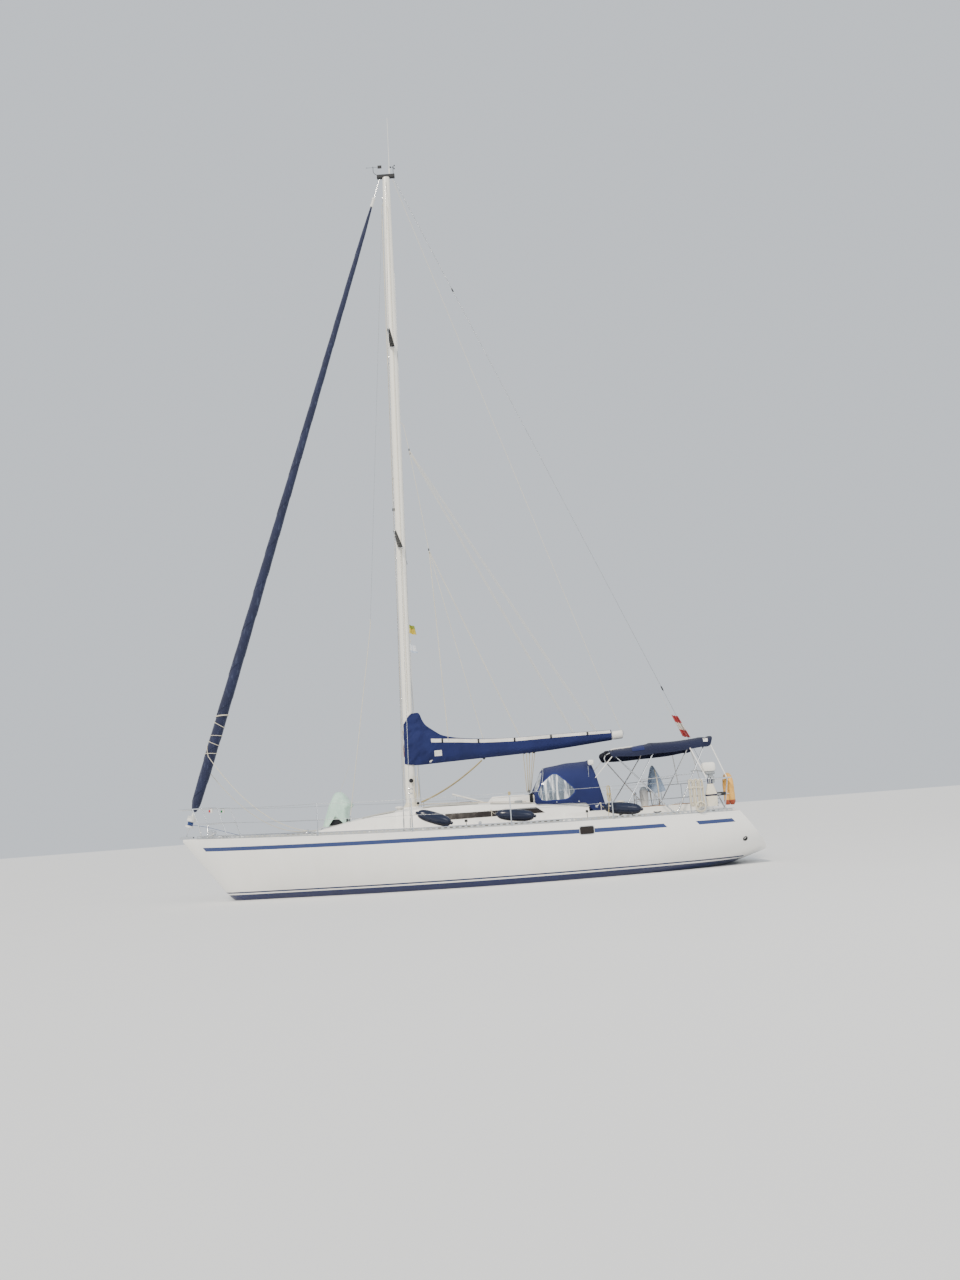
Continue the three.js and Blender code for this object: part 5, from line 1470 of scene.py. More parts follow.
class AddRails(bpy.types.Operator):
    """Adds the slotted toe rails, cleats, stanchions, lifelines, pulpit and pushpit."""

    bl_idname = "sloop.rails"
    bl_label = "Rails and lifelines"

    def execute(self, context):
        for name, side in SIDES.items():
            self.add_toe_rail(name, side)
            self.add_stanchions(name, side)
        self.add_pulpit()
        self.add_pushpit()
        self.add_lifelines()
        self.add_stem_fitting()
        return {"FINISHED"}

    def add_toe_rail(self, name, side):
        """An extruded rail with a foot and a lip, its web pierced by slots that let the water off."""
        pitch, fore, aft = sizes().slot_pitch, 6.30, -4.78
        count = int((fore - aft) / pitch)
        rail = Shape()
        low, high = 0.004, RAIL["high"] + 0.003
        slot_low, slot_high, slot_share = 0.020, 0.046, 0.62
        inset, thick = RAIL["inset"], RAIL["thick"]

        def place(x, out, up):
            y = column(STATIONS, HALF, x) - inset - out
            return (x, side * y, deck_top(x, column(STATIONS, HALF, x) - inset) + up)

        edges = [fore - i * pitch for i in range(count + 1)]
        for a, b in zip(edges, edges[1:]):
            middle, half = (a + b) / 2, pitch * slot_share / 2
            web_middle, slot_middle = (low + high) / 2, (slot_low + slot_high) / 2
            outer = [(a, low), (middle, low), (b, low), (b, web_middle), (b, high), (middle, high), (a, high),
                     (a, web_middle)]
            front, back = middle + half * 0.8, middle - half * 0.8
            inner = [(front, slot_low), (middle, slot_low), (back, slot_low), (middle - half, slot_middle),
                     (back, slot_high), (middle, slot_high), (front, slot_high), (middle + half, slot_middle)]
            for out in (0.003, thick - 0.003):
                points = [place(x, out, z) for x, z in (*outer, *inner)]
                rail.add(points, [(i, (i + 1) % 8, 8 + (i + 1) % 8, 8 + i) for i in range(8)])
            walls = [place(x, out, z) for out in (0.003, thick - 0.003) for x, z in inner]
            rail.add(walls, [(i, (i + 1) % 8, 8 + (i + 1) % 8, 8 + i) for i in range(8)])
        for bottom, top, spread in ((low - 0.002, low + 0.004, 0.010), (high - 0.007, high, 0.002)):
            out, near = -spread if spread < 0.005 else 0, thick + spread
            rings = [[place(x, out, bottom), place(x, near, bottom), place(x, near, top), place(x, out, top)]
                     for x in spaced(90, fore, aft)]
            rail.loft(rings)
        piece = rail.piece("slotted_rail_" + name, "silver_alloy", outward=False)
        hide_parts("toe_rail_" + name)
        cleats = Shape()
        for x in MOORING_CLEATS:
            y = column(STATIONS, HALF, x) - inset - thick - 0.024
            cleats.join(cleat_form((x, side * y, deck_top(x, y)), 0.24))
        cleats.piece("mooring_cleats_" + name, "silver_alloy")
        blocks = Shape()
        for x, long, up in RAIL_BLOCKS:
            _, foot_y, foot_z = place(x, thick / 2, high)
            ys = sorted((foot_y - side * 0.016, foot_y + side * 0.014))
            blocks.block((x - long / 2, ys[0], foot_z + up - 0.05), (x + long / 2, ys[1], foot_z + up), 0.010)
            blocks.tube([(x, foot_y, foot_z - 0.012), (x, foot_y, foot_z + up - 0.03)], 0.006, 8)
        blocks.piece("rail_blocks_" + name, "black_plastic")

    def add_stanchions(self, name, side):
        """Tapered posts in cast feet, bored for the lifelines."""
        posts = Shape()
        for x in STANCHION_XS:
            y = side * stanchion_y(x)
            foot = deck_top(x, abs(y)) + 0.001
            posts.tube([(x, y, foot + 0.02), (x, y, foot + LIFELINE - 0.004),
                        (x, y, foot + LIFELINE + 0.002)], [TUBE, TUBE * 0.9, TUBE * 0.6], 14)
            posts.lathe(TURNED["stanchion_foot"], (x, y, foot), sides=20)
        posts.piece("stanchions_" + name, "steel")

    def add_pulpit(self):
        p = PULPIT
        bend = (6.35, 0.35, p["aft_z"] + 0.01)
        rail = [(p["aft_x"], p["aft_y"], p["aft_z"]), bend, (p["nose_x"], 0.15, p["aft_z"] + 0.015)]
        around = [*rail, *mirrored(reversed(rail))]
        pulpit = Shape().tube(rounded_path(around, 0.13, 9), TUBE, 14)
        feet = Shape()
        for side in SIDES.values():
            mid = (p["mid_x"], side * 0.34, p["mid_z"])
            for x, y, top in ((p["foot_x"], 0.545, (p["aft_x"], side * p["aft_y"], p["aft_z"])),
                              (6.20, 0.225, mid)):
                foot = (x, side * y, deck_top(x, y) + 0.001)
                pulpit.tube([foot, top], TUBE, 14)
                feet.lathe(TURNED["flange"], foot, sides=20)
            pulpit.tube([mid, (bend[0], side * bend[1], bend[2])], TUBE, 14)
            pulpit.tube([(5.67, side * 0.522, p["mid_z"]), mid], TUBE * 0.8, 12)
        feet.piece("pulpit_feet", "steel")
        pulpit.piece("pulpit_rail", "steel", replaces=["pulpit"], sharp=60)
        for tone, side in (("red", 1), ("green", -1)):
            place = Vector((5.92, side * 0.452, p["aft_z"] - 0.062))
            housing = Shape().block(place - Vector((0.034, 0.026, 0.040)),
                                    place + Vector((0.012, 0.026, 0.040)),
                                    0.010)
            housing.tube([place + Vector((-0.01, 0, 0.03)), (place.x - 0.01, place.y, p["aft_z"] - 0.01)],
                         0.010, 12)
            housing.piece("side_light_housing_" + tone, "white_plastic")
            lens = Shape().lathe(TURNED["lens"], place + Vector((0.026, 0, 0)), sides=20)
            lens.piece("side_light_" + tone, tone + "_plastic")

    def add_pushpit(self):
        p = PUSHPIT
        half = [(p["fore_x"], p["fore_y"], p["top_z"]), (-4.56, 1.49, p["top_z"]),
                (p["stern_x"], 1.12, p["top_z"] + 0.005)]
        around = [*half, *mirrored(reversed(half))]
        pushpit = Shape().tube(rounded_path(around, 0.16, 9), TUBE, 14)
        low_z = p["low_z"]
        for side in SIDES.values():
            legs = [((p["fore_x"], 1.60), (p["fore_x"], p["fore_y"], p["top_z"])),
                    ((-4.36, 1.50), (-4.36, 1.526, p["top_z"])),
                    ((-4.78, 0.70), (p["stern_x"] + 0.002, 0.70, p["top_z"]))]
            for (x, y), (tx, ty, tz) in legs:
                foot = (x, side * y, deck_top(x, y) + 0.001)
                pushpit.tube([foot, (tx, side * ty, tz)], TUBE, 14)
                pushpit.lathe(TURNED["flange"], foot, sides=20)
            rail = [(x + 0.005, side * (y - 0.008), low_z) for x, y, _ in half[:2]]
            rail += [(p["stern_x"] + 0.065, side * 1.02, low_z), (-4.845, side * 0.70, low_z)]
            pushpit.tube(rounded_path(rail, 0.12, 9), TUBE * 0.8, 12)
        pushpit.piece("pushpit_rail", "steel", replaces=["pushpit"], sharp=60)

    def add_lifelines(self):
        """Two wires a side between pulpit and pushpit, through the stanchions, each span slightly slack."""
        lines = Shape()
        for side in SIDES.values():
            for share, start, end_z in LIFELINES:
                stops = [start]
                for x in STANCHION_XS:
                    y = stanchion_y(x)
                    stops.append((x, y, deck_top(x, y) + (LIFELINE - 0.012) * share))
                stops.append((PUSHPIT["fore_x"], 1.607, end_z))
                path = []
                for a, b in zip(stops, stops[1:]):
                    sag = 0.006 * (Vector(b) - Vector(a)).length
                    for t in spaced(13, 0, 1)[:-1]:
                        point = Vector(a).lerp(Vector(b), t)
                        point.z -= 4 * sag * t * (1 - t)
                        path.append((point.x, side * point.y, point.z))
                path.append((stops[-1][0], side * stops[-1][1], stops[-1][2]))
                lines.tube(path, sizes().lifeline / 2, 8)
        lines.piece("lifelines", "wire")

    def add_stem_fitting(self):
        finish_node("stem_fitting", "steel")
        windlass = Shape().lathe(TURNED["anchor_roller"], (6.70, -0.024, 1.372), (0, 1, 0), 20)
        windlass.block((5.92, -0.10, 1.345), (6.14, 0.10, 1.40), 0.02)
        windlass.lathe(TURNED["gypsy"], (6.03, 0.095, 1.44), (0, 1, 0), 24)
        windlass.block((5.96, -0.09, 1.39), (6.10, 0.09, 1.49), 0.035)
        windlass.piece("windlass", "steel")


def stanchion_y(x):
    return column(STATIONS, HALF, x) - RAIL["inset"] - RAIL["thick"] - 0.004


MAST_LIGHTS = [(8.34, 0.034), (9.07, 0.022)]  # height and half size
SHEAVE_BOXES = [3.95, 7.15, 12.05, 16.2]
# Halyards down the front of the mast: tone, y, height of the top, distance off the mast
FRONT_HALYARDS = [("cream", 0.020, 16.10, 0.020), ("cream", -0.020, 16.10, 0.034), ("blue", 0.0, 12.0, 0.026)]


class AddMast(bpy.types.Operator):
    """Adds the mast with its track, brackets, lights, winches and halyards, and the spreaders."""

    bl_idname = "sloop.mast"
    bl_label = "Mast and spreaders"

    def execute(self, context):
        self.add_spar()
        self.add_spreaders()
        self.add_fittings()
        self.add_halyards()
        finish_node("aerial", "enamel")
        for name in ("masthead_crane", "wind_vane", "anemometer"):
            finish_node(name, "black_alloy")
        return {"FINISHED"}

    def add_spar(self):
        """A tapered oval section with the sail track in its after face."""
        rings = []
        for z in spaced(60, MAST["deck_z"] + 0.001, MAST["top_z"]):
            taper = 1 - 0.18 * max(0, (z - 14.2) / (MAST["top_z"] - 14.2))
            rings.append(oval(mast_x(z), 0, z, MAST["long"] * taper, MAST["wide"] * taper, 40))
        Shape().loft(rings).piece("mast_spar", "enamel", replaces=["mast"])
        track = Shape()
        back = lambda z, out: mast_x(z) - MAST["long"] - out
        for y0, y1, out in ((-0.016, 0.016, 0.004), (-0.008, 0.008, 0.012)):
            track.loft([[(back(z, -0.004), y0, z), (back(z, out), y0, z), (back(z, out), y1, z),
                         (back(z, -0.004), y1, z)]
                        for z in spaced(12, 2.80, 14.2)])
        track.piece("mast_track", "silver_alloy")

    def add_spreaders(self):
        """Foil-shaped spreaders, thinner and narrower outboard, in brackets at the mast."""
        brackets, boots = Shape(), Shape()
        for level, row in SPREADERS.items():
            x, z = mast_x(row["z"]), row["z"]
            for name, side in SIDES.items():
                rings = []
                for t in spaced(16, 0, 1):
                    y = side * between(MAST["wide"] + 0.001, row["reach"] - 0.010, t)
                    long = between(0.060, 0.030, t) * (1 if 0 < t < 1 else 0.92)
                    thick = between(0.0138, 0.010, t)
                    rings.append([(x + long * math.cos(a), y, z + thick * math.sin(a))
                                  for a in spaced(21, 0, math.tau)[:-1]])
                arm = Shape().loft(rings)
                node = f"spreader_{level}_{name}"
                arm.piece("foil_" + node, "black_alloy", replaces=[node])
                y0, y1 = sorted((side * (MAST["wide"] - 0.006), side * (MAST["wide"] + 0.045)))
                brackets.block((x - 0.068, y0, z - 0.022), (x + 0.068, y1, z + 0.022), 0.012)
                tip = (x, side * (row["reach"] - 0.028), z)
                boots.lathe(TURNED["spreader_boot"], tip, (0, side, 0), 20)
        brackets.piece("spreader_brackets", "steel")
        boots.piece("spreader_boots", "white_plastic")

    def add_fittings(self):
        """The steaming light, halyard sheave boxes, mast winches and cleats."""
        light, metal, winches = Shape(), Shape(), Shape()
        for z, size in MAST_LIGHTS:
            front = mast_x(z) + MAST["long"]
            light.block((front - 0.01, -size * 0.8, z - size), (front + size * 1.5, size * 0.8, z + size),
                        0.012)
        for z in SHEAVE_BOXES:
            front = mast_x(z) + MAST["long"]
            metal.block((front - 0.012, -0.022, z - 0.06), (front + 0.008, 0.022, z + 0.06), 0.006)
        for side in SIDES.values():
            z = 2.22
            foot = (mast_x(z) - 0.03, side * (MAST["wide"] - 0.006), z)
            winches.lathe(TURNED["mast_winch"], foot, (0, side, 0), 28)
            for z in (1.95, 2.05):
                metal.block((mast_x(z) - 0.05, side * 0.068 - 0.012, z - 0.012),
                            (mast_x(z) + 0.05, side * 0.068 + 0.012, z + 0.012), 0.008)
        light.piece("steaming_light", "black_plastic", slot="white_plastic")
        metal.piece("mast_hardware", "steel")
        winches.piece("mast_winches", "black_alloy", sharp=30)

    def add_halyards(self):
        """Halyards close along the mast, and the wire with its rope tail that is set up forward of it."""
        by_tone = {"cream": Shape(), "red": Shape(), "blue": Shape()}
        radius = sizes().line_rope / 2
        front = lambda z, out: mast_x(z) + MAST["long"] + out
        for tone, y, top, out in FRONT_HALYARDS:
            path = [(front(top, -0.02), y, top), *[(front(z, out), y, z) for z in spaced(9, top - 0.15, 2.1)],
                    (front(1.80, -0.01), y * 3, 1.80)]
            by_tone[tone].tube(path, radius, 8)
        for side, tone in ((1, "cream"), (-1, "red")):
            beside = [(mast_x(z) - 0.02, side * (MAST["wide"] + 0.02), z) for z in (15.8, 9.0, 3.72)]
            by_tone[tone].tube([(mast_x(16.0), side * 0.05, 16.0), *beside], radius, 8)
        coil = Shape()
        for turn in range(4):
            y = 0.092 + 0.013 * turn
            wide, long = 0.060 - 0.006 * turn, 0.27 - 0.02 * turn
            loop = [(1.60 + wide * math.sin(a), y + 0.02 * math.cos(a), 2.30 - long + long * math.cos(a))
                    for a in spaced(25, 0, math.tau)]
            coil.tube(loop, radius * 1.1, 8, caps=False)
        by_tone["cream"].join(coil)
        by_tone["cream"].tube([(1.545, 0.075, 2.50), (1.60, 0.080, 2.05), (1.632, 0.11, 1.655)], radius * 1.2,
                              8)
        for tone, shape in by_tone.items():
            shape.piece("halyards_" + tone, tone + "_rope")
        wire, tail = Shape(), Shape()
        top, splice, foot = (1.55, 0.03, 16.04), (2.37, 0.30, 5.67), (3.005, 0.40, roof_top(3.005, 0.40))
        wire.tube([top, splice], 0.0035, 8)
        tail.tube([splice, (splice[0] + 0.01, splice[1], splice[2] - 0.10),
                   (foot[0], foot[1], foot[2] + 0.10)], 0.0065, 10)
        tail.tube([(splice[0], splice[1], splice[2] + 0.12), splice], [0.004, 0.009], 10)
        wire.piece("inner_wire", "wire")
        tail.piece("inner_wire_tail", "cream_rope")
        eye = Shape().lathe(TURNED["deck_eye"], (foot[0], foot[1], foot[2] - 0.002))
        eye.piece("deck_eye", "steel")


def turnbuckle(shape, foot, along, scale=1.0):
    """A rigging screw from its toggle up along the wire: fork, threaded ends and the open barrel."""
    shape.lathe([(r * scale, h * scale) for r, h in TURNED["rigging_screw"]], foot, along, 16)


class AddStandingRigging(bpy.types.Operator):
    """Adds the shrouds and the backstay as smooth wires with rigging screws and chainplates."""

    bl_idname = "sloop.standing_rigging"
    bl_label = "Standing rigging"

    def execute(self, context):
        radius = sizes().wire / 2
        for name, side in SIDES.items():
            cap_x, lower_x, y = CHAINPLATE["cap_x"], CHAINPLATE["lower_x"], CHAINPLATE["y"]
            tips = [(mast_x(row["z"]), side * row["reach"], row["z"]) for row in SPREADERS.values()]
            top = 16.6
            cap = [(cap_x, side * y, deck_top(cap_x, y) + 0.006), *tips,
                   (mast_x(top), side * (MAST["wide"] - 0.008), top)]
            high = 7.33
            lower = [(lower_x, side * (y - 0.01), deck_top(lower_x, y) + 0.006),
                     (mast_x(high), side * MAST["wide"], high)]
            for kind, path in (("cap", cap), ("lower", lower)):
                wire = Shape().tube(path, radius, 10)
                turnbuckle(wire, path[0], Vector(path[1]) - Vector(path[0]))
                node = f"{kind}_shroud_{name}"
                wire.piece(node + "_wire", "wire", replaces=[node])
        plates = Shape()
        for side in SIDES.values():
            for x in (CHAINPLATE["cap_x"], CHAINPLATE["lower_x"]):
                y = side * CHAINPLATE["y"]
                z = deck_top(x, abs(y))
                plates.block((x - 0.035, y - 0.018, z - 0.002), (x + 0.035, y + 0.018, z + 0.005), 0.003)
                plates.block((x - 0.016, y - 0.003, z), (x + 0.016, y + 0.003, z + 0.035), 0.002)
        low, high = BACKSTAY
        stay = Shape().tube([low, high], radius, 10)
        turnbuckle(stay, low, high - low, 1.25)
        stay.piece("backstay_wire", "wire", replaces=["backstay"])
        outline = [(transom_x(1.10) + 0.01, 1.10), (low.x - 0.02, 1.09), (low.x - 0.028, 1.05),
                   (low.x - 0.02, 1.03),
                   (transom_x(0.90) - 0.004, 0.90), (transom_x(0.90) + 0.01, 0.90)]
        plates.plate(outline, "y", -0.006, 0.006)
        plates.piece("chainplates", "steel")
        insulators = Shape()
        for distance in (2.9, 13.5):
            start = low + (high - low).normalized() * distance
            insulators.lathe(TURNED["insulator"], start, high - low, 16)
        insulators.piece("stay_insulators", "black_plastic")
        return {"FINISHED"}


def on_stay(distance, angle, radius):
    """A point round the forestay, at a distance up it."""
    direction = (FORESTAY[1] - FORESTAY[0]).normalized()
    across = Vector((0, 1, 0))
    other = direction.cross(across)
    return up_forestay(distance) + across * radius * math.cos(angle) + other * radius * math.sin(angle)


# The rolled sail: distance up the forestay and radius
ROLL = [
    (15.358, 0.024),
    (14.5, 0.050),
    (11.5, 0.074),
    (8.0, 0.097),
    (4.5, 0.115),
    (2.6, 0.121),
    (1.5, 0.119),
    (0.9, 0.108),
    (0.7, 0.095),
    (0.545, 0.050),
]
# Turns of sheet round the roll: distance up the stay, tilt and number of rounds
TURNS = [(2.66, 0.05, 2), (2.47, -0.035, 1), (2.22, 0.03, 1), (2.05, -0.02, 1), (1.82, 0.035, 1)]


class AddForesail(bpy.types.Operator):
    """Adds the genoa rolled on its furler, the sheet's turns round it, drum, swivel and furling line."""

    bl_idname = "sloop.foresail"
    bl_label = "Furled genoa"

    def execute(self, context):
        self.add_roll()
        self.add_turns()
        self.add_furler()
        return {"FINISHED"}

    def add_roll(self):
        """The cloth's edge is a ridge that winds up the roll, with the creases of a hard furl beside it."""
        pitch, step = 0.95, 0.075
        rings = []
        for distance in [0.545, 0.56, *spaced(330, 0.60, 15.30), 15.33, 15.358]:
            radius = column(ROLL, 1, distance)
            twist = math.tau * distance / pitch
            ring = []
            for t in spaced(31, 0, 1):
                angle = twist + math.tau * t
                crease = noise.noise(Vector((math.cos(angle) * 0.9, math.sin(angle) * 0.9, distance * 4.0)))
                size = radius * (1 - step * (1 - t) ** 1.3 + 0.03 * crease)
                ring.append(on_stay(distance, angle, size))
            rings.append(ring)
        sail = Shape().loft(rings)
        sail.piece("rolled_genoa", "sail", replaces=["furled_genoa"], sharp=35)

    def add_turns(self):
        """The sheets' turns round the roll: single rounds spaced out, the highest one doubled."""
        turns = Shape()
        radius = sizes().sheet_rope / 2
        for distance, tilt, count in TURNS:
            for number in range(count):
                centre = distance + number * radius * 2.1
                loop = [on_stay(centre + tilt * math.sin(a), a, column(ROLL, 1, centre) + radius * 0.9)
                        for a in spaced(37, 0, math.tau)]
                turns.tube(loop, radius, 8, caps=False)
        for side, row in SHEETS.items():
            angle = 0 if SIDES[side] > 0 else math.pi
            path = [on_stay(between(row["clew"], row["clew"] + 0.25, t), angle - t * 1.2 * SIDES[side], 0.130)
                    for t in spaced(9, 0, 1)]
            turns.tube(path, radius, 8)
        turns.piece("sheet_turns", "cream_rope")

    def add_furler(self):
        stay = FORESTAY[1] - FORESTAY[0]
        drum = Shape().lathe(TURNED["furler_drum"], FORESTAY[0], stay, 40)
        drum.piece("furler_drum", "white_plastic", replaces=["furling_drum"], sharp=30)
        link = Shape().lathe(TURNED["stay_link"], FORESTAY[0], stay, 16)
        swivel = Shape().lathe(TURNED["furler_swivel"], FORESTAY[0], stay, 28)
        swivel.piece("furler_swivel", "white_plastic", replaces=["furling_swivel"], sharp=30)
        link.tube([up_forestay(15.6), up_forestay(16.15)], 0.009, 12)
        link.piece("furler_link", "steel")
        line = Shape()
        for turn in range(5):
            ring = [on_stay(0.252 + 0.015 * turn, a, 0.054) for a in spaced(33, 0, math.tau)]
            line.tube(ring, 0.0065, 8, caps=False)
        y_at = lambda x: stanchion_y(x) - 0.05
        start = on_stay(0.26, -0.7, 0.056)
        run = [(x, y_at(x), deck_top(x, y_at(x)) + 0.055) for x in (5.3, 3.53, 1.60, -0.34, -1.55)]
        line.tube([start, (6.05, 0.26, 1.56), *run], 0.0045, 8)
        line.piece("furling_line", "blue_rope")


# Lazy jacks on the port side: where the line from the mast splits and splits again, then each line's ends
# and radius
JACK_ROOT, JACK_SPLIT, JACK_LOW_SPLIT = (1.378, 0.012, 10.3), (1.285, 0.12, 9.70), (0.99, 0.14, 7.30)
JACK_LINES = [
    (JACK_ROOT, JACK_SPLIT, 0.0050),
    (JACK_SPLIT, (-1.86, 0.125, 2.98), 0.0042),
    (JACK_SPLIT, (-2.35, 0.120, 2.985), 0.0042),
    (JACK_SPLIT, JACK_LOW_SPLIT, 0.0042),
    (JACK_LOW_SPLIT, (0.85, 0.125, 3.02), 0.0042),
    (JACK_LOW_SPLIT, (0.10, 0.125, 3.00), 0.0042),
    (JACK_LOW_SPLIT, (-0.70, 0.125, 2.99), 0.0042),
]
# The mainsheet's parts: x at the boom and at the traveller's block
SHEET_PARTS = [(-0.745, -0.758), (-0.815, -0.785), (-0.885, -0.800), (-0.950, -0.822), (-1.000, -0.842)]


class AddBoom(bpy.types.Operator):
    """Adds the boom with its end castings, lazy jacks and topping lift, the mainsheet and the vang."""

    bl_idname = "sloop.boom"
    bl_label = "Boom and its ropes"

    def execute(self, context):
        finish_node("gooseneck", "steel")
        self.add_spar()
        self.add_lazy_jacks()
        self.add_mainsheet()
        self.add_vang()
        return {"FINISHED"}

    def add_spar(self):
        spar = Shape()
        start, end = BOOM["front_x"], BOOM["tip_x"] + 0.012
        rings = []
        for x in spaced(12, start, end + 0.17):
            rings.append([(x, a * BOOM["wide"] * 0.96, boom_z(x) + b * BOOM["high"] * 0.98)
                          for a, b in unit_circle(36)])
        spar.loft(rings)
        spar.loft([[(x, a * 0.022, 2.64 + b * 0.034) for a, b in unit_circle(16)]
                   for x in (start - 0.02, 1.535)])
        spar.lathe(TURNED["gooseneck_pin"], (BOOM["pivot_x"], 0, 2.64), sides=24)
        spar.piece("boom_spar", "enamel", body="boom", replaces=["boom"])
        casting = Shape()
        rings = []
        for x, grow in ((end + 0.20, 0.96), (end + 0.19, 1.0), (end + 0.02, 1.0), (end, 0.97),
                        (end - 0.008, 0.86)):
            rings.append([(x, a * BOOM["wide"] * grow, boom_z(x) + b * BOOM["high"] * grow)
                          for a, b in unit_circle(36)])
        casting.loft(rings)
        casting.piece("boom_end", "white_plastic", body="boom", slot="mast_paint")
        metal = Shape()
        z = boom_z(end)
        metal.lathe([(0.028, -0.012), (0.028, 0.012)], (end + 0.03, 0, z + 0.045), (0, 1, 0), 24)
        metal.tube(rounded_path([(end + 0.05, 0, z + 0.08), (end - 0.035, 0, z + 0.085), (end - 0.035, 0, z),
                                 (end, 0, z - 0.01)], 0.03), 0.007, 10)
        for x in (-0.92, 0.11):
            for y in (-0.035, 0.035):
                low = boom_z(x) - BOOM["high"] * 0.75
                bail = [(x + 0.03, y * 1.5, low), (x + 0.02, y, low - 0.045), (x - 0.02, y, low - 0.045),
                        (x - 0.03, y * 1.5, low)]
                metal.tube(rounded_path(bail, 0.02), 0.005, 10)
        metal.piece("boom_metal", "steel", body="boom")

    def add_lazy_jacks(self):
        """Thin lines from the mast's sides, split twice, down to the cover; they swing with the boom."""
        lines, blocks = Shape(), Shape()
        for side in SIDES.values():
            for start, end, radius in JACK_LINES:
                lines.tube([(x, side * y, z) for x, y, z in (start, end)], radius, 6)
            for split in (JACK_SPLIT, JACK_LOW_SPLIT):
                centre, half = Vector(split) * Vector((1, side, 1)), Vector((0.012, 0.010, 0.030))
                blocks.block(centre - half, centre + half, 0.006)
        lift_top, lift_foot = (1.26, 0.0, 16.70), (BOOM["tip_x"] + 0.03, 0, boom_z(BOOM["tip_x"]) + 0.085)
        lines.tube([lift_top, lift_foot], 0.0045, 6)
        at_mast = (mast_x(10.45) - MAST["long"] + 0.004, 0, 10.45)
        pendant = Shape().tube([at_mast, (1.380, 0, 10.345)], 0.005, 8)
        pendant.tube([(1.378 + 0.016 * math.cos(a), 0, 10.330 + 0.016 * math.sin(a))
                      for a in spaced(19, 0, math.tau)], 0.0035, 8, caps=False)
        pendant.piece("lazy_jack_pendant", "cream_rope")
        lines.piece("lazy_jacks", "cream_rope", body="boom")
        blocks.piece("lazy_jack_blocks", "black_plastic", body="boom")

    def add_mainsheet(self):
        """A tackle that fans out from the traveller to the boom."""
        top_x, foot = -0.88, Vector((-0.80, 0, 1.80))
        radius = sizes().line_rope * 0.75
        top = boom_z(top_x) - BOOM["high"] - 0.045
        parts = Shape()
        for i, (x, low_x) in enumerate(SHEET_PARTS):
            y = 0.018 if i % 2 else -0.018
            low, high = Vector((low_x, y, foot.z)), Vector((x, y * 1.4, top))
            parts.tube([low.lerp(high, t) for t in spaced(9, 0, 1)], radius, 8)
        rope = parts.piece("mainsheet", "tan_rope", body=None)
        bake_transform(rope)
        low_block, high_block = Shape(), Shape()
        for y in (-0.026, 0, 0.026):
            low_block.lathe(TURNED["large_sheave"], (foot.x, y, foot.z - 0.006), (0, 1, 0), 24)
        for x in (-0.775, -0.880, -0.975):
            for y in (-0.014, 0.014):
                high_block.lathe(TURNED["sheave"], (x, y, top + 0.006), (0, 1, 0), 24)
        low_block.piece("mainsheet_block", "black_plastic")
        high_block.piece("mainsheet_blocks_upper", "black_plastic", body="boom")

    def add_vang(self):
        """The tackle from the mast's foot to the underside of the boom."""
        foot_z, head_x, droop = 1.72, 0.11, 0.10
        foot = Vector((mast_x(foot_z) - MAST["long"] - 0.03, 0, foot_z))
        head = Vector((head_x, 0, boom_z(head_x) - BOOM["high"] - 0.04))
        rope = Shape()
        for y in (-0.018, 0, 0.018):
            path = []
            for t in spaced(17, 0.06, 0.97):
                path.append(foot.lerp(head, t) + Vector((0, y, 0.012 * y / 0.018 - 4 * droop * t * (1 - t))))
            rope.tube(path, sizes().line_rope * 0.75, 8)
        made = rope.piece("vang_rope", "tan_rope", body=None)
        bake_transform(made)
        blocks = Shape()
        for y in (-0.016, 0.016):
            blocks.lathe(TURNED["sheave"], foot + Vector((-0.02, y, 0.01)), (0, 1, 0), 24)
        blocks.piece("vang_block", "black_plastic")
        upper = Shape()
        for y in (-0.016, 0.016):
            upper.lathe(TURNED["sheave"], head + Vector((0, y, 0)), (0, 1, 0), 24)
        upper.piece("vang_block_upper", "black_plastic", body="boom")


def unit_circle(count):
    return [(math.cos(a), math.sin(a)) for a in spaced(count + 1, 0, math.tau)[:-1]]


# The sail cover, from the mast aft: x, height of its top and low edges, half width low down and at the top
COVER = [
    (1.86, 3.36, 2.62, 0.088, 0.074),
    (1.80, 3.44, 2.58, 0.095, 0.080),
    (1.72, 3.56, 2.56, 0.102, 0.082),
    (1.64, 3.650, 2.55, 0.110, 0.066),
    (1.55, 3.672, 2.545, 0.116, 0.040),
    (1.45, 3.655, 2.545, 0.119, 0.032),
    (1.40, 3.520, 2.545, 0.122, 0.032),
    (1.33, 3.400, 2.548, 0.123, 0.038),
    (1.22, 3.305, 2.552, 0.124, 0.050),
    (1.10, 3.215, 2.556, 0.125, 0.070),
    (1.00, 3.150, 2.560, 0.125, 0.090),
    (0.80, 3.088, 2.566, 0.125, 0.106),
    (0.50, 3.036, 2.578, 0.123, 0.110),
    (0.00, 2.990, 2.592, 0.119, 0.108),
    (-0.60, 2.968, 2.612, 0.112, 0.102),
    (-1.40, 2.976, 2.650, 0.104, 0.094),
    (-2.68, 2.976, 2.760, 0.087, 0.076),
]
COVER_AFT = -2.68
COVER_EDGE = 0.80  # the angle round the mast, from its side, at which the cloth's front edges stop
# The pale strip that carries the lazy jacks' clips: x, height of its top edge, its width
COVER_STRIPE = [
    (1.22, 3.080, 0.080),
    (0.68, 3.040, 0.080),
    (0.15, 2.990, 0.076),
    (-0.60, 2.964, 0.074),
    (-1.40, 2.972, 0.071),
    (-2.66, 2.970, 0.062),
]
CLIP_XS = [0.98, 0.20, -0.58, -1.37, -2.16]
SEAM_XS = [0.58, -0.96, -1.98]
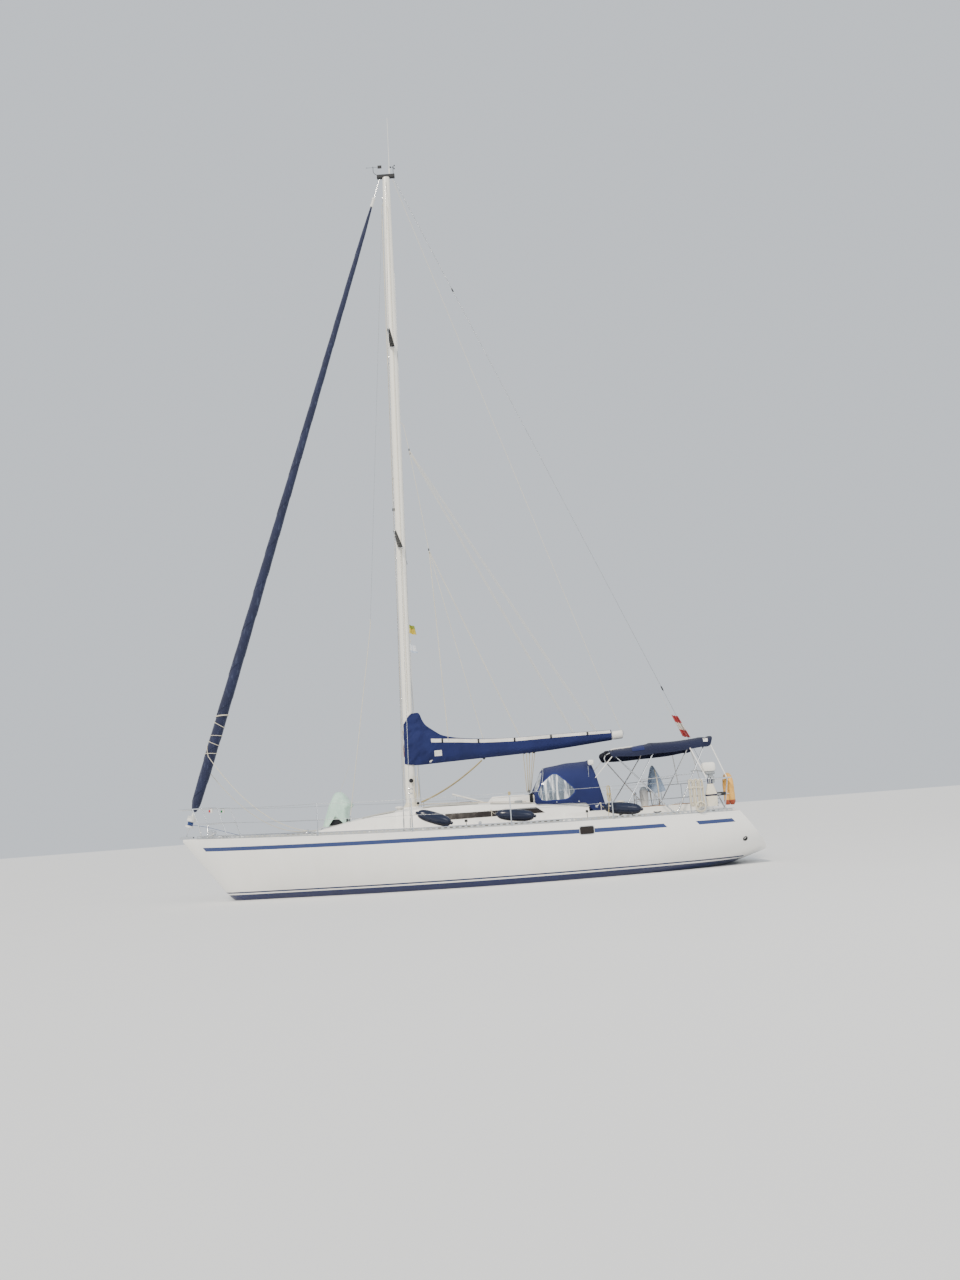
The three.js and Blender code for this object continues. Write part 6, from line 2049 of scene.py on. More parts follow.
# Across the strip: share of its width from the low edge, and how far it stands off the canvas
STRIPE_SECTION = [(0, 0.0005), (0.04, 0.005), (0.35, 0.006), (0.7, 0.006), (0.96, 0.005), (1, 0.0005)]


def lap(t):
    """A smooth step from 0 to 1."""
    t = min(1, max(0, t))
    return t * t * (3 - 2 * t)


def cover_profile(share):
    """Half width of the cover over its full half width, from the lacing below the boom up to its top edge."""
    return min(1, 0.22 + 0.78 * (1 - (1 - min(1, share / 0.42)) ** 2.4))


def creases(x, z, side):
    """How far the cloth stands in or out: hard creases by the mast, long shallow ones over the boom."""
    near = lap((x - 0.45) / 0.7)
    hard = noise.noise(Vector((x * 9 + z * 7, z * 3.4 - x * 1.6, side * 7)))
    fine = noise.noise(Vector((x * 22 + z * 15, z * 8 - x * 4, side * 3 + 9)))
    long = noise.noise(Vector((x * 2.6 - z * 3.4, z * 7 + x * 0.6, side * 5 + 4)))
    hang = noise.noise(Vector((x * 9, z * 1.6, side * 4 + 20)))
    between_clips = math.sin(math.pi * (x - CLIP_XS[0]) / (CLIP_XS[0] - CLIP_XS[1])) ** 2
    pull = math.sin(24 * z + 9 * x + 5 * hard + 2 * side)
    over_mast = 0.026 * hard + 0.009 * fine + 0.013 * pull * lap((x - 1.0) / 0.5)
    over_boom = 0.006 * long + 0.005 * hang + 0.002 * fine + 0.003 * between_clips
    return between(over_boom, over_mast, near)


def on_cover(x, share, side, out=0.0, nose=0.0):
    """A point of the cover, by x, share of its height, side, distance off it and angle round the mast."""
    low, top, half, narrow = (column(COVER, number, x) for number in (2, 1, 3, 4))
    z = between(low, top, share)
    around_mast = lap((x - 1.30) / 0.28)
    body = between(cover_profile(share), 1 - 0.12 * (1 - lap(share / 0.06)), around_mast)
    y = between(half * body, narrow, lap((share - 0.62) / 0.38)) + creases(x, z, side) + out
    if not nose:
        return Vector((x, side * y, z))
    ahead = MAST["long"] + 0.014 + 0.3 * abs(creases(x, z, side)) + out
    return Vector((mast_x(z) + ahead * math.sin(nose), side * y * math.cos(nose), z))


def panel(points, shape=None):
    """A sheet through a grid of points."""
    return (shape or Shape()).loft(points, closed=False)


class AddSailCover(bpy.types.Operator):
    """Adds the mainsail cover: one piece of cloth laced round the mast and along the boom."""

    bl_idname = "sloop.sail_cover"
    bl_label = "Mainsail cover"

    def execute(self, context):
        shares = spaced(34, 0, 1)
        cover, self.edges = Shape(), []
        mast_middle = mast_x(3.0)
        for side in SIDES.values():
            rings = [[on_cover(x, share, side) for share in shares]
                     for x in spaced(170, COVER_AFT, mast_middle)]
            for nose in spaced(7, 0, COVER_EDGE)[1:]:
                ahead = mast_middle + 0.11 * math.sin(nose)
                rings.append([on_cover(ahead, share, side, nose=nose) for share in shares])
            panel(rings, cover)
            self.edges.append(rings[-1])
        lid, keel = [], []
        for x in spaced(150, COVER_AFT, 1.58):
            port, starboard = on_cover(x, 1, 1), on_cover(x, 1, -1)
            arch = [port.lerp(starboard, t) + Vector((0, 0, 0.03 * t * (1 - t) * lap((1.5 - x) / 0.4)))
                    for t in spaced(9, 0, 1)]
            lid.append(arch)
            keel.append([on_cover(x, 0, 1), on_cover(x, 0, -1)])
        panel(lid, cover)
        panel(keel, cover)
        cloth = cover.piece("sail_cover", "navy_canvas", body=None, sharp=80)
        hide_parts("boom_cover", "mast_cover")
        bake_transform(cloth)
        strips = self.add_strips()
        lacing = self.add_lacing()
        return {"FINISHED"}

    def add_strips(self):
        """The pale strip that carries the lazy jacks' clips on each side, the seams, and a plain patch."""
        tape, seams, clips = Shape(), Shape(), Shape()
        fore, aft = COVER_STRIPE[0][0], COVER_STRIPE[-1][0]

        def share_at(x, z):
            low, top = column(COVER, 2, x), column(COVER, 1, x)
            return min(0.998, (z - low) / (top - low))

        for side in SIDES.values():
            rows = []
            for x in spaced(130, fore, aft):
                top, wide = column(COVER_STRIPE, 1, x), column(COVER_STRIPE, 2, x)
                rows.append([on_cover(x, share_at(x, top - wide * (1 - t)), side, out)
                             for t, out in STRIPE_SECTION])
            panel(rows, tape)
            for x in CLIP_XS:
                top, wide = column(COVER_STRIPE, 1, x), column(COVER_STRIPE, 2, x)
                at = on_cover(x, share_at(x, top - wide / 2), side, 0.010)
                reach = wide / 2 + 0.004
                clips.block((at.x - 0.019, at.y - 0.012, at.z - reach),
                            (at.x + 0.019, at.y + 0.012, at.z + reach), 0.008)
            for x in SEAM_XS:
                seam = [[on_cover(x + h, share, side, 0.0022) for share in spaced(30, 0.05, 0.80)]
                        for h in (-0.014, 0.014)]
                panel(seam, seams)
        for edge in self.edges:
            seams.tube(edge, 0.0065, 8)
        patch = [[on_cover(x, share_at(x, z), 1, 0.0035) for z in spaced(7, 2.70, 2.82)]
                 for x in spaced(9, 1.165, 1.005)]
        panel(patch, tape)
        return [tape.piece("cover_strips", "tape_canvas", body="boom"),
                seams.piece("cover_seams", "navy_canvas", body="boom"),
                clips.piece("cover_clips", "black_plastic", body="boom")]

    def add_lacing(self):
        """A line laced in zigzag across the front of the mast, between the cover's two edges."""
        line = Shape()
        path = []
        count, inset = 17, 3
        for i in range(count - 2 * inset):
            for edge, share in ((self.edges[i % 2], 0.0), (None, 0.5)):
                number = (i + inset + share) * (len(self.edges[0]) - 1) / (count - 1)
                if edge:
                    path.append(edge[round(number)] + Vector((0.008, 0, 0)))
                else:
                    z = self.edges[0][round(number)].z
                    path.append(Vector((mast_x(z) + MAST["long"] + 0.010, 0, z)))
        line.tube(smooth_path(path, 4), 0.006, 8)
        return line.piece("cover_lacing", "maroon_rope")


# Canopies, as arches from the front: x at crown and feet, half width, height of feet and crown, squareness
DODGER = [
    (-0.86, -0.87, 1.165, 1.530, 1.765, 5.0),
    (-1.11, -0.96, 1.165, 1.510, 2.262, 3.6),
    (-1.60, -1.50, 1.165, 1.490, 2.330, 3.3),
    (-2.04, -1.935, 1.160, 1.472, 2.345, 3.2),
    (-2.046, -1.985, 1.158, 1.308, 2.345, 3.2),
    (-2.07, -2.29, 1.150, 1.298, 2.345, 3.2),
]
BIMINI = [
    (-2.46, -2.53, 1.000, 2.362, 2.502, 4.0),
    (-2.58, -2.60, 1.003, 2.355, 2.522, 4.0),
    (-3.42, -3.42, 1.010, 2.362, 2.608, 4.0),
    (-4.46, -4.42, 1.000, 2.428, 2.648, 4.0),
    (-4.65, -4.56, 0.995, 2.445, 2.650, 4.0),
]


def arch_point(row, angle, inset=0.0):
    crown_x, foot_x, half, foot, crown, full = row
    up = abs(math.cos(angle)) ** (2 / full)
    return Vector((between(foot_x, crown_x, up), (half - inset) * power(math.sin(angle), 2 / full),
                   between(foot, crown - inset, up)))


def even_arch(row, count, inset=0.0):
    """Points at equal distances over an arch, from the starboard foot to the port foot."""
    fine = [arch_point(row, angle, inset) for angle in spaced(241, -math.pi / 2, math.pi / 2)]
    return evenly(fine, count)


def canopy(rows, steps, count, sag=0.0, ease=3):
    """Arches between the given ones. Folds over the bows are eased, and the cloth between them sags."""
    arches = []
    for a, b, number in zip(rows, rows[1:], steps):
        ring_a, ring_b = even_arch(a, count), even_arch(b, count)
        for t in spaced(number + 1, 0, 1)[:-1]:
            ring = [p.lerp(q, t) for p, q in zip(ring_a, ring_b)]
            for point in ring:
                point.z -= sag * 4 * t * (1 - t)
            arches.append(ring)
    arches.append(even_arch(rows[-1], count))
    for _ in range(ease):
        eased = [[(p + q * 2 + r) / 4 for p, q, r in zip(*three)]
                 for three in zip(arches, arches[1:], arches[2:])]
        arches = [arches[0], *eased, arches[-1]]
    return arches


def rounded_window(corners, bend):
    """A closed outline of pairs with rounded corners, run anticlockwise."""
    flat = [Vector((a, b, 0)) for a, b in corners]
    area = sum(p.x * q.y - q.x * p.y for p, q in zip(flat, [*flat[1:], flat[0]]))
    if area < 0:
        flat.reverse()
    start = (flat[0] + flat[-1]) / 2
    path = rounded_path([start, *flat, start], bend, 5)[:-1]
    return [(p.x, p.y) for p in path]


def cut_window(mesh, outline, axis, chosen, grow, finishes):
    """Cuts an outline and a wider one into the faces chosen, for the pane and its binding."""
    centre = Vector((sum(a for a, _ in outline), sum(b for _, b in outline))) / len(outline)
    wide = []
    for a, b in outline:
        off = Vector((a, b)) - centre
        wide.append(tuple(centre + off * (1 + grow / off.length)))
    place = (lambda a, b: Vector((a, 0, b))) if axis == "y" else (lambda a, b: Vector((0, a, b)))
    for number, ring in ((finishes[1], wide), (finishes[0], outline)):
        edges = list(zip(ring, [*ring[1:], ring[0]]))
        for (a0, b0), (a1, b1) in edges:
            normal = place(b1 - b0, a0 - a1).normalized()
            faces = [face for face in mesh.faces if chosen(face)]
            geometry = {item for face in faces for item in (face, *face.edges, *face.verts)}
            bmesh.ops.bisect_plane(mesh, geom=list(geometry), plane_co=place(a0, b0), plane_no=normal,
                                   dist=1e-5)
        for face in mesh.faces:
            if not chosen(face):
                continue
            middle = face.calc_center_median()
            if all(place(b1 - b0, a0 - a1).dot(middle - place(a0, b0)) < 1e-6
                   for (a0, b0), (a1, b1) in edges):
                face.material_index = number


# Corners of the dodger's windows: x and height for the sides, breadth and height in front
SIDE_WINDOW = [(-1.31, 2.13), (-1.02, 1.90), (-0.925, 1.70), (-1.00, 1.565), (-1.53, 1.565), (-1.72, 1.72)]
FRONT_WINDOW = [(0.06, 1.86), (0.06, 2.17), (0.74, 2.14), (1.03, 1.96), (1.08, 1.68), (0.70, 1.80)]
WINDOW_BINDING = 0.026
STUDS = [(-2.14, 1.415), (-1.75, 1.50), (-1.30, 1.52)]


class AddDodger(bpy.types.Operator):
    """Adds the spray dodger: canvas over three bows, with clear windows in front and at the sides."""

    bl_idname = "sloop.dodger"
    bl_label = "Dodger"

    def execute(self, context):
        arches = canopy(DODGER, (14, 12, 12, 2, 8), 91, sag=0.006)
        shape = panel(arches)
        cloth = shape.piece("dodger_cloth", "navy_canvas", "clear", "binding_canvas", replaces=["dodger"],
                            sharp=60)
        self.cut_windows(cloth)
        trims = [self.add_hems(arches), self.add_bows(), self.add_extras()]
        return {"FINISHED"}

    def cut_windows(self, cloth):
        made = bmesh.new()
        made.from_mesh(cloth.data)
        made.normal_update()
        side_faces = lambda face: abs(face.normal.y) > 0.45 and face.calc_center_median().x < -0.93
        cut_window(made, rounded_window(SIDE_WINDOW, 0.13), "y", side_faces, WINDOW_BINDING, (1, 2))
        made.normal_update()
        front_faces = lambda face: face.normal.x > 0.35 and abs(face.calc_center_median().y) < 1.12
        for side in (1, -1):
            pane = [(side * a, b) for a, b in FRONT_WINDOW]
            cut_window(made, rounded_window(pane, 0.08), "x", front_faces, WINDOW_BINDING, (1, 2))
            made.normal_update()
        made.to_mesh(cloth.data)
        made.free()
        shade(cloth.data, 60)

    def add_hems(self, arches):
        """Rolled hems at the front foot and the after edge, and a bolt rope over the front bow."""
        hems = Shape()
        count = len(arches[0])
        for ring, radius in ((arches[0], 0.009), (arches[-1], 0.010)):
            hems.tube(ring, radius, 8)
        for column_number in (0, count - 1):
            hems.tube([ring[column_number] for ring in arches], 0.007, 8)
        hems.tube([p + Vector((0.004, 0, 0.004)) for p in arches[14]], 0.007, 8)
        return hems.piece("dodger_hems", "navy_canvas")

    def add_bows(self):
        bows = Shape()
        for row in (DODGER[1], DODGER[3]):
            bows.tube(even_arch(row, 60, 0.022), 0.0115, 12)
        back = [p + Vector((0.03, 0, 0)) for p in even_arch(DODGER[5], 60, 0.030)]
        bows.tube(back, 0.0125, 12)
        for side in SIDES.values():
            foot = Vector((-2.10, side * 1.145, 1.37))
            for row in (DODGER[1], DODGER[3]):
                end = arch_point(row, side * math.pi / 2, 0.022)
                bows.tube([end, foot.lerp(end, 0.12)], 0.0115, 12)
            bows.block((foot.x - 0.03, foot.y - 0.014, foot.z - 0.02),
                       (foot.x + 0.03, foot.y + 0.014, foot.z + 0.03), 0.008)
        return bows.piece("dodger_bows", "steel")

    def add_extras(self):
        """The small white lamp at the port corner and the press studs along the foot."""
        extras, studs = Shape(), Shape()
        extras.block((-2.14, 0.93, 2.215), (-2.02, 1.03, 2.325), 0.025)
        lamp_piece = extras.piece("cockpit_lamp", "white_plastic")
        for side in SIDES.values():
            for x, z in STUDS:
                at = Vector((x, side * (DODGER[3][2] - 0.002), z))
                studs.lathe(TURNED["stud"], at, (0, side, 0), 16)
        studs.piece("dodger_studs", "steel")
        return lamp_piece


BOW_TUBE = 0.015
# Bows of the bimini: x and y of the feet, x of the top, height of the shoulder and of the crown
BOWS = {
    "forward": (-3.60, 1.37, -2.58, 2.390, 2.478),
    "middle": (-2.54, 1.44, -3.42, 2.420, 2.555),
    "after": (-3.68, 1.34, -4.46, 2.470, 2.595),
}


# Webbing on the port side: its place on the awning, and what it is made fast to
WEBBING = [
    ((-4.57, 0.99, 2.45), (-4.76, 1.25, PUSHPIT["top_z"])),
    ((-4.14, 1.005, 2.41), (-4.30, 1.53, PUSHPIT["top_z"])),
    ((-2.54, 0.99, 2.37), (-2.13, 1.10, 1.95)),
]


class AddBimini(bpy.types.Operator):
    """Adds the sun awning over the cockpit, on its three folding bows, slit for the backstay."""

    bl_idname = "sloop.bimini"
    bl_label = "Bimini"

    def execute(self, context):
        arches = canopy(BIMINI, (6, 16, 20, 6), 71, sag=0.020, ease=2)
        for ring in arches:
            for point in ring:
                point.z += noise.noise(Vector((point.x * 2.2, point.y * 3.0, point.z * 4))) * 0.008
        cloth = panel(arches).piece("bimini_cloth", "shade_canvas", sharp=60)
        self.cut_slit(cloth)
        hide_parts("bimini")
        trims = [self.add_hems(arches), *self.add_flaps(arches)]
        self.add_frame()
        self.add_straps()
        return {"FINISHED"}

    def cut_slit(self, cloth):
        half, fore = 0.018, -4.285
        made = bmesh.new()
        made.from_mesh(cloth.data)
        across, along = (0, 1, 0), (1, 0, 0)
        for place, normal in (((0, half, 0), across), ((0, -half, 0), across), ((fore, 0, 0), along)):
            everything = [*made.faces, *made.edges, *made.verts]
            bmesh.ops.bisect_plane(made, geom=everything, plane_co=place, plane_no=normal)
        inside = lambda face: abs(face.calc_center_median().y) < half and face.calc_center_median().x < fore
        bmesh.ops.delete(made, geom=[face for face in made.faces if inside(face)], context="FACES")
        made.to_mesh(cloth.data)
        made.free()

    def add_hems(self, arches):
        hems = Shape()
        for ring in (arches[0], arches[-1]):
            for half in (ring[:35], ring[36:]) if ring is arches[-1] else (ring,):
                hems.tube(half, 0.009, 8)
        for number in (0, len(arches[0]) - 1):
            hems.tube([ring[number] for ring in arches], 0.009, 8)
        for number in (6, 22, 42):
            pocket = [[p + Vector((h, 0, 0.0035)) for p in arches[number]] for h in (-0.035, 0.035)]
            panel(pocket, hems)
        return hems.piece("bimini_hems", "shade_canvas")

    def add_flaps(self, arches):
        """A pale flap rolled up at the front, a panel of lighter navy over the port edge that is a painted
        highlight where the sun falls on the top, and a square patch aft.
        """
        pale, strap = Shape(), Shape()
        roll = [p + Vector((0, 0.006, 0.014)) for p in (ring[58] for ring in arches[4:15])]
        pale.tube([p + Vector((0, 0, 0.004 * math.sin(9 * i))) for i, p in enumerate(roll)], 0.016, 12)
        rows = []
        for ring in arches[42:46]:
            rows.append([p + Vector((0, 0.004, 0.003)) for p in ring[-8:-3]])
        panel(rows, pale)
        # Painted highlight: a panel of the lighter navy canvas on the port side of the top stands for the
        # sunlit part of the awning.
        rows = []
        for ring in arches[13:19]:
            rows.append([p + Vector((0, 0.008, 0.006)) for p in ring[50:-3]])
        panel(rows, strap)
        pale_piece = pale.piece("bimini_flap", "tape_canvas")
        lit_patch_piece = strap.piece("bimini_lit_patch", "navy_canvas")
        return [pale_piece, lit_patch_piece]

    def add_frame(self):
        tubes, joints = Shape(), Shape()
        for foot_x, foot_y, top_x, shoulder, crown in BOWS.values():
            foot = (foot_x, foot_y, deck_top(foot_x, foot_y) + 0.005)
            half = [foot, (top_x, 0.93, shoulder), (top_x, 0.64, crown)]
            tubes.tube(rounded_path([*half, *mirrored(reversed(half))], 0.16, 9), BOW_TUBE, 14)
            for side in SIDES.values():
                at = (foot[0], side * foot[1], foot[2] - 0.003)
                joints.lathe(TURNED["bow_foot"], at, sides=20)
        for side in SIDES.values():
            fore = self.bow_at("forward", 0.545, side)
            for name, share in (("middle", 0.60), ("after", 0.55), ("after", 0.12)):
                mate = self.bow_at(name, share, side)
                start = self.bow_at("forward", 0.10, side) if share == 0.12 else fore
                joints.tube([start, mate], 0.008, 10)
                for point in (start, mate):
                    joints.lathe([(0.020, -0.016), (0.020, 0.016)], point, (0, 1, 0), 16)
        frame_piece = tubes.piece("bimini_frame", "steel", sharp=60)
        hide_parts("bimini_bow_forward", "bimini_bow_middle", "bimini_bow_after")
        joints.piece("bimini_joints", "steel")

    def bow_at(self, name, share, side):
        foot_x, foot_y, top_x, shoulder, _ = BOWS[name]
        return Vector((foot_x, side * foot_y, 1.17)).lerp(Vector((top_x, side * 0.93, shoulder)), share)

    def add_straps(self):
        """Webbing that holds the awning's ends down to the stern rail and forward to the dodger."""
        straps = Shape()
        for side in SIDES.values():
            for ends in WEBBING:
                a, b = (Vector((x, side * y, z)) for x, y, z in ends)
                width = Vector((0.011, 0, 0))
                rows = [[p - width, p + width] for p in (a.lerp(b, t) for t in spaced(7, 0, 1))]
                panel(rows, straps)
        straps.piece("bimini_webbing", "tape_canvas", outward=False)


# The wind scoop's outline from its peak down: height, aft edge, fore edge, half breadth
SCOOP = [
    (2.096, 3.240, 3.292, 0.040),
    (2.080, 3.204, 3.330, 0.115),
    (2.035, 3.155, 3.364, 0.175),
    (1.940, 3.092, 3.404, 0.224),
    (1.790, 3.008, 3.456, 0.254),
    (1.722, 3.088, 3.482, 0.262),
    (1.600, 3.104, 3.524, 0.274),
    (1.385, 3.108, 3.598, 0.286),
]
# The arch between the scoop's legs: where it is highest, how high, and how far it reaches forward and aft
ARCH = {"x": 3.341, "rise": 0.22, "fore": 0.155, "aft": 0.215}


class AddWindScoop(bpy.types.Operator):
    """Adds the nylon scoop that stands over the fore hatch, filled a little by the air, with its lines."""

    bl_idname = "sloop.wind_scoop"
    bl_label = "Wind scoop"

    def execute(self, context):
        rows = []
        for t in spaced(34, 0, 1):
            rows.append(self.level(t))
        cloth = panel(rows).piece("scoop_cloth", "nylon", replaces=["wind_scoop"], sharp=80)
        hem = Shape()
        hem.tube(rows[0], 0.007, 8)
        for end in (0, -1):
            hem.tube([row[end] for row in rows], 0.006, 8)
        hem_piece = hem.piece("scoop_hem", "nylon")
        lines = Shape()
        peak = rows[-1][len(rows[-1]) // 2]
        lines.tube([peak + Vector((0.02, 0, -0.01)), (2.98, 0.36, 2.62)], 0.003, 6)
        for side in SIDES.values():
            lines.tube([(3.56, side * 0.29, 1.40), (3.80, side * 0.45, deck_top(3.80, 0.45) + 0.01)], 0.003,
                       6)
            lines.tube([(3.12, side * 0.27, 1.42), (3.03, side * 0.36, roof_top(3.03, 0.36) + 0.005)], 0.003,
                       6)
        lines.piece("scoop_lines", "cream_rope")
        return {"FINISHED"}

    def level(self, t):
        """The cloth's edge at a share of its height, from the port side round the back to starboard."""
        low, high = SCOOP[-1][0], SCOOP[0][0]
        z = between(low, high, 1 - (1 - t) ** 1.2)
        back, fore, half = (column(SCOOP, number, z) for number in (1, 2, 3))
        corners = [(fore, half), (back, half * 0.96), (back, -half * 0.96), (fore, -half)]
        path = rounded_path([(x, y, 0) for x, y in corners], min(0.12, half * 0.6, (fore - back) * 0.4), 7)
        slack = math.sin(math.pi * min(1, t + 0.10))
        ring = []
        for point in evenly(path, 65):
            reach = ARCH["fore"] if point.x > ARCH["x"] else ARCH["aft"]
            arch = ARCH["rise"] * max(0, 1 - abs(point.x - ARCH["x"]) / reach)
            lift = arch * max(0, 1 - (z - low) / 0.50)
            fold = noise.noise(Vector((point.x * 8 + t * 2, point.y * 6, t * 2.2))) * 0.022
            fine = noise.noise(Vector((point.x * 17, point.y * 15, t * 6 + 8))) * 0.008
            out = Vector((point.x - (fore + back) / 2, point.y, 0)).normalized()
            shift = (fold + fine + 0.010) * slack
            ring.append(Vector((max(2.99, point.x + out.x * shift), point.y + out.y * shift, z + lift)))
        return ring


# Fenders: x and height of the forward end and of the after end
FENDERS = {
    "forward": ((1.42, 1.480), (0.93, 1.300)),
    "middle": ((-0.15, 1.360), (-0.72, 1.290)),
    "after": ((-2.29, 1.330), (-2.84, 1.262)),
}
FENDER_RADIUS, FENDER_Y = 0.118, 1.56
# The end of a fender: radius, and height as a share of the fender's radius
FENDER_END = [(0.012, -0.90), (0.030, -0.88), (0.034, -0.80), (0.031, -0.72), (0.036, -0.66)]


class AddFenders(bpy.types.Operator):
    """Adds the fenders lying inside the port lifelines, with moulded ends and their lanyards."""

    bl_idname = "sloop.fenders"
    bl_label = "Fenders"

    def execute(self, context):
        radius = FENDER_RADIUS
        for name, (high, low) in FENDERS.items():
            start, end = (Vector((x, FENDER_Y, z)) for x, z in (high, low))
            along = end - start
            long = along.length
            along.normalize()
            neck, end_share = FENDER_END[-1]
            profile = [(r, h * radius) for r, h in FENDER_END]
            for share in spaced(25, 0.012, 0.988):
                round_off = (1 - abs(2 * share - 1) ** 2.8) ** 0.52
                height = between(end_share * radius, long - end_share * radius, share)
                profile.append((between(neck, radius, round_off), height))
            profile += [(r, long - h * radius) for r, h in reversed(FENDER_END)]
            body = Shape().lathe(profile, start, along, 40)
            for middle, way in ((start, -1), (end, 1)):
                eye = [middle + along * way * (radius * 0.80)
                       + Vector((0.024 * math.cos(a), 0, 0.024 * math.sin(a)))
                       for a in spaced(19, 0, math.tau)]
                body.tube(eye, 0.010, 10, caps=False)
            body.piece("inflated_fender_" + name, "vinyl", replaces=["fender_" + name], sharp=35)
            self.add_lanyard(name, start - along * radius * 0.80)
        return {"FINISHED"}

    def add_lanyard(self, name, eye):
        """The short rope from the fender's eye up to the lifeline, with a clove hitch round the wire."""
        x = eye.x + 0.10
        rail_y = stanchion_y(x)
        high = deck_top(x, rail_y) + (LIFELINE - 0.012) * 0.5
        middle = (eye.x + 0.05, (FENDER_Y + rail_y) / 2, (eye.z + high) / 2 - 0.02)
        rope = Shape().tube(smooth_path([eye, middle, (x, rail_y, high)], 14), 0.005, 8)
        for offset in (-0.012, 0.002, 0.015):
            ring = [(x + offset, rail_y + 0.009 * math.cos(a), high + 0.009 * math.sin(a))
                    for a in spaced(13, 0, math.tau)]
            rope.tube(ring, 0.005, 8, caps=False)
        tail = [(x, rail_y, high), (x - 0.01, rail_y + 0.01, high - 0.06),
                (x - 0.005, rail_y + 0.012, high - 0.15)]
        rope.tube(smooth_path(tail, 8), 0.005, 8)
        rope.piece("fender_lanyard_" + name, "cream_rope")


# The lifebuoy: y and height of its arc's middle, radii of tube and arc, heights of the legs' ends and bends
BUOY = {"y": 0.36, "z": 1.59, "tube": 0.066, "reach": 0.212, "low": 1.203, "straight": 1.32}
OUTBOARD = {"x": -4.385, "y": 1.37, "half_length": 0.139, "half_width": 0.079}
# The cowl: height, then shares of its length and width; the leg: height, then share of its full section
COWL = [
    (1.897, 0.80, 0.85),
    (1.920, 0.94, 0.97),
    (1.985, 1.0, 1.0),
    (2.030, 0.99, 0.97),
    (2.060, 0.88, 0.84),
    (2.074, 0.66, 0.60),
]
OUTBOARD_LEG = [(1.86, 1.15), (1.70, 1.0), (1.34, 0.85), (1.24, 0.8)]
VALISE = {"x": (-4.448, -4.217), "y": (1.538, 1.650), "z": (1.207, 1.640), "strap_z": 1.42}


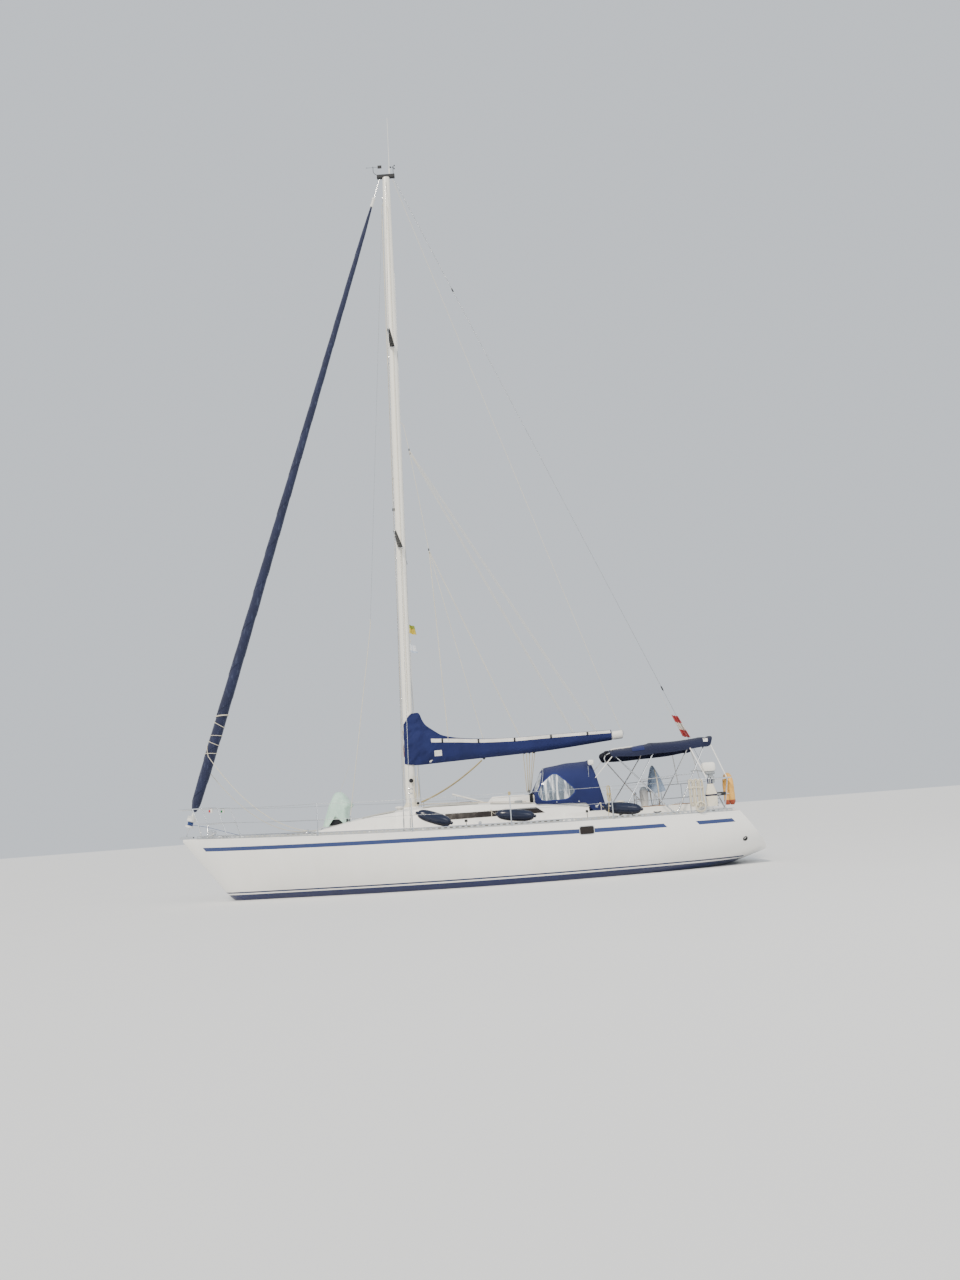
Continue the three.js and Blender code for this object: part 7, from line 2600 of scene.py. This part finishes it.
class AddSternGear(bpy.types.Operator):
    """Adds the lifebuoy, the outboard motor on its bracket and the rescue bag."""

    bl_idname = "sloop.stern_gear"
    bl_label = "Gear on the stern rail"

    def execute(self, context):
        self.add_lifebuoy()
        self.add_outboard()
        self.add_rescue_bag()
        return {"FINISHED"}

    def add_lifebuoy(self):
        """A horseshoe of covered foam that hangs outside the stern rail on two pairs of hooks."""
        x = PUSHPIT["stern_x"] - TUBE - 0.069
        y, middle_z, tube, reach = (BUOY[key] for key in ("y", "z", "tube", "reach"))
        arc = [(x, y + reach * math.cos(a), middle_z + reach * math.sin(a)) for a in spaced(19, 0, math.pi)]
        port_leg = [(x, y + reach * 0.92, BUOY["low"]), (x, y + reach, BUOY["straight"])]
        other_leg = [(x, y - reach, BUOY["straight"]), (x, y - reach * 0.92, BUOY["low"])]
        count = 60
        path = evenly([*port_leg, *arc, *other_leg], count)
        radii = []
        for i in range(count):
            t = min(i, count - 1 - i) / (count - 1)
            radii.append(tube * (0.62 + 0.38 * lap(t / 0.04)) * (1 - 0.02 * math.cos(i * 1.1)))
        buoy = Shape().tube(path, radii, 24)
        buoy.piece("covered_lifebuoy", "buoy", replaces=["lifebuoy"], sharp=60)
        holder = Shape()
        for z in (PUSHPIT["low_z"], PUSHPIT["top_z"] - 0.003):
            for across in (y - 0.12, y + 0.12):
                holder.tube([(PUSHPIT["stern_x"] + 0.004, across, z), (x - 0.02, across, z)], 0.006, 10)
        holder.piece("lifebuoy_holder", "steel")

    def add_outboard(self):
        x, y = OUTBOARD["x"], OUTBOARD["y"]
        rings = []
        for z, long, wide in COWL:
            reach, half = OUTBOARD["half_length"] * long, OUTBOARD["half_width"] * wide
            outline = rounded_box(x - reach, x + reach, y - half, y + half, 0.055 * wide, 7)
            rings.append([(a, b, z) for a, b in outline])
        motor = Shape().loft(rings).piece("outboard_cowl", "white_plastic", sharp=50)
        leg = Shape()
        leg.block((x - 0.11, y - 0.052, 1.83), (x + 0.09, y + 0.052, 1.902), 0.02)
        rings = []
        for z, s in OUTBOARD_LEG:
            outline = rounded_box(x - 0.062 * s, x + 0.022 * s, y - 0.036 * s, y + 0.036 * s, 0.03 * s, 5)
            rings.append([(a, b, z) for a, b in outline])
        leg.loft(rings)
        leg.loft([level_box(z, x - 0.155, x + 0.055, y - 0.008, y + 0.008, 0.006, 3)
                  for z in (1.335, 1.347)])
        leg.lathe(TURNED["gear_case"], (x - 0.10, y, 1.262), (1, 0, 0), 20)
        leg.plate([(x - 0.055, 1.24), (x + 0.015, 1.24), (x - 0.005, 1.202), (x - 0.05, 1.202)], "y",
                  y - 0.006, y + 0.006)
        for a in spaced(4, 0, math.tau)[:-1]:
            blade = [(x - 0.11, y + 0.02 * math.cos(a), 1.262 + 0.02 * math.sin(a)),
                     (x - 0.118, y + 0.075 * math.cos(a + 0.3), 1.262 + 0.075 * math.sin(a + 0.3)),
                     (x - 0.10, y + 0.08 * math.cos(a - 0.25), 1.262 + 0.08 * math.sin(a - 0.25))]
            leg.add([*blade, *[(p[0] + 0.004, p[1], p[2]) for p in blade]],
                    [(0, 1, 2), (5, 4, 3), (0, 3, 4, 1), (1, 4, 5, 2), (2, 5, 3, 0)])
        leg.piece("outboard_leg", "grey_plastic", sharp=40)
        clamp = Shape()
        clamp.block((x - 0.05, 1.410, 1.66), (x + 0.01, 1.470, 1.80), 0.012)
        clamp.block((x - 0.07, 1.470, 1.66), (x + 0.03, 1.492, 1.79), 0.006)
        clamp.lathe(TURNED["clamp_screw"], (x - 0.02, 1.412, 1.68), (0, -1, 0), 16)
        clamp.tube(rounded_path([(x + 0.09, y, 1.90), (x + 0.24, y, 1.93), (x + 0.36, y, 1.925)],
                                0.05), 0.012, 10)
        clamp.piece("outboard_bracket", "grey_plastic", slot="black_alloy")
        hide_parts("outboard_motor")

    def add_rescue_bag(self):
        """A soft valise hung on the rail: bulging sides, a lid flap, a dark strap and its webbing loops."""
        bag = Shape()
        (x0, x1), (y0, y1), strap_z = VALISE["x"], VALISE["y"], VALISE["strap_z"]
        rings = []
        for t in spaced(31, 0, 1):
            z = between(*VALISE["z"], t)
            swell = math.sin(math.pi * t) ** 0.35 if 0 < t < 1 else 0.45
            drawn_in = 1 - 0.05 * math.exp(-((z - strap_z) / 0.03) ** 2)
            waist = drawn_in * between(1, 0.62, lap((z - strap_z) / 0.22))
            long = (x1 - x0) / 2 * between(0.80, 0.98, swell) * waist
            wide = (y1 - y0) / 2 * between(0.55, 0.96, swell) * waist
            ring = []
            for a, b in unit_circle(44):
                lump = 1 + 0.02 * noise.noise(Vector((a * 2, b * 2, t * 5)))
                ring.append(((x0 + x1) / 2 + power(a, 0.55) * lump * long,
                             (y0 + y1) / 2 + power(b, 0.55) * lump * wide, z))
            rings.append(ring)
        bag.loft(rings)
        made = bag.piece("rescue_valise", "coated", replaces=["rescue_bag"], sharp=60)
        outline = rounded_box(x0 + 0.004, x1 - 0.004, y0 + 0.002, y1 - 0.001, 0.040, 7)
        rows = [[(a, b, strap_z + up) for a, b in outline] for up in (-0.015, 0.015)]
        strap = Shape().loft(rows, caps=False)
        for x in (-4.37, -4.30):
            loop = [(x, 1.60, 1.61), (x, 1.575, 1.70), (x, 1.545, PUSHPIT["top_z"] + 0.016),
                    (x, 1.520, PUSHPIT["top_z"] + 0.010), (x, 1.535, 1.62)]
            strap.tube(smooth_path(loop, 16), 0.006, 8)
        strap.piece("valise_straps", "shade_canvas")
        frame_shape = Shape().block((-4.66, 1.395, 1.40), (-4.46, 1.455, 1.47), 0.015)
        frame_shape.piece("rail_pad", "black_plastic")


def pleats(fly, net, folds, count):
    """A plan of soft pleats: a wave that reaches only net, but whose length along the cloth is the fly's."""
    low, high = 0.0, fly
    for _ in range(30):
        depth = (low + high) / 2
        path = [Vector((net * t, depth * math.sin(math.tau * folds * t), 0)) for t in spaced(241, 0, 1)]
        if length_of(path) < fly:
            low = depth
        else:
            high = depth
    return evenly(path, count)


# Flags under the spreader: letter, pattern, height of the foot and length of the hoist
COURTESY_FLAGS = [("a", "yellow", 5.59, 0.21), ("b", "white", 5.16, 0.18)]


class AddFlags(bpy.types.Operator):
    """Adds the ensign beside the backstay and two small flags under the starboard spreader, in calm air."""

    bl_idname = "sloop.flags"
    bl_label = "Flags"

    def execute(self, context):
        direction = (BACKSTAY[1] - BACKSTAY[0]).normalized()
        beside = BACKSTAY[0] + Vector((0.10, 0.01, 0))
        on_line = lambda z: beside + direction * ((z - beside.z) / direction.z)
        halyards = Shape().tube([on_line(1.80), on_line(3.75)], 0.0025, 6)
        self.add_flag("ensign", "stern", on_line(2.72), direction, 0.52, 0.60, 0.15, 0.04, 2.5)
        top = Vector((mast_x(7.40) - 0.02, -0.70, 7.40))
        halyards.tube([top, (top.x + 0.01, -0.69, 1.75)], 0.002, 6)
        for name, tone, z, hoist in COURTESY_FLAGS:
            at = Vector((top.x + 0.004, -0.695, z))
            self.add_flag("courtesy_flag_" + name, tone, at, Vector((0, 0, 1)), hoist, 0.26, 0.15, 0.05, 1.5)
        for z in (5.90, 5.42):
            halyards.tube([(top.x, -0.695, z - 0.07), (top.x - 0.012, -0.695, z), (top.x, -0.695, z + 0.05)],
                          [0.003, 0.008, 0.003], 8)
        halyards.piece("flag_halyards", "cream_rope")
        return {"FINISHED"}

    def add_flag(self, name, pattern, foot, up, hoist, fly, net, drop, folds):
        """A flag hanging in pleats from its hoist, its fly lower than its hoist and its lower edge fuller."""
        plan = pleats(fly, net, folds, 61)
        rows_up = 17
        grid = []
        for i, place in enumerate(plan):
            u = i / (len(plan) - 1)
            line = []
            for v in spaced(rows_up, 0, 1):
                fuller = 1.12 - 0.24 * v
                sway = 0.012 * math.sin(5 * v + 4 * u) * u
                line.append(foot + up * hoist * v
                            + Vector((-place.x * fuller, place.y * fuller + sway, -drop * u)))
            grid.append(line)
        cloth = panel(grid).piece(name, pattern + "_flag", sharp=80, outward=False)
        band = cloth.data.attributes.new("band", "FLOAT", "POINT")
        for i in range(len(cloth.data.vertices)):
            band.data[i].value = (i % rows_up) / (rows_up - 1)


COCKPIT_WINCH = (-2.60, 1.045)
POLE = {"foot": (0.19, 0.50, 1.640), "head": (0.80, 0.50, 1.842)}


class AddCockpitGear(bpy.types.Operator):
    """Adds the hatch garage, the sliding hatch, the pedestal with its compass, the wheel and the winches."""

    bl_idname = "sloop.cockpit_gear"
    bl_label = "Cockpit and hatch gear"

    def execute(self, context):
        self.add_garage()
        self.add_pedestal()
        self.add_wheel()
        self.add_winches()
        self.add_pole()
        self.add_wheel_cloth()
        return {"FINISHED"}

    def add_garage(self):
        """The moulded box that the hatch slides into, its front sloping, and the hatch's two low rails."""
        half, low, top = 0.399, 1.505, 1.737
        garage = Shape()
        rings = []
        bend = ((0, 0.022), (0.006, 0.008), (0.02, 0))
        for y, inset in [*((in_y - half, inset) for in_y, inset in bend),
                         *((half - in_y, inset) for in_y, inset in reversed(bend))]:
            lid = top - inset * 0.5
            outline = [(0.212 - inset * 0.3, low), (0.017 - inset, lid - 0.016), (-0.014 - inset, lid),
                       (-0.688, lid), (-0.688, 1.7165), (-0.66, 1.7165), (-0.01, 1.7165), (0.188, low)]
            rings.append([(x, y, z) for x, z in outline])
        garage.loft(rings)
        for side in SIDES.values():
            y0, y1 = sorted((side * 0.3745, side * 0.3995))
            garage.block((-1.558, y0, low), (0.01, y1, 1.7155), 0.007)
            garage.block((-0.66, y0, 1.70), (-0.01, y1, 1.7195), 0.004)
            garage.plate([(0.0, low), (0.200, low), (0.015, 1.712), (0.0, 1.712)], "y", y0, y1)
        garage.piece("garage_moulding", "satin", replaces=["hatch_garage"], sharp=35)
        hoop = [(-1.50, -0.13, 1.705), (-1.50, -0.13, 1.745), (-1.50, 0.13, 1.745), (-1.50, 0.13, 1.705)]
        grip = Shape().tube(rounded_path(hoop, 0.02), 0.008, 10)
        grip.piece("hatch_handle", "steel", body="sliding_hatch")

    def add_pedestal(self):
        x, floor = -3.25, COCKPIT["well_z"] + 0.002
        column_shape = Shape().lathe(TURNED["pedestal"], (x, 0, floor), sides=40)
        column_shape.piece("pedestal_column", "satin", replaces=["pedestal"], sharp=40)
        compass = Shape().lathe(TURNED["compass"], (x, 0, floor), sides=40)
        compass.piece("compass", "glass_plastic", slot="dark_acrylic")
        guard = Shape()
        hoop = [(x + 0.20, -0.15, floor), (x + 0.19, -0.15, 1.60), (x + 0.19, 0.15, 1.60),
                (x + 0.20, 0.15, floor)]
        guard.tube(rounded_path(hoop, 0.09, 7), 0.0125, 12)
        for y in (-0.15, 0.15):
            guard.tube([(x + 0.19, y, 1.45), (x + 0.06, y * 0.5, 1.45)], 0.008, 10)
        guard.tube([(x + 0.02, 0.088, 1.43), (x + 0.03, 0.112, 1.43), (x + 0.06, 0.118, 1.56)], 0.007, 10)
        guard.piece("pedestal_guard", "steel")
        tray = Shape().block((x + 0.12, -0.14, 1.02), (x + 0.46, 0.14, 1.05), 0.012)
        tray.block((x + 0.18, -0.02, floor), (x + 0.22, 0.02, 1.03), 0.008)
        tray.piece("cockpit_table", "teak")

    def add_wheel(self):
        centre = Vector((WHEEL["x"], 0, WHEEL["z"]))

        def at(angle, inside=0.0):
            reach = WHEEL["radius"] - inside
            return centre + Vector((0, reach * math.cos(angle), reach * math.sin(angle)))

        metal = Shape().tube([at(a) for a in spaced(97, 0, math.tau)], 0.0125, 14, caps=False)
        for a in spaced(9, 0, math.tau)[:-1]:
            metal.tube([centre, at(a, 0.008)], [0.0058, 0.0048], 10)
        metal.lathe(TURNED["wheel_hub"], centre, (1, 0, 0), 32)
        metal.piece("wheel_rim", "steel", body="wheel", replaces=["steering_wheel"], sharp=50)
        count, beyond = 73, 0.35
        radii = [0.0138 + 0.0007 * math.sin(i * 2.1) for i in range(count)]
        grip = Shape().tube([at(a) for a in spaced(count, -beyond, math.pi + beyond)], radii, 14)
        grip.piece("wheel_leather", "coated", body="wheel")

    def add_winches(self):
        x, y = COCKPIT_WINCH
        for name, side in SIDES.items():
            foot = (x, side * y, COAMING_Z + 0.001)
            winch = winch_form(foot, 1.0).piece("self_tailing_" + name, "steel", sharp=30)
            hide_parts("winch_" + name)
        rows = []
        for t in spaced(14, 0, 1):
            radius = 0.083 * (1 - t ** 6) ** 0.5 if t < 1 else 0.004
            z = COAMING_Z + 0.035 + 0.132 * math.sin(t * math.pi / 2)
            row = []
            for i, (c, s) in enumerate([*unit_circle(36), (1, 0)]):
                reach = radius * (1 + 0.03 * math.sin(7 * i))
                row.append((x + reach * c, y + reach * s, z))
            rows.append(row)
        cap = panel(rows).piece("winch_cap", "coated", sharp=70)

    def add_pole(self):
        """A short white awning pole, aslant, its foot on the garage's front and its head on a rope clip."""
        foot, head = Vector(POLE["foot"]), Vector(POLE["head"])
        pole = Shape().tube([foot, head], 0.017, 16)
        pole.lathe(TURNED["pole_clip"], head, head - foot, 16)
        pole.piece("awning_pole", "enamel")
        prop = Shape().tube([(0.74, 0.50, 1.815), (0.74, 0.50, roof_top(0.74, 0.50) - 0.005)], 0.006, 8)
        prop.piece("pole_prop", "steel")

    def add_wheel_cloth(self):
        """A faded cloth hung over the top of the wheel, its after half standing off in soft folds."""
        rim, x = WHEEL["radius"] + 0.022, WHEEL["x"]
        rows = []
        for u in [*spaced(31, -1, 1), 1.03, 1.06, 1.08, 1.09]:
            y = 0.30 * u
            drawn_in = 1 - lap((u - 0.97) / 0.12)
            top = WHEEL["z"] + math.sqrt(rim ** 2 - y ** 2)
            fold = 0.016 * math.sin(u * 11) + 0.010 * math.sin(u * 23 + 1)
            profile = [(x + 0.10 + fold, top - 0.50), (x + 0.065 + fold * 0.7, top - 0.25),
                       (x + 0.028, top - 0.06), (x, top), (x - 0.034, top - 0.05),
                       (x - 0.11 + fold * 0.8, top - 0.25), (x - 0.18 + fold, top - 0.48)]
            middle = x - 0.03
            hung = [(middle + (a - middle) * drawn_in, y + 0.06 * abs(top - b), b) for a, b in profile]
            rows.append(smooth_path(hung, 33))
        cloth = panel(rows).piece("wheel_cloth", "grey_canvas", sharp=70)


PARTS = [
    SetStage, AddGenoaSheets, AddMooringRopes, AddHull, AddUnderbody, AddCockpit, AddDeck, AddRails,
    AddMast, AddStandingRigging, AddForesail, AddBoom, AddSailCover, AddDodger, AddBimini,
    AddWindScoop, AddFenders, AddSternGear, AddFlags, AddCockpitGear,
]


class ShowSloop(bpy.types.Panel):
    """Lists the operators that build the yacht, in their order."""

    bl_idname = "VIEW3D_PT_sloop"
    bl_label = "Cruising sloop"
    bl_space_type = "VIEW_3D"
    bl_region_type = "UI"
    bl_category = "Sloop"

    def draw(self, context):
        for group in (context.scene.sloop_sizes, context.scene.sloop_colours):
            for name in group.__annotations__:
                self.layout.prop(group, name)
        for part in PARTS:
            self.layout.operator(part.bl_idname)


CLASSES = [SloopColours, SloopSizes, *PARTS, ShowSloop]


def register():
    for part in CLASSES:
        bpy.utils.register_class(part)
    bpy.types.Scene.sloop_colours = bpy.props.PointerProperty(type=SloopColours)
    bpy.types.Scene.sloop_sizes = bpy.props.PointerProperty(type=SloopSizes)


def unregister():
    del bpy.types.Scene.sloop_sizes
    del bpy.types.Scene.sloop_colours
    for part in reversed(CLASSES):
        bpy.utils.unregister_class(part)


def main():
    register()
    for part in PARTS:
        group, name = part.bl_idname.split(".")
        getattr(getattr(bpy.ops, group), name)()


if __name__ == "__main__":
    main()
